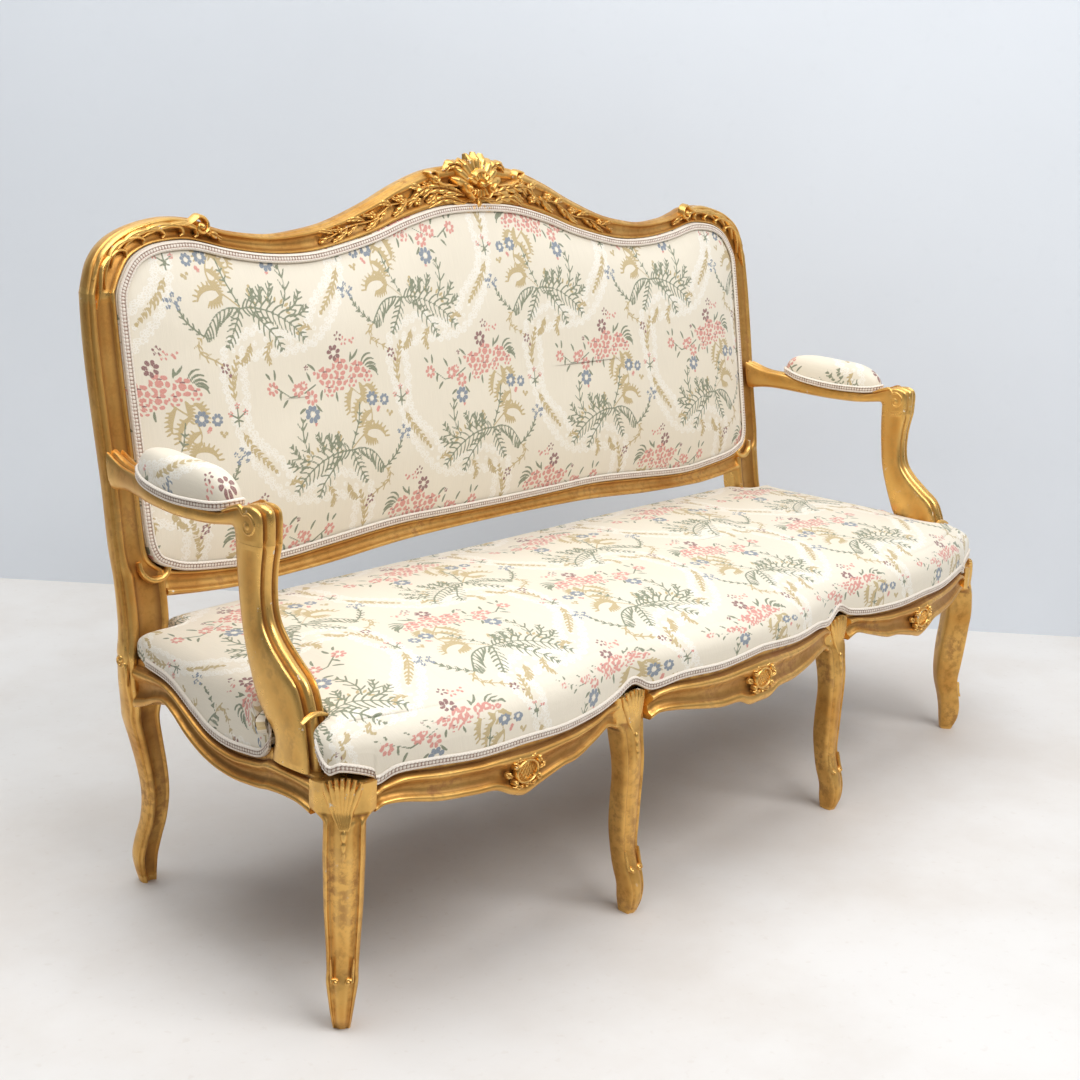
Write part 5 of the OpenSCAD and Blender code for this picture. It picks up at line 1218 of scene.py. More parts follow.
@dataclass
class SeatFrame:
    """The serpentine front rails and the side rails.

    Attributes:
        finish: gilding of the frame.
    """

    finish: bpy.types.Material
    section: Array = field(
        default_factory=lambda: moulding((0, 11.6), (0, 4.5, 0), (11, 3, 3), (12.5, 6, 0), (38, 4, -5.5),
                                         (39.5, 2.6, 0), (50, 4, 3.4), (53, 10.5, 0), (60, 11.6, 0)))
    front: Table = Table(
        ((0, 1, .8, 1.04), (.035, 1, .803, 1.036), (.064, .99, .832, 1.028), (.125, .955, .838, 1.019),
         (.192, .886, .864, 1.019), (.25, .77, .884, 1.022), (.285, .68, .884, 1.01), (.304, .635, .862, .998),
         (.35, .57, .84, 1.045), (.396, .58, .873, 1.005), (.427, .61, .898, .995), (.466, .68, .875, .982),
         (.53, .77, .834, .978), (.57, .796, .828, .978), (.632, .81, .795, .982), (.668, .808, .775, .99),
         (.699, .8, .795, .992), (.735, .775, .834, .989), (.773, .727, .841, .988), (.848, .6, .855, .998),
         (.912, .455, .884, 1.008), (.947, .35, .887, .985), (.963, .3, .868, .967), (1, .18, .86, 1)))
    side: Table = Table(
        ((.07, 1.038, .853, 1), (.13, 1.036, .872, 1), (.2, 1.034, .874, 1), (.27, 1.033, .866, 1),
         (.3, 1.032, .857, .985), (.345, 1.031, .85, .973), (.42, 1.03, .844, .96), (.5, 1.027, .85, .966),
         (.555, 1.024, .862, .98), (.61, 1.02, .88, 1.005), (.68, 1.014, .914, 1.043), (.755, 1.007, .966, 1.078),
         (.82, 1, .99, 1.094), (.877, .995, .97, 1.1), (.94, .991, .93, 1.104), (1, .989, .9, 1.108)))

    def front_at(self, x: Array | float) -> tuple[Array, Array, Array]:
        """Place back, lower edge and upper edge of the front rails at places across."""
        r = self.front.at(np.abs(np.asarray(x, float)).ravel() / PLAN.corner_leg_x)
        shape = np.shape(x)
        return tuple(
            v.reshape(shape) for v in (-r[:, 1] * PLAN.front_bow, r[:, 2] * PLAN.leg_h, r[:, 3] * PLAN.leg_h))

    def side_at(self, y: Array | float) -> tuple[Array, Array, Array]:
        """Place across, lower edge and upper edge of the side rails at places back."""
        r = self.side.at(np.asarray(y, float).ravel() / PLAN.seat_depth)
        shape = np.shape(y)
        return tuple(
            v.reshape(shape) for v in (r[:, 1] * PLAN.corner_leg_x, r[:, 2] * PLAN.leg_h, r[:, 3] * PLAN.leg_h))

    def ring(self, low: float, top: float, tack: float) -> Array:
        """Section of a rail as depth behind its face and height."""
        face = np.stack([self.section[:, 1], mix(low, top, self.section[:, 0] / 60)], 1)
        strip = [(11.6, top + tack), (18.4, top + tack), (20, PLAN.leg_h), (44, PLAN.leg_h), (44, min(low, 322))]
        return np.concatenate([face[:-1] if tack == 0 else face, np.array(strip)])

    def front_rail(self, start: float, end: float, step: float = 3.0) -> Skin:
        """A front rail between two places across."""
        xs = np.linspace(start, end, int((end - start) / step) + 1)
        y, low, top = self.front_at(xs)
        rings = []
        for i, x in enumerate(xs):
            p = self.ring(low[i], top[i], PLAN.tack_h)
            rings.append(np.stack([np.full(len(p), x), y[i] + p[:, 0], p[:, 1]], 1))
        return Skin(np.array(rings))

    def side_rail(self) -> Skin:
        """A side rail, with its tacking strip behind the arm's foot."""
        ys = np.concatenate(
            [np.linspace(-49.6 + 0.5, 126.0, 50), np.linspace(126.7, 446.4, 110), np.linspace(447, 479.7, 12)])
        ys = np.maximum(ys, self.from_y + 0.3)
        x, low, top = self.side_at(ys)
        rings = []
        for i, y in enumerate(ys):
            tack = PLAN.tack_h if 126.4 < y < 446.5 else 0.01
            p = self.ring(low[i], top[i], tack)
            rings.append(np.stack([x[i] - p[:, 0], np.full(len(p), y), p[:, 1]], 1))
        return Skin(np.array(rings))

    @property
    def corner_head_y(self) -> float:
        """Middle of a corner leg's head."""
        return float(self.front_at(PLAN.corner_leg_x - PLAN.corner_head_half)[0]) + PLAN.corner_head_half

    @property
    def from_y(self) -> float:
        """Front end of the side rails."""
        return self.corner_head_y + PLAN.corner_head_half

    @property
    def face(self) -> Face:
        """Face of the front rails, for carving."""
        return Face(lambda x, z, d: np.stack([x, self.front_at(x)[0] + d + 4.0, z], -1))

    def build(self) -> None:
        """Builds the rails."""
        head = PLAN.middle_head_half + PLAN.clearance
        end = PLAN.corner_leg_x - PLAN.corner_head_half - PLAN.clearance
        both_sides("front_rail", [self.front_rail(PLAN.middle_leg_x + head, end)], self.finish, Slot.GILT)
        centre = self.front_rail(head - PLAN.middle_leg_x, PLAN.middle_leg_x - head)
        make_piece("front_rail_centre_shape", [centre], self.finish, Slot.GILT, ["front_rail_centre"])
        both_sides("side_rail", [self.side_rail()], self.finish, Slot.GILT)


@dataclass(frozen=True)
class Stand:
    """How one front leg stands.

    Attributes:
        table: its shape, as shares of its height and width.
        width: its nominal width.
        at: place of its axis.
        angle: direction that it faces, in degrees.
        head: section of its head.
        head_at: place of its head.
    """

    table: Table
    width: float
    at: tuple[float, float]
    angle: float
    head: Array
    head_at: tuple[float, float]


@dataclass
class Legs:
    """The cabriole front legs, with their fans, drops and ear scrolls.

    Attributes:
        finish: gilding of the frame.
        frame: the seat frame whose rails they carry.
    """

    finish: bpy.types.Material
    frame: SeatFrame
    half: tuple = ((.28, 0), (.44, .14), (.5, .5), (.5, .8), (.42, .93), (.33, .88), (.14, 1))
    corner: Table = Table(
        ((0, .25, -.14, .42), (.06, .43, -.19, .52), (.13, .47, -.24, .64), (.2, .4, -.33, .76),
         (.235, .33, -.4, .75), (.31, .28, -.52, .79), (.4, .34, -.57, .85), (.52, .41, -.55, .93),
         (.63, .46, -.49, .96), (.72, .5, -.46, .99), (.8, .47, -.48, .98), (.85, .43, -.49, .98)))
    middle: Table = Table(
        ((0, .36, -.18, .46), (.06, .52, -.24, .6), (.13, .53, -.26, .72), (.2, .38, -.42, .8),
         (.235, .26, -.5, .78), (.31, .12, -.6, .83), (.4, .12, -.68, .89), (.52, .13, -.67, .94),
         (.63, .15, -.64, .97), (.72, .14, -.72, .99), (.8, .06, -.86, 1.02), (.85, 0, -.92, 1.1)))
    corner_head: tuple = ((.06, -1.354), (.707, -.707), (1.414, 0), (1.18, .3), (.86, .5), (.55, .62), (.2, .68))
    middle_head: tuple = ((.3, 0), (1, 0), (1, .45), (1, .82), (.82, .96), (.5, 1.06), (.18, 1.1))

    def shaft(self, leg: Stand) -> Skin:
        """A leg from its foot to the top of its head."""
        section = half_section(self.half)
        rings = []
        for r in leg.table.at(np.linspace(0, .85, 90)):
            own = np.stack([section[:, 0] * r[3], mix(r[2], r[1], section[:, 1])], 1) * leg.width
            rings.append(turned(rounded(own, 5), leg.at, leg.angle, r[0] * PLAN.leg_h))
        top = filled_in(leg.head, 5)
        start, full = rings[-1], turned(top, leg.head_at, leg.angle, .89 * PLAN.leg_h)
        for s in (.25, .5, .75, 1):
            rings.append(mix(start, full, s * s * (3 - 2 * s)) * (1, 1, 0) + (0, 0, mix(.85, .89, s) * PLAN.leg_h))
        rings.append(turned(top, leg.head_at, leg.angle, PLAN.leg_h))
        return Skin(np.array(rings))

    def front_of(self, leg: Stand) -> Face:
        """The front face of a leg, as places to a side, up and behind."""
        c, s = toward(math.radians(leg.angle))
        order = np.argsort(leg.head[:, 0])
        front = leg.head[order][leg.head[order][:, 1] > np.median(leg.head[:, 1])]

        def place(x: Array, z: Array, d: Array) -> Array:
            """Places on the face."""
            r = leg.table.at(np.clip(np.ravel(z) / PLAN.leg_h, 0, .85)).reshape(np.shape(z) + (4,))
            up = np.clip((z / PLAN.leg_h - .83) / .07, 0, 1)
            up = up * up * (3 - 2 * up)
            plan = mix(np.array(leg.at), np.array(leg.head_at), up[..., None])
            leg_out = r[..., 1] * leg.width * (1 - 0.1 * np.abs(x) / leg.width)
            out = mix(leg_out, np.interp(x, front[:, 0], front[:, 1]), up) - d
            return np.stack([plan[..., 0] + out * c - x * s, plan[..., 1] + out * s + x * c, z], -1)
        return Face(place)

    def ornament(self, face: Face, half: float, fan_low: float) -> list[Skin]:
        """The fan at the top of a leg, its hanging husks, the edge scrolls and the ears at the ankle."""
        top = PLAN.leg_h
        made = []
        for k in range(7):
            t = (k - 3) / 3
            high = top + 9 - 7 * t * t
            line = [(t * 5, fan_low), (t * half * 0.42, mix(fan_low, high, 0.4)),
                    (t * half * 0.66, mix(fan_low, high, 0.75)), (t * half * 0.84, high)]
            made.append(face.carve(line, (1.6, 3.4, 4.6, 5.2, 2.6), 4.2, sunk=4))
        for k, z in enumerate((fan_low - 8, fan_low - 24, fan_low - 38)):
            made.append(
                face.carve([(0, z + 10), (0, z), (0, z - 10 + 2 * k)], (1.5, 5.0 - k, 4.2 - k, 0.8), 3.6 - 0.6 * k))
        for sign in (-1, 1):
            made += face.scroll((sign * 8.5, 73), 5.5, 1.8, 90 - sign * 90, sign * 300, 1.9, 2.8,
                                [(sign * 15.5, 104), (sign * 14.5, 86)])
        return made

    def build(self) -> None:
        """Builds the four front legs."""
        head = half_section(self.corner_head) * PLAN.corner_head_half
        at, head_at = (PLAN.corner_leg_x, 0), (PLAN.corner_leg_x, self.frame.corner_head_y)
        corner = Stand(self.corner, PLAN.corner_leg_w, at, -45, head, head_at)
        head = (half_section(self.middle_head) - (0, 1)) * (PLAN.middle_head_half, 49)
        head_y = float(self.frame.front_at(PLAN.middle_leg_x)[0]) + 5
        at, head_at = (PLAN.middle_leg_x, head_y - 10), (PLAN.middle_leg_x, head_y)
        middle = Stand(self.middle, PLAN.middle_leg_w, at, -90, head, head_at)
        for name, leg, half, fan_low in (("front_leg", corner, 29, 292), ("front_leg_middle", middle, 30, 294)):
            skins = [self.shaft(leg)] + self.ornament(self.front_of(leg), half, fan_low)
            both_sides(name, skins, self.finish, Slot.GILT)


@dataclass
class Arms:
    """The arm rails and their set-back supports.

    Attributes:
        finish: gilding of the frame.
        section: outline of an arm, across and up.
        rail: the arm rails, as places back and up of their two faces, shift and width.
        support: the supports in the same way.
        foot_h: height at which the supports start.
        top_h: height at which they meet the rails.
    """

    finish: bpy.types.Material
    section: tuple = ((.3, 0), (.7, 0), (.9, .1), (1, .34), (1, .72), (.95, .9), (.84, .94), (.73, .84), (.6, .97),
                      (.4, .97), (.27, .84), (.16, .94), (.05, .9), (0, .72), (0, .34), (.1, .1))
    rail: Table = Table(
        ((0, 1.108, 1.016, 1.09, .932, -.52, .76), (1, 1.02, .996, 1, .94, -.4, .76),
         (2, .913, .99, .913, .939, -.24, .84), (3, .83, .976, .83, .936, -.12, .95),
         (4, .69, .966, .69, .933, 0, 1), (5, .56, .967, .56, .936, 0, 1), (6, .48, .972, .485, .943, 0, .97),
         (7, .42, .988, .445, .947, 0, .97), (8, .37, 1, .434, .943, 0, 1), (9, .325, .998, .433, .937, 0, 1),
         (10, .304, .98, .433, .93, 0, 1), (11, .302, .924, .433, .924, 0, .98)))
    support: Table = Table(
        ((0, .302, 1, .433, 1, 0, .98), (1, .316, .869, .428, .855, 0, .9), (2, .318, .736, .418, .714, 0, .88),
         (3, .304, .632, .406, .598, 0, .9), (4, .268, .555, .388, .492, .02, .94),
         (5, .21, .477, .365, .385, .04, .98), (6, .15, .4, .338, .279, .06, 1),
         (7, .118, .288, .298, .192, .08, 1), (8, .1, .155, .252, .114, .1, 1), (9, .084, 0, .262, 0, .1, 1)))
    foot_h: float = 352.3
    top_h: float = 636.34

    def rings(self, table: Table, z0: float, z1: float, n: int) -> Array:
        """Rings of an arm along its table, with heights as shares between two levels."""
        p = rounded(self.section, 3)
        out = []
        for r in table.at(np.linspace(0, table.rows[-1][0], n)):
            top, low = np.array(
                (r[1] * PLAN.seat_depth, mix(z0, z1, r[2]))), np.array((r[3] * PLAN.seat_depth, mix(z0, z1, r[4])))
            q = mix(low, top, p[:, 1:])
            out.append(np.stack([PLAN.arm_x + (r[5] + (p[:, 0] - .5) * r[6]) * PLAN.arm_w,
                                 np.minimum(q[:, 0], PLAN.lean(q[:, 1]) - PLAN.clearance), q[:, 1]], 1))
        return np.array(out)

    def build(self) -> None:
        """Builds the arms with the scrolls on their knuckles and a carved collar on the supports' feet."""
        rail = [Skin(self.rings(self.rail, 0, PLAN.arm_h, 100))]
        for sign in (-1, 1):
            side = Face(lambda y, z, d, s=sign: np.stack([PLAN.arm_x + s * (PLAN.arm_w / 2 - 1.6 - d), y, z], -1))
            rail += side.scroll((172, 661), 17, 3.5, 60, 430, 3.2, 2.6, [(225, 672), (205, 680), (190, 684)])
        both_sides("arm_rail", rail, self.finish, Slot.GILT)
        support = [Skin(self.rings(self.support, self.foot_h, self.top_h, 90))]
        rows = self.support.at(np.linspace(9, 0, 60))
        height, before = mix(self.foot_h, self.top_h, rows[:, 2]), rows[:, 1] * PLAN.seat_depth
        front = Face(lambda x, z, d: np.stack([PLAN.arm_x + 4 + x, np.interp(z, height, before) + d + 1.5, z], -1))
        support.append(
            front.carve([(-24, 421), (-12, 426), (0, 428), (12, 426), (24, 421)], (2, 3.2, 3.4, 3.2, 2), 4))
        both_sides("arm_support", support, self.finish, Slot.GILT)


def whole_loop(half: Array) -> Array:
    """A closed loop from the half that runs on the right, from the middle to the middle."""
    return np.concatenate([half, (half * np.where(np.arange(half.shape[1]) == 0, -1, 1))[-2:0:-1]])


def inward(plane: Array) -> Array:
    """Unit vectors that point into a loop, in its own plane."""
    t = np.roll(plane, -1, 0) - np.roll(plane, 1, 0)
    n = beside(t)
    n /= np.maximum(np.linalg.norm(n, axis=1, keepdims=True), 1e-9)
    area = (plane[:, 0] * np.roll(plane[:, 1], -1) - np.roll(plane[:, 0], -1) * plane[:, 1]).sum()
    return n if area > 0 else -n


def raised(plan: Array, z: Array | float) -> Array:
    """Points of a plan at their heights."""
    return np.concatenate([plan, np.broadcast_to(z, len(plan))[:, None]], 1)


def middle_line(loop: Array, reach: float, level: float) -> Array:
    """Nearest place to each point of a loop on a straight line that runs across its middle."""
    return np.stack([np.clip(loop[:, 0], -reach, reach), np.full(len(loop), level)], 1)


def softened(values: Array, times: int) -> Array:
    """Values around a loop, evened out with their neighbours."""
    for _ in range(times):
        values = (np.roll(values, 1, 0) + 2 * values + np.roll(values, -1, 0)) / 4
    return values


def braid(base: Array, wide: Array, out: Array, closed: bool = True) -> Skin:
    """Lays a gimp of two cords and a ladder of thread along a line.

    Args:
        base: points of its lower edge.
        wide: unit vectors across its width at them.
        out: unit vectors off the cloth at them.
        closed: whether it runs all round.

    Returns:
        Its skin, with the ladder marked as thread.
    """
    both = np.concatenate([base, wide, out], 1)
    if closed:
        both = np.concatenate([both, both[:1]])
    run = run_along(both[:, :3])
    n = max(8, int(run[-1] / 1.15))
    at = np.linspace(0, run[-1], n, endpoint=not closed)
    both = np.stack([np.interp(at, run, both[:, k]) for k in range(9)], 1)
    base, wide, out = both[:, :3], both[:, 3:6], both[:, 6:]
    h = np.array([0.2, 0.6, 1.9, 3.4, 4.4, 5.3, 7.0, 8.7, 9.6, 10.6, 12.1, 13.4, 13.8, 13.8, 7.0, 0.2])
    lift = np.array([0.5, 2.0, 3.5, 3.7, 2.0, 3.0, 3.3, 3.0, 2.0, 3.7, 3.5, 2.0, 0.5, 0.0, 0.0, 0.0])
    cord = np.array([0, .6, 1, 1, 0, 0, 0, 0, 0, 1, 1, .6, 0, 0, 0, 0])
    inner = np.array([0, 0, 0, 0, .3, 1, 1, 1, .3, 0, 0, 0, 0, 0, 0, 0])
    lines = np.array([0, 0, 0, .1, .75, .2, 0, .2, .75, .1, 0, 0, 0, 0, 0, 0])
    wave = np.sin(2 * math.pi * (at[:, None] / 5.6 + np.abs(h - 7) / 9.0))
    gap = np.clip(np.sin(2 * math.pi * at[:, None] / 5.6) * 2.2 - 0.9, 0, 1)
    height = lift * (1 + 0.14 * cord * wave) - inner * gap * 1.2
    rings = base[:, None] + wide[:, None] * h[:, None] + out[:, None] * (height[..., None] + 0.25)
    thread = np.clip(lines + inner * gap * 0.85 + cord * np.clip(-wave - 0.4, 0, 1) * 0.4, 0, 1)
    return Skin(rings, looped=closed, marks={"thread": thread})


@dataclass
class ClothLook:
    """The brocade with its pattern, shared by all covers.

    Attributes:
        finish: its material.
        fields: its flowers.
    """

    finish: bpy.types.Material
    fields: ThreadFields

    def marks(self, u: Array, v: Array) -> dict[str, Array]:
        """Attributes for places across and up the cloth, in millimetres."""
        marks = self.fields.at(u, v)
        marks["cloth"] = np.stack([u, v, 0 * u], -1) * 0.001
        return marks


def mapped(points: Array, values: Array, to: Array, cell: float, blur: int) -> Array:
    """Reads values from a blurred map of those at scattered points.

    Args:
        points: places of the known values, in two columns.
        values: the known values.
        to: places at which to read.
        cell: mesh width of the map.
        blur: how many times it is blurred.

    Returns:
        The value at each place.
    """
    low = points.min(0) - 6 * cell
    at = np.rint((points - low) / cell).astype(int)
    total = np.zeros((2, *(at.max(0) + 7)))
    np.add.at(total[0], tuple(at.T), values)
    np.add.at(total[1], tuple(at.T), 1)
    for _ in range(2 * blur):
        total[:, 1:-1] = (total[:, :-2] + 2 * total[:, 1:-1] + total[:, 2:]) / 4
        total = total.swapaxes(1, 2)
    level = total[0] / np.maximum(total[1], 1e-6)
    to = (to - low) / cell
    i = to.astype(int)
    x, y = (to - i)[..., 0], (to - i)[..., 1]
    i, j = i[..., 0], i[..., 1]
    return mix(mix(level[i, j], level[i + 1, j], x), mix(level[i, j + 1], level[i + 1, j + 1], x), y)


@dataclass(frozen=True)
class Swelling:
    """Cloth simulation that lets a cover swell and settle over its stuffing.

    Attributes:
        pressure: pressure of the stuffing.
        frames: how long it settles.
        most: how far a point may move, in millimetres.
        cell: mesh width of the map over which the swelling is smoothed.
    """

    pressure: float = 14.0
    frames: int = 14
    most: float = 8.0
    cell: float = 13.0

    def settle(self, rings: Array, held: int, way: Array) -> tuple[Array, Array]:
        """Swells a coarse copy of a cover.

        Args:
            rings: its rings in millimetres.
            held: how many of its first rings are tacked down.
            way: direction in which it swells.

        Returns:
            Its points and how far each swells, in millimetres.
        """
        bm = bmesh.new()
        Skin(rings).add_to(bm)
        bmesh.ops.holes_fill(bm, edges=[e for e in bm.edges if e.is_boundary], sides=0)
        bmesh.ops.recalc_face_normals(bm, faces=bm.faces)
        mesh = bpy.data.meshes.new("swelling")
        bm.to_mesh(mesh)
        bm.free()
        tree = kdtree.KDTree(len(mesh.vertices))
        for v in mesh.vertices:
            tree.insert(v.co, v.index)
        tree.balance()
        piece = bpy.data.objects.new("swelling", mesh)
        scene = bpy.context.scene
        scene.collection.objects.link(piece)
        piece.vertex_groups.new(
            name="held").add(sorted({tree.find(p)[1] for p in PLAN.placed(rings[:held])}), 1.0, "REPLACE")
        cloth = piece.modifiers.new("cloth", "CLOTH")
        own = cloth.settings
        own.quality, own.mass, own.vertex_group_mass = 6, 0.3, "held"
        own.tension_stiffness = own.compression_stiffness = 14
        own.shear_stiffness, own.bending_stiffness = 8, 1.5
        own.use_pressure, own.uniform_pressure_force = True, self.pressure
        own.effector_weights.gravity = 0
        cloth.collision_settings.use_collision = False
        for number in range(1, self.frames + 1):
            scene.frame_set(number)
        moved, rest = np.zeros((2, len(mesh.vertices) * 3), np.float32)
        piece.evaluated_get(bpy.context.evaluated_depsgraph_get()).data.vertices.foreach_get("co", moved)
        mesh.vertices.foreach_get("co", rest)
        scene.frame_set(1)
        bpy.data.objects.remove(piece)
        bpy.data.meshes.remove(mesh)
        out = (moved - rest).reshape(-1, 3) @ way
        return rest.reshape(-1, 3) * 1000 + np.array((0, PLAN.plan_mid, 0)), out * 1000

    def swell(self, fine: Array, coarse: Array, held: int, way: Sequence[float], edge: int) -> Array:
        """Finds how far a fine cover swells from its coarse copy, smoothed over a map seen from outside."""
        points, out = self.settle(coarse, held, np.array(way))
        flat = [k for k in range(3) if abs(way[k]) < 0.5]
        grown = mapped(points[:, flat], out, fine[..., flat], self.cell, 14)
        LOG.info("swelling: %.1f to %.1f mm", grown.min(), grown.max())
        sets_in = np.clip(np.arange(len(fine)) / edge, 0, 1)[:, None]
        return np.maximum(self.most * np.tanh(1.4 * grown / self.most), -1.2) * sets_in ** 2 * (3 - 2 * sets_in)


@dataclass
class SeatUpholstery:
    """Webs, hessian, stuffing, cover and gimp of the seat.

    Attributes:
        look: the brocade.
        braid: material of the gimp.
        jute: material of webs and hessian.
        hair: material of the stuffing.
        frame: the seat frame that it is fixed to.
        inset: how far behind the rails' faces the cover stands.
        rounding: how far its edge rounds inwards.
        dome: distance from the edge at which the dome is full.
        slack: how far the cover lies below the crown of the CAD before it swells.
        spine_x: half the length of the middle line that the cloth runs to.
        spine_y: place of that line, from front to back.
        side_pass: place across where the cloth passes beside the arms.
        rear_y: rear edge of the seat.
        rear_h: height of its lower edge there.
        pattern_at: place on the seat where the pattern starts.
        front_places: points of the edge along the front, as shares of the width.
        corner_places: points round the arm's foot: across, back, height of the edge, overhang.
        side_places: points along the side, as shares of the depth.
        corner_ways: where the cloth from the corner's points passes, from front to back.
        corner_fullness: how far it rounds over at those points.
        side_ways: where the cloth from the side's points passes.
    """

    look: ClothLook
    braid: bpy.types.Material
    jute: bpy.types.Material
    hair: bpy.types.Material
    frame: SeatFrame
    inset: float = 7.2
    rounding: float = 32
    dome: float = 190
    slack: float = 6
    spine_x: float = 600.5
    spine_y: float = 220.8
    side_pass: float = 778
    rear_y: float = 517.92
    rear_h: float = 400.3
    pattern_at: tuple[float, float] = (25.0, -60.0)
    front_places: tuple = (0, .125, .23, .3, .35, .4, .47, .57, .668, .77, .87, .925, .957)
    corner_places: tuple = (
        (-.66, -.037, 1.003, 0), (.26, -.012, 1.045, 0), (.5, .012, 1.032, 0), (.54, .04, 1.07, .01),
        (.44, .066, 1.12, .03), (0, .076, 1.13, .037), (-.4, .08, 1.12, .03), (-.43, .13, 1.06, .02),
        (-.43, .22, 1.06, .04), (-.4, .285, 1.1, .065), (0, .295, 1.12, .075), (.34, .287, 1.1, .08),
        (.47, .262, 1.05, .09))
    side_places: tuple = (.3, .37, .46, .55, .64, .78, .94)
    corner_ways: tuple = (-16, -8, 0, 8, 15, 24, 34, 70, 116, 152, 166, 178, 190)
    corner_fullness: tuple = (1, 1, 1, .9, .6, .3, .2, .15, .15, .2, .3, .6, .9)
    side_ways: tuple = (205, 215, 234, 268, 307, 372, 425)

    def halfway(self, x: float, y: float) -> tuple[float, float]:
        """Place half way from a point to the spine."""
        return mix(x, min(x, self.spine_x), .5), mix(y, self.spine_y, .5)

    def half(self) -> tuple[Array, int]:
        """Right half of the seat's edge, and how many of its points carry the gimp.

        Each point is its place across and back, the height of its lower and of its rounded upper
        edge, how far the upper edge stands further back, the place that the cloth passes on its
        way to the middle of the seat, and how far it rounds over.
        """
        edge, back = PLAN.seat_edge_h, mix(PLAN.seat_edge_h, PLAN.seat_crown_h, .5)
        rows = []
        front_x = np.array(self.front_places) * PLAN.corner_leg_x
        front_y, _, front_top = self.frame.front_at(front_x)
        for x, y, top in zip(front_x, front_y, front_top):
            way = mix(np.array(self.halfway(x, y)), np.array((x, y)), np.clip((x - 560) / 200, 0, 1))
            rows.append((x, y + self.inset, top, edge, 0, *way, 1))
        for (x, y, top, over), way, full in zip(self.corner_places, self.corner_ways, self.corner_fullness):
            rows.append((PLAN.arm_x + x * PLAN.arm_w, y * PLAN.seat_depth, top * PLAN.leg_h, mix(edge, back, y),
                         over * PLAN.seat_depth, self.side_pass, way, full))
        side_y = np.array(self.side_places) * PLAN.seat_depth
        side_x, _, side_top = self.frame.side_at(side_y)
        for x, y, top, s, way in zip(side_x, side_y, side_top, self.side_places, self.side_ways):
            over = max(0, .4 - s) * .8 * PLAN.seat_depth
            rows.append((x - self.inset, y, top, mix(edge, back, s), over, self.side_pass, way, 1))
        n = len(rows)
        for x, y, way in ((.99, .988, (760, 436)), (.897, .988, (738, 440)), (.89, 1.075, (715, 455))):
            rows.append((x * PLAN.back_half_w, y * PLAN.seat_depth, self.rear_h, back, 0, *way, .7))
        for x in np.array((.6, .3, 0)) * PLAN.back_half_w:
            rows.append((x, self.rear_y, self.rear_h, back, 0, *self.halfway(x, self.rear_y), .7))
        return np.array(rows, float), n

    def fine_loop(self, step: float) -> tuple[Array, Array]:
        """The whole edge with its points a step apart, and which of them carry the gimp."""
        half, n = self.half()
        front, rest = rounded(half[:n], 8, closed=False), half[n:]
        line = np.concatenate([raised(front, 0), raised(rest, 1)])
        run = run_along(line[:, :2])
        at = np.linspace(0, run[-1], int(run[-1] / step))
        line = np.stack([np.interp(at, run, line[:, k]) for k in range(9)], 1)
        line[:, 5] *= np.minimum(1, at / 10)
        half = whole_loop(line)
        half[len(line):, 5] *= -1
        return half[:, :8], half[:, 8] < 0.01

    def grid(self, loop: Array, sunk: float, rows: Array) -> tuple[Array, Array, Array]:
        """Rings of the padding over its edge.

        Args:
            loop: its edge.
            sunk: how far it lies inside the cover.
            rows: share of the rounding inwards, share of the way to the spine, share of the side's
                height, share of the crown, for each ring.

        Returns:
            The rings with their places across and up the cloth.
        """
        n = inward(loop[:, :2])
        step = float(np.linalg.norm(loop[1, :2] - loop[0, :2]))
        soft = -softened(n, int(1200 / step ** 2) + 2)
        soft /= np.linalg.norm(soft, axis=1, keepdims=True)
        spine = middle_line(loop, self.spine_x, self.spine_y)
        edge = loop[:, :2] + n * sunk
        over = edge + np.stack([0 * loop[:, 4], loop[:, 4]], 1)
        inner = softened(over - soft * (self.rounding * loop[:, 7:]), int(900 / step ** 2) + 2)
        bend = softened(loop[:, 5:7], int(300 / step ** 2) + 2) - (inner + spine) / 2
        tree = kdtree.KDTree(len(inner))
        for i, (a, b) in enumerate(inner):
            tree.insert((a, b, 0), i)
        tree.balance()
        places = np.array([mix(mix(mix(edge, over, high), inner, inset), spine, way) + bend * 2 * way * (1 - way)
                           for inset, way, high, _ in rows])
        inside = places[int(np.argmax(rows[:, 1] > 0)) - 1:]
        for _ in range(int(3000 / step ** 2) + 2):
            both = np.roll(inside, 1, 1) + np.roll(inside, -1, 1)
            inside[1:-1] = (inside[:-2] + inside[2:] + both[1:-1]) / 4
        rings = []
        for p, (inset, way, high, crown) in zip(places, rows):
            top, full = loop[:, 3] - sunk, PLAN.seat_crown_h - self.slack - sunk
            if way > 0:
                near = np.array([tree.find((a, b, 0))[2] for a, b in p])
                crown = .24 + .76 * (1 - (1 - np.minimum(1, near / self.dome)) ** 2.2)
                top = mix(top, PLAN.seat_edge_h + 14, way ** .5)
            rings.append(raised(p, mix(loop[:, 2], top, high) + (full - top) * crown))
        rings = np.array(rings)
        near = np.linalg.norm(places - loop[:, :2], axis=2)
        fall = np.maximum(0, loop[:, 3] + 7 - rings[..., 2]) + np.maximum(0, 0.6 * self.rounding - near)
        cloth = places + soft * fall[..., None]
        return rings, cloth[..., 0] - self.pattern_at[0], cloth[..., 1] - self.pattern_at[1]

    @staticmethod
    def rows(side: int, corner: int, top: int) -> Array:
        """Ring places from the edge to the spine, for so many rings up the side, round and over the top."""
        out = [(-.03 * math.sin(math.pi * h / .7), 0, h, 0) for h in np.linspace(0, .56, side)]
        for a in np.linspace(0, math.pi / 2, corner)[1:]:
            out.append((1 - math.cos(a), 0, .56 + .44 * math.sin(a), .24 * (1 - math.cos(a))))
        out += [(1, w, 1, 1) for w in np.linspace(0, 1, top)[1:]]
        return np.array(out)

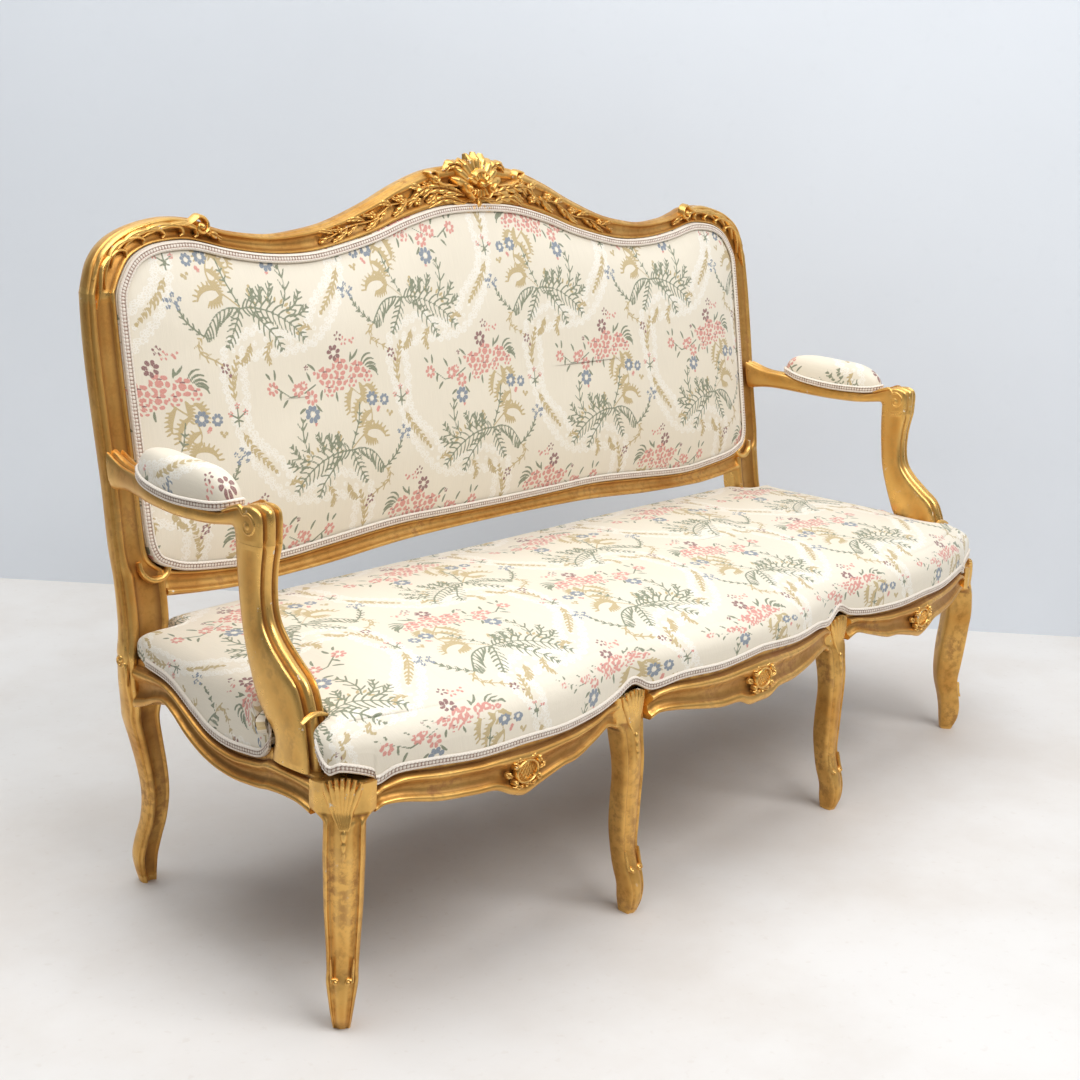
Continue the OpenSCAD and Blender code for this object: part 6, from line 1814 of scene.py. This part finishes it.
    def below(self, loop: Array, inset: float, base: float) -> Array:
        """Rings of the underside, from its middle out to the edge, clear of the tacking strips."""
        n = inward(loop[:, :2])
        spine = middle_line(loop, self.spine_x, self.spine_y)
        over = np.maximum(loop[:, 2] + 13, base)
        rings = []
        for step, way, z in ((16, 1, over), (16, .4, over), (16, 0, over), (inset + 3, 0, over),
                             (inset, 0, loop[:, 2] + 13), (inset, 0, loop[:, 2])):
            rings.append(raised(mix(loop[:, :2] + n * step, spine, way), base if way else z))
        return np.array(rings)

    def build(self) -> None:
        """Builds the layers of the seat from the webs up."""
        self.build_webs()
        self.build_hessian()
        self.build_stuffing()
        loop, carries = self.fine_loop(2.6)
        rings, u, v = self.grid(loop, 0, self.rows(16, 19, 112))
        under = self.below(loop, 3.6, 364)
        coarse, _ = self.fine_loop(12)
        lower = self.below(coarse, 3.6, 364)
        copy = np.concatenate([lower, self.grid(coarse, 0, self.rows(4, 5, 22))[0]])
        rings[..., 2] += Swelling().swell(rings, copy, len(lower) + 6, (0, 0, 1), 40)
        count = len(under)
        u, v = (np.concatenate([np.repeat(a[:1], count, 0), a]) for a in (u, v))
        cover = make_piece("seat_cover_cloth", [Skin(np.concatenate([under, rings]), marks=self.look.marks(u, v))],
                           self.look.finish, Slot.BROCADE, ["seat_cover"], crease=60)
        self.build_gimp(loop, carries)

    def build_gimp(self, loop: Array, carries: Array) -> None:
        """Lays the gimp along the lower edge of the cover, from one rear post round to the other."""
        n = -inward(loop[:, :2])
        start = int(np.argmax(~carries))
        end = len(loop) - int(np.argmax(~carries[::-1]))
        order = np.concatenate([np.arange(end, len(loop)), np.arange(0, start)])
        lo, out = loop[order], softened(raised(n, 0)[order], 2)
        gimp = make_piece("seat_gimp_braid", [braid(lo[:, :3], out * 0.05 + (0, 0, 1), out, closed=False)],
                          self.braid, Slot.BRAID, ["seat_gimp"])

    def build_stuffing(self) -> None:
        """Builds the hair under the cover."""
        loop, _ = self.fine_loop(9)
        rings, _, _ = self.grid(loop, 2.4, self.rows(4, 4, 24)[2:])
        skin = Skin(np.concatenate([self.below(loop, 15, 362)[:4], rings]))
        stuffing = make_piece("seat_stuffing_hair", [skin], self.hair, Slot.HAIR, ["seat_stuffing"], crease=60)

    def build_hessian(self) -> None:
        """Lays the hessian over the webs."""
        loop, _ = self.fine_loop(12)
        n = inward(loop[:, :2])
        spine = middle_line(loop, self.spine_x, self.spine_y)
        rings = []
        for way, z in [(w, 356.6) for w in np.linspace(1, 0, 8)] + [(w, 357.4) for w in np.linspace(0, 1, 8)]:
            rings.append(raised(mix(loop[:, :2] + n * 34, spine, way), z))
        rings = np.array(rings)
        rings[..., 0] = np.clip(rings[..., 0], -800, 800)
        marks = {"cloth": rings * 0.001}
        sheet = make_piece("seat_hessian_cloth", [Skin(rings, marks=marks)], self.jute, Slot.JUTE, ["seat_hessian"])

    def build_webs(self) -> None:
        """Weaves the jute webs over and under each other on the rails."""
        reach = 741.9
        xs = np.linspace(-reach, reach, PLAN.web_count)
        ys = np.array((.35, .51, .67, .83)) * PLAN.seat_depth
        skins = []
        for i, x in enumerate(xs):
            front = float(max(self.frame.front_at(np.array((x - 25, x, x + 25)))[0])) + 23
            line = np.linspace(front, 503.5, 90)
            skins.append(self.strap(line, x, ys, i, lambda a, b, z: np.stack([b, a, z], -1)))
        for j, y in enumerate(ys):
            end = float(self.frame.side_at(np.array((y + 25,)))[0][0]) - 23
            line = np.linspace(-end, end, 260)
            skins.append(self.strap(line, y, xs, j + 1, lambda a, b, z: np.stack([a, b, z], -1)))
        straps = make_piece("seat_webbing_straps", skins, self.jute, Slot.JUTE, ["seat_webbing"])

    @staticmethod
    def strap(line: Array, at: float, crossings: Array, turn: int, place: Callable, middle: float = 354.4,
              rise: float = 1.15) -> Skin:
        """One web that passes over and under the ones across it."""
        k = np.interp(line, crossings, np.arange(len(crossings)))
        z = middle + rise * np.cos(math.pi * (k + turn))
        across = np.array((-25, -24.5, 0, 24.5, 25, 24.5, 0, -24.5))
        off = np.array((0, .8, .8, .8, 0, -.8, -.8, -.8))
        a = np.repeat(line[:, None], 8, 1)
        rings = place(a, at + across + 0 * a, z[:, None] + off)
        return Skin(rings, marks={"cloth": np.stack([a, across + 0 * a, 0 * a], -1) * 0.001})


@dataclass
class BackUpholstery:
    """Webs, hessian, stuffing, covers and gimp of the back.

    Attributes:
        look: the brocade.
        braid: material of the gimp.
        jute: material of webs and hessian.
        hair: material of the stuffing.
        frame: the back frame that it is fixed to.
        tacked: depth of the tacked edge behind the face of the frame.
        slack: how far the cover lies behind the crown of the CAD before it swells.
        spine_x: half the length of the middle line that the cloth runs to.
        spine_z: height of that line.
        pattern_at: place on the back where the pattern starts.
    """

    look: ClothLook
    braid: bpy.types.Material
    jute: bpy.types.Material
    hair: bpy.types.Material
    frame: BackFrame
    tacked: float = 14.4
    slack: float = 5
    spine_x: float = 511.5
    spine_z: float = 745.2
    pattern_at: tuple[float, float] = (-40.0, 776.0)

    def loop(self, step: float) -> Array:
        """Edge of the back's fabric in its own plane."""
        xs = np.linspace(0, 722, 40)
        low = np.stack([xs, self.frame.lower_edges(xs)[0]], 1)
        rows = self.frame.stiles.at(np.linspace(.241, .87, 12))
        stile = np.stack([PLAN.back_half_w * rows[:, 1] - PLAN.post_w * rows[:, 2],
                          mix(PLAN.leg_h * PLAN.join_share, PLAN.post_top_h, rows[:, 0])], 1)
        crest = self.frame.crest_edges(np.linspace(0, 1, 60))[0]
        line = spaced(np.concatenate([low, stile, crest]), step)
        return softened(whole_loop(line), int(240 / step ** 2) + 1)

    def sheet_rings(self, loop: Array, inset: float, ways: Sequence[float], depth: Callable | float) -> Array:
        """Rings that shrink from the edge to the middle line."""
        n = inward(loop)
        spine = middle_line(loop, self.spine_x, self.spine_z)
        rings = []
        for way in ways:
            q = mix(loop + n * inset, spine, way)
            d = depth(way) if callable(depth) else depth
            rings.append(BACK_FACE.at(q[:, 0], q[:, 1], np.full(len(q), d)))
        return np.array(rings)

    def front(self, loop: Array, sunk: float, steps: int) -> Array:
        """Rings of the padded front, from its tacked edge to its middle line."""
        def crown(share: float) -> float:
            """Depth at a share of the way from the tacked edge to the crown."""
            return mix(self.tacked, self.slack - PLAN.back_crown, share) + sunk
        edge = [self.sheet_rings(loop, sunk + .3 + 14 * a, [0], crown(d)) for a,
                d in ((0, .1), (0, .3), (.25, .335), (.5, .355), (.75, .368), (1, .38))]
        over = self.sheet_rings(
            loop, sunk + 14.3, np.linspace(0, 1, steps)[1:], lambda w: crown(.38 + .62 * (1 - (1 - w) ** 4)))
        return np.concatenate(edge + [over])

    def two_faces(self, loop: Array, inset: float, count: int, near: float, far: float) -> Array:
        """Rings of a sheet's two faces, at depths behind the back's own plane."""
        ways = np.linspace(0, 1, count)
        return np.concatenate(
            [self.sheet_rings(loop, inset, ways[::-1], near), self.sheet_rings(loop, inset, ways, far)])

    def marks(self, rings: Array, side: int = 1) -> dict[str, Array]:
        """Pattern of the brocade on rings seen from the front or from behind."""
        x, z = self.pattern_at
        return self.look.marks(side * rings[..., 0] - x, (rings[..., 2] - z) * 1.014)

    def build(self) -> None:
        """Builds the layers of the back from the webs forward."""
        self.build_webs()
        loop = self.loop(11)
        rings = self.two_faces(loop, 3, 8, 9.2, 10.1)
        skin = Skin(rings, marks={"cloth": rings[..., [0, 2, 1]] * 0.001})
        sheet = make_piece("back_hessian_cloth", [skin], self.jute, Slot.JUTE, ["back_hessian"])
        rings = np.concatenate([self.sheet_rings(loop, 4, (1, .4, 0), 8.4), self.front(loop, 2.4, 20)[1:]])
        stuffing = make_piece(
            "back_stuffing_hair", [Skin(rings)], self.hair, Slot.HAIR, ["back_stuffing"], crease=60)
        fine = self.loop(2.6)
        self.build_cover(fine)
        self.build_gimp(fine)
        rings = self.two_faces(self.loop(5), -6, 40, PLAN.back_t + 0.3, PLAN.back_t + 2.2)
        skin = Skin(rings, marks=self.marks(rings, -1))
        sheet = make_piece("outside_back_cloth", [skin], self.look.finish, Slot.BROCADE, ["outside_back_cover"])

    def build_cover(self, fine: Array) -> None:
        """Stretches the crowned cover over the stuffing."""
        front = self.front(fine, 0, 100)
        coarse = self.loop(12)
        behind = self.sheet_rings(coarse, 1.2, (1, .4, 0), 11.6)
        copy = np.concatenate([behind, self.front(coarse, 0, 22)])
        front[..., 1] -= Swelling().swell(front, copy, len(behind) + 6, (0, -1, PLAN.lean_share), 24)
        rings = np.concatenate([self.sheet_rings(fine, 1.2, (1, .4, 0), 11.6), front])
        skin = Skin(rings, marks=self.marks(rings))
        cover = make_piece("back_cover_cloth", [skin], self.look.finish, Slot.BROCADE, ["back_cover"], crease=60)

    def build_gimp(self, fine: Array) -> None:
        """Lays the gimp round the cover."""
        low, high = (self.sheet_rings(fine, inset, [0], mix(self.tacked, -PLAN.back_crown, share) - .4)[0]
                     for inset, share in ((.5, .32), (14.5, .385)))
        out = np.tile((0, -1, PLAN.lean_share), (len(fine), 1)) / math.hypot(1, PLAN.lean_share)
        skin = braid(low, softened((high - low) / 14, 2), out)
        gimp = make_piece("back_gimp_braid", [skin], self.braid, Slot.BRAID, ["back_gimp"])

    def build_webs(self) -> None:
        """Weaves the webs inside the back."""
        xs = np.linspace(-.75, .75, 7) * PLAN.back_half_w
        zs = mix(PLAN.lower_rail_h, PLAN.post_top_h, np.array((.25, .54, .8)))
        inner = self.frame.crest_edges(np.linspace(0, 1, 200))[0]
        skins = []
        for i, x in enumerate(xs):
            high = min(float(np.interp(-abs(x + e), -inner[:, 0], inner[:, 1])) for e in (-25, 25)) + 7
            low = float(self.frame.lower_edges(np.array((x,)))[0][0]) - 7
            skins.append(SeatUpholstery.strap(np.linspace(low, high, 80), x, zs, i, lambda a, b,
                                              d: BACK_FACE.at(b, a, d), 12.4, 1.0))
        for j, z in enumerate(zs):
            skins.append(SeatUpholstery.strap(np.linspace(-769, 769, 260), z, xs, j + 1, BACK_FACE.at, 12.4, 1.0))
        straps = make_piece("back_webbing_straps", skins, self.jute, Slot.JUTE, ["back_webbing"])


@dataclass
class ArmPads:
    """Stuffed pads on the arms with the gimp around their feet.

    Attributes:
        look: the brocade.
        braid: material of the gimp.
        arms: the arms that they stand on.
    """

    look: ClothLook
    braid: bpy.types.Material
    arms: Arms

    def at(self, s: Array) -> tuple[Array, Array]:
        """Middle of the pad's underside and its fullness, at shares of its length."""
        y = 220.8 + s * PLAN.arm_pad_l
        rows = np.array(self.arms.rail.rows)[8:0:-1]
        top = Table(tuple((r[1] * PLAN.seat_depth, r[2] * PLAN.arm_h, r[5] * PLAN.arm_w) for r in rows)).at(y)
        full = (1 - np.abs(2 * s - 1) ** 3) ** .45
        return np.stack([PLAN.arm_x + top[:, 2], y, top[:, 1] + .6], 1), full

    def build(self) -> None:
        """Builds both pads and their gimps."""
        s = (1 - np.cos(np.linspace(0.03, math.pi - 0.03, 90))) / 2
        mid, full = self.at(s)
        a = np.radians(np.linspace(0, 180, 61))
        w, h = PLAN.arm_pad_w / 2 * full[:, None], PLAN.arm_pad_t * full[:, None]
        x = mid[:, :1] + w * np.sign(np.cos(a)) * np.abs(np.cos(a)) ** .8
        z = mid[:, 2:] + .3 + h * np.sin(a) ** .7
        rings = np.stack([x, np.repeat(mid[:, 1:2], len(a), 1), z], -1)
        arc = np.concatenate(
            [np.zeros((len(s), 1)), np.cumsum(np.linalg.norm(np.diff(rings, axis=1), axis=2), 1)], 1)
        u, v = arc - arc[:, -1:] / 2 + 175, rings[..., 1] + 40
        for made in both_sides(
                "arm_pad", [Skin(rings, marks=self.look.marks(u, v))], self.look.finish, Slot.BROCADE):
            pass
        s = (1 - np.cos(np.linspace(0.0, math.pi, 90))) / 2
        mid, full = self.at(np.clip(s, 0.002, 0.998))
        w = PLAN.arm_pad_w / 2 * full
        w = w[:, None] * (1, 0, 0)
        line = spaced(np.concatenate([mid + w, (mid - w)[::-1]]), 2.0)
        out = softened(raised(-inward(line[:, :2]), 0), 3)
        up = np.tile((0.0, 0.0, 1.0), (len(line), 1))
        for side, made in zip(
                Side, both_sides("arm_pad_gimp", [braid(line + out * .2, up, out)], self.braid, Slot.BRAID)):
            f"arm_pad_{side.word}_shape"


@dataclass
class Carving:
    """Leaves, shells, flowers and scrolls carved on the frame.

    Attributes:
        finish: gilding of the carving.
        back: the back frame.
        seat: the seat frame.
        rise: how far a leaf stands out.
    """

    finish: bpy.types.Material
    back: BackFrame
    seat: SeatFrame
    rise: float = 7

    def along_crest(self, s: Array | float, out: float) -> Array:
        """Places along the crest rail, at a share of its width outwards."""
        inner, outer = self.back.crest_edges(s)
        return mix(inner, outer, out)

    def crest_leaf(self, s0: float, s1: float, out0: float, out1: float, bow: float, width: float, lobes: int = 4,
                   rise: float | None = None) -> Skin:
        """A leaf that follows the crest rail from one share of its half to another."""
        s = np.linspace(s0, s1, 7)
        out = np.linspace(out0, out1, 7) + bow * np.sin(np.linspace(0, math.pi, 7))
        line = np.array([self.along_crest(a, b)[0] for a, b in zip(s, out)])
        return self.on_crest.carve(line, (width * .35, width, width * .95, width * .7, 1), rise or self.rise, lobes)

    @property
    def on_crest(self) -> Face:
        """Face of the back a little inside its cove."""
        return Face(lambda x, z, d: BACK_FACE.at(x, z, d + 3.0))

    def build(self) -> None:
        """Builds all the carving."""
        make_piece("crest_cartouche_carving", self.cartouche(), self.finish, Slot.GILT, ["crest_cartouche"])
        make_piece("shoulder_carving", mirrored_pair(self.shoulder()), self.finish, Slot.GILT, ["shoulder_scrolls"])
        make_piece("crest_garland", mirrored_pair(self.garland()), self.finish, Slot.GILT)
        make_piece("rail_cartouche_carving", [s for x in (-557, 0, 557) for s in self.rail_cartouche(x)],
                   self.finish, Slot.GILT, ["rail_cartouches"])
        make_piece("post_carving", mirrored_pair(self.post_clasps()), self.finish, Slot.GILT)

    def cartouche(self) -> list[Skin]:
        """The hooded shell at the middle of the crest, its leaves and its curls."""
        f, made = self.on_crest, []
        made += f.fan((0, 1062), 66, 15, 18, 162, 9, 0.98)
        made += f.fan((0, 1066), 36, 22, 30, 150, 7, 1.0)
        made += [f.carve([(-26, 1076), (-14, 1090), (0, 1095), (14, 1090), (26, 1076)], (3, 5.5, 6.5, 5.5, 3), 24)]
        made += [f.boss((0, 1072), 8, 25)]
        for k in range(5):
            x = (k - 2) * 8.5
            made.append(
                f.carve([(x * .7, 1066), (x, 1054), (x * 1.3, 1044 + abs(k - 2) * 3)], (1.6, 3.9, 3.2, .8), 17))
        leaves = (([(30, 1052), (56, 1058), (84, 1064), (112, 1064), (132, 1052)], (4, 11, 12, 9, 2), 12, 5),
                  ([(24, 1086), (44, 1102), (62, 1104), (76, 1094)], (4, 9, 8, 2), 13, 4),
                  ([(18, 1044), (40, 1040), (66, 1046), (92, 1046), (118, 1034)], (3, 8, 9, 7, 1), 9, 5),
                  ([(112, 1068), (136, 1062), (156, 1048)], (3, 7, 1), 9, 3),
                  ([(6, 1040), (16, 1030), (30, 1028), (44, 1032)], (3, 6, 5, 1), 9, 3))
        for sign in (-1, 1):
            own = np.array((sign, 1))
            made += f.scroll(
                (sign * 29, 1066), 11, 3, 90 - 60 * sign, -sign * 340, 3.4, 19, own * [(8, 1050), (20, 1049)])
            tail = own * [(52, 1068), (72, 1070), (92, 1072)]
            made += f.scroll((sign * 108, 1082), 13, 3.5, 90 - sign * 60, sign * 400, 4.2, 14, tail)
            made += [f.carve(own * line, widths, rise, lobes) for line, widths, rise, lobes in leaves]
            made += f.flower((sign * 148, 1044), 10, 6, 20)
        made.append(f.carve([(0, 1052), (0, 1040), (0, 1028)], (3, 7, 2), 12, 3))
        return made

    def shoulder(self) -> list[Skin]:
        """The curl on a shoulder with its row of leaves around the corner."""
        at = mix(self.along_crest(.38, 0)[0], self.along_crest(.38, 1)[0], .78)
        tail = [self.along_crest(a, .72)[0] for a in (.27, .32)]
        made = self.on_crest.scroll(tuple(at), 15, 3.5, 70, 400, 4.2, 12, tail)
        rim = [self.along_crest(a, .9)[0] for a in (.36, .27, .18, .1, .03)]
        made.append(self.on_crest.carve(rim, (2, 4, 3.6, 3, 1.5), 8))
        for k in range(5):
            s, size = .03 + .06 * k, .85 + .07 * k
            way = [(s - .08, .4), (s - .03, .6), (s + .03, .74), (s + .085, .62), (s + .105, .34), (s + .095, .16)]
            made.append(self.on_crest.carve([self.along_crest(a, b)[0] for a, b in way],
                                            (1, 3.4 * size, 5.2 * size, 6 * size, 4.6 * size, 1.8), 10))
        made.append(self.crest_leaf(.39, .45, .55, .45, .1, 6, 3, 6))
        return made

    def garland(self) -> list[Skin]:
        """Leaves and small flowers along the cove of the crest, from the cartouche outwards."""
        made = []
        stem = np.array([self.along_crest(s, .48 + .07 * math.sin(s * 75))[0] for s in np.linspace(.9, .635, 16)])
        made.append(self.on_crest.carve(stem, (2.0, 1.7, 1.2), 3.5))
        for k, s in enumerate((.885, .85, .815, .78, .75, .72, .69, .665)):
            size = 1 - .55 * (.885 - s) / .25
            way = 1 if k % 2 else -1
            made.append(self.crest_leaf(s, s - .03, .5, .5 + way * .3, way * .06, 8.5 * size, 3, 5.5))
            made.append(self.crest_leaf(s - .012, s - .032, .5, .5 - way * .22, 0, 5 * size, 2, 4.5))
            if k % 2 == 0:
                made += self.on_crest.flower(
                    tuple(self.along_crest(s - .016, .5 - way * .08)[0]), 9.5 * size + 1, 7, 25 * k)
            else:
                made.append(self.on_crest.boss(tuple(self.along_crest(s - .02, .5 - way * .1)[0]), 4.2 * size, 5.5))
        return made

    def rail_cartouche(self, x: float) -> list[Skin]:
        """An oval panel with a lattice between two scrolls, at the lowest point of a front rail."""
        f = self.seat.face
        _, low, top = (float(v[0]) for v in self.seat.front_at(np.array((x,))))
        z = (low + top) / 2 - 1
        oval = [(x + 21 * math.cos(a), z + 16 * math.sin(a)) for a in np.linspace(0, 2 * math.pi, 25)]
        made = [f.carve(oval, (2.6, 2.6), 7), f.boss((x, z), 18, 3.4)]
        for k in (-2, -1, 0, 1, 2):
            for sign in (-1, 1):
                reach = 11 - 1.8 * abs(k)
                at, way = np.array((x + k * 6.5, z)), np.array((reach * .7, sign * reach))
                made.append(f.carve([at - way, at + way], (1.1, 1.1), 4.6))
        for sx in (-1, 1):
            for sz in (-1, 1):
                made += f.scroll(
                    (x + sx * 25, z + sz * 12), 6, 1.8, 90 * sz - 40 * sx * sz, sx * sz * 300, 2.3, 7.5)
            for line, half in (([(26, -3), (33, 0), (40, 5)], 5.5), ([(5, 18), (14, 20), (23, 18)], 4),
                               ([(4, -19), (13, -21), (22, -18)], 4.5)):
                made.append(f.carve(np.array((x, z)) + np.array(line) * (sx, 1), (2, half, 1), 6, 3))
        made.append(f.carve([(x, z - 16), (x, z - 21), (x, z - 25)], (3, 5, 1), 6.5, 2))
        return made

    def post_clasps(self) -> list[Skin]:
        """The C-scroll clasps where the lower rail meets the posts, and the ears on the posts' sides."""
        f = self.on_crest
        made = [f.carve([(790, 530), (786, 512), (770, 500), (750, 502), (740, 514), (744, 526), (754, 524)],
                        (3, 5, 5.5, 5, 3.5), 6.5)]
        side = Face(lambda y, z, d: np.stack([np.full(np.shape(y), PLAN.back_half_w * 1.004 - d), y, z], -1))
        made += side.scroll((500, 388), 11, 2.6, 200, 400, 2.6, 3.2, [(486, 350), (487, 370)])
        return made


@dataclass
class Studio:
    """The pale room of the photograph, with its light and camera.

    Attributes:
        sky: strength of the even light.
        key: strength of the main lamp.
    """

    sky: float = 0.17
    key: float = 139.0

    def light(self, name: str, at: tuple[float, float, float], to: tuple[float, float, float],
              size: tuple[float, float], power: float, colour: tuple[float, float, float]) -> None:
        """Adds a soft lamp."""
        lamp = bpy.data.lights.new(name, "AREA")
        lamp.shape, lamp.size, lamp.size_y, lamp.energy, lamp.color = "RECTANGLE", size[0], size[1], power, colour
        made = bpy.data.objects.new(name, lamp)
        made.location = at
        made.rotation_euler = (Vector(to) - Vector(at)).to_track_quat("-Z", "Y").to_euler()
        bpy.context.scene.collection.objects.link(made)

    def ground(self) -> None:
        """Lays the floor and stands the wall behind the sofa."""
        for name, finish in (
                ("studio_floor", Ground()),
                ("studio_wall", Ground("wall", 0.9, colour=(228, 233, 239), mottle=(222, 227, 233), scale=0.8))):
            bm = bmesh.new()
            bmesh.ops.create_grid(bm, x_segments=1, y_segments=1, size=6)
            mesh = bpy.data.meshes.new(name)
            bm.to_mesh(mesh)
            bm.free()
            if name == "studio_wall":
                mesh.transform(
                    Matrix.Translation((0.824, 0.854, 5.9)) @ Matrix.Rotation(math.radians(-51.17), 4, "Z")
                    @ Matrix.Rotation(math.radians(90), 4, "X"))
            mesh.materials.append(finish.material())
            plane = bpy.data.objects.new(name, mesh)
            bpy.context.scene.collection.objects.link(plane)

    def camera(self) -> None:
        """Stands the camera where the photograph was taken."""
        yaw, pitch, roll = (math.radians(a) for a in (49.1076, -14.3746, 2.5341))
        ahead = Vector((math.sin(yaw) * math.cos(pitch), math.cos(yaw) * math.cos(pitch), math.sin(pitch)))
        right = Vector((math.cos(yaw), -math.sin(yaw), 0))
        up = right.cross(ahead)
        turned_right = right * math.cos(roll) + up * math.sin(roll)
        turned_up = up * math.cos(roll) - right * math.sin(roll)
        data = bpy.data.cameras.new("photo_camera")
        data.sensor_width, data.lens, data.clip_end = 36, 1679.32 / 1080 * 36, 100
        data.dof.use_dof = False
        made = bpy.data.objects.new("photo_camera", data)
        axes = Matrix((turned_right, turned_up, -ahead)).transposed().to_4x4()
        made.matrix_world = Matrix.Translation((-2.2122, -1.5086 - PLAN.plan_mid * 0.001, 1.2049)) @ axes
        bpy.context.scene.collection.objects.link(made)
        bpy.context.scene.camera = made

    def build(self) -> None:
        """Sets up the room."""
        scene = bpy.context.scene
        scene.view_settings.view_transform = "Standard"
        world = bpy.data.worlds.new("room")
        scene.world = world
        world.use_nodes = True
        back = world.node_tree.nodes["Background"]
        back.inputs["Color"].default_value = linear((232, 238, 246))
        back.inputs["Strength"].default_value = self.sky
        self.light("key", (0.0, -2.9, 4.0), (0, 0.2, 0.4), (3.4, 2.2), self.key, (0.99, 0.99, 1.0))
        self.light("top", (-1.3, 0.5, 4.2), (-0.6, 0.6, 0.3), (3.6, 3.0), self.key * 0.9, (0.98, 0.99, 1.0))
        self.ground()
        self.camera()


def main() -> None:
    """Builds the sofa's looks over its CAD nodes."""
    logging.basicConfig(level=logging.INFO, format="%(name)s: %(message)s")
    gilt, beech = Gilding().material(), BareBeech().material()
    look = ClothLook(Brocade().material(), ThreadFields())
    gimp, jute, hair = Braid().material(), Jute().material(), Hair().material()
    for name in ("rear_seat_rail", "seat_bearers", "corner_blocks", "back_braces"):
        node = bpy.data.objects[name]
        node.data.materials.clear()
        node.data.materials.append(beech)
    back, seat = BackFrame(gilt), SeatFrame(gilt)
    arms = Arms(gilt)
    back.build()
    seat.build()
    Legs(gilt, seat).build()
    arms.build()
    Carving(gilt, back, seat).build()
    SeatUpholstery(look, gimp, jute, hair, seat).build()
    BackUpholstery(look, gimp, jute, hair, back).build()
    ArmPads(look, gimp, arms).build()
    Studio().build()


if __name__ == "__main__":
    main()
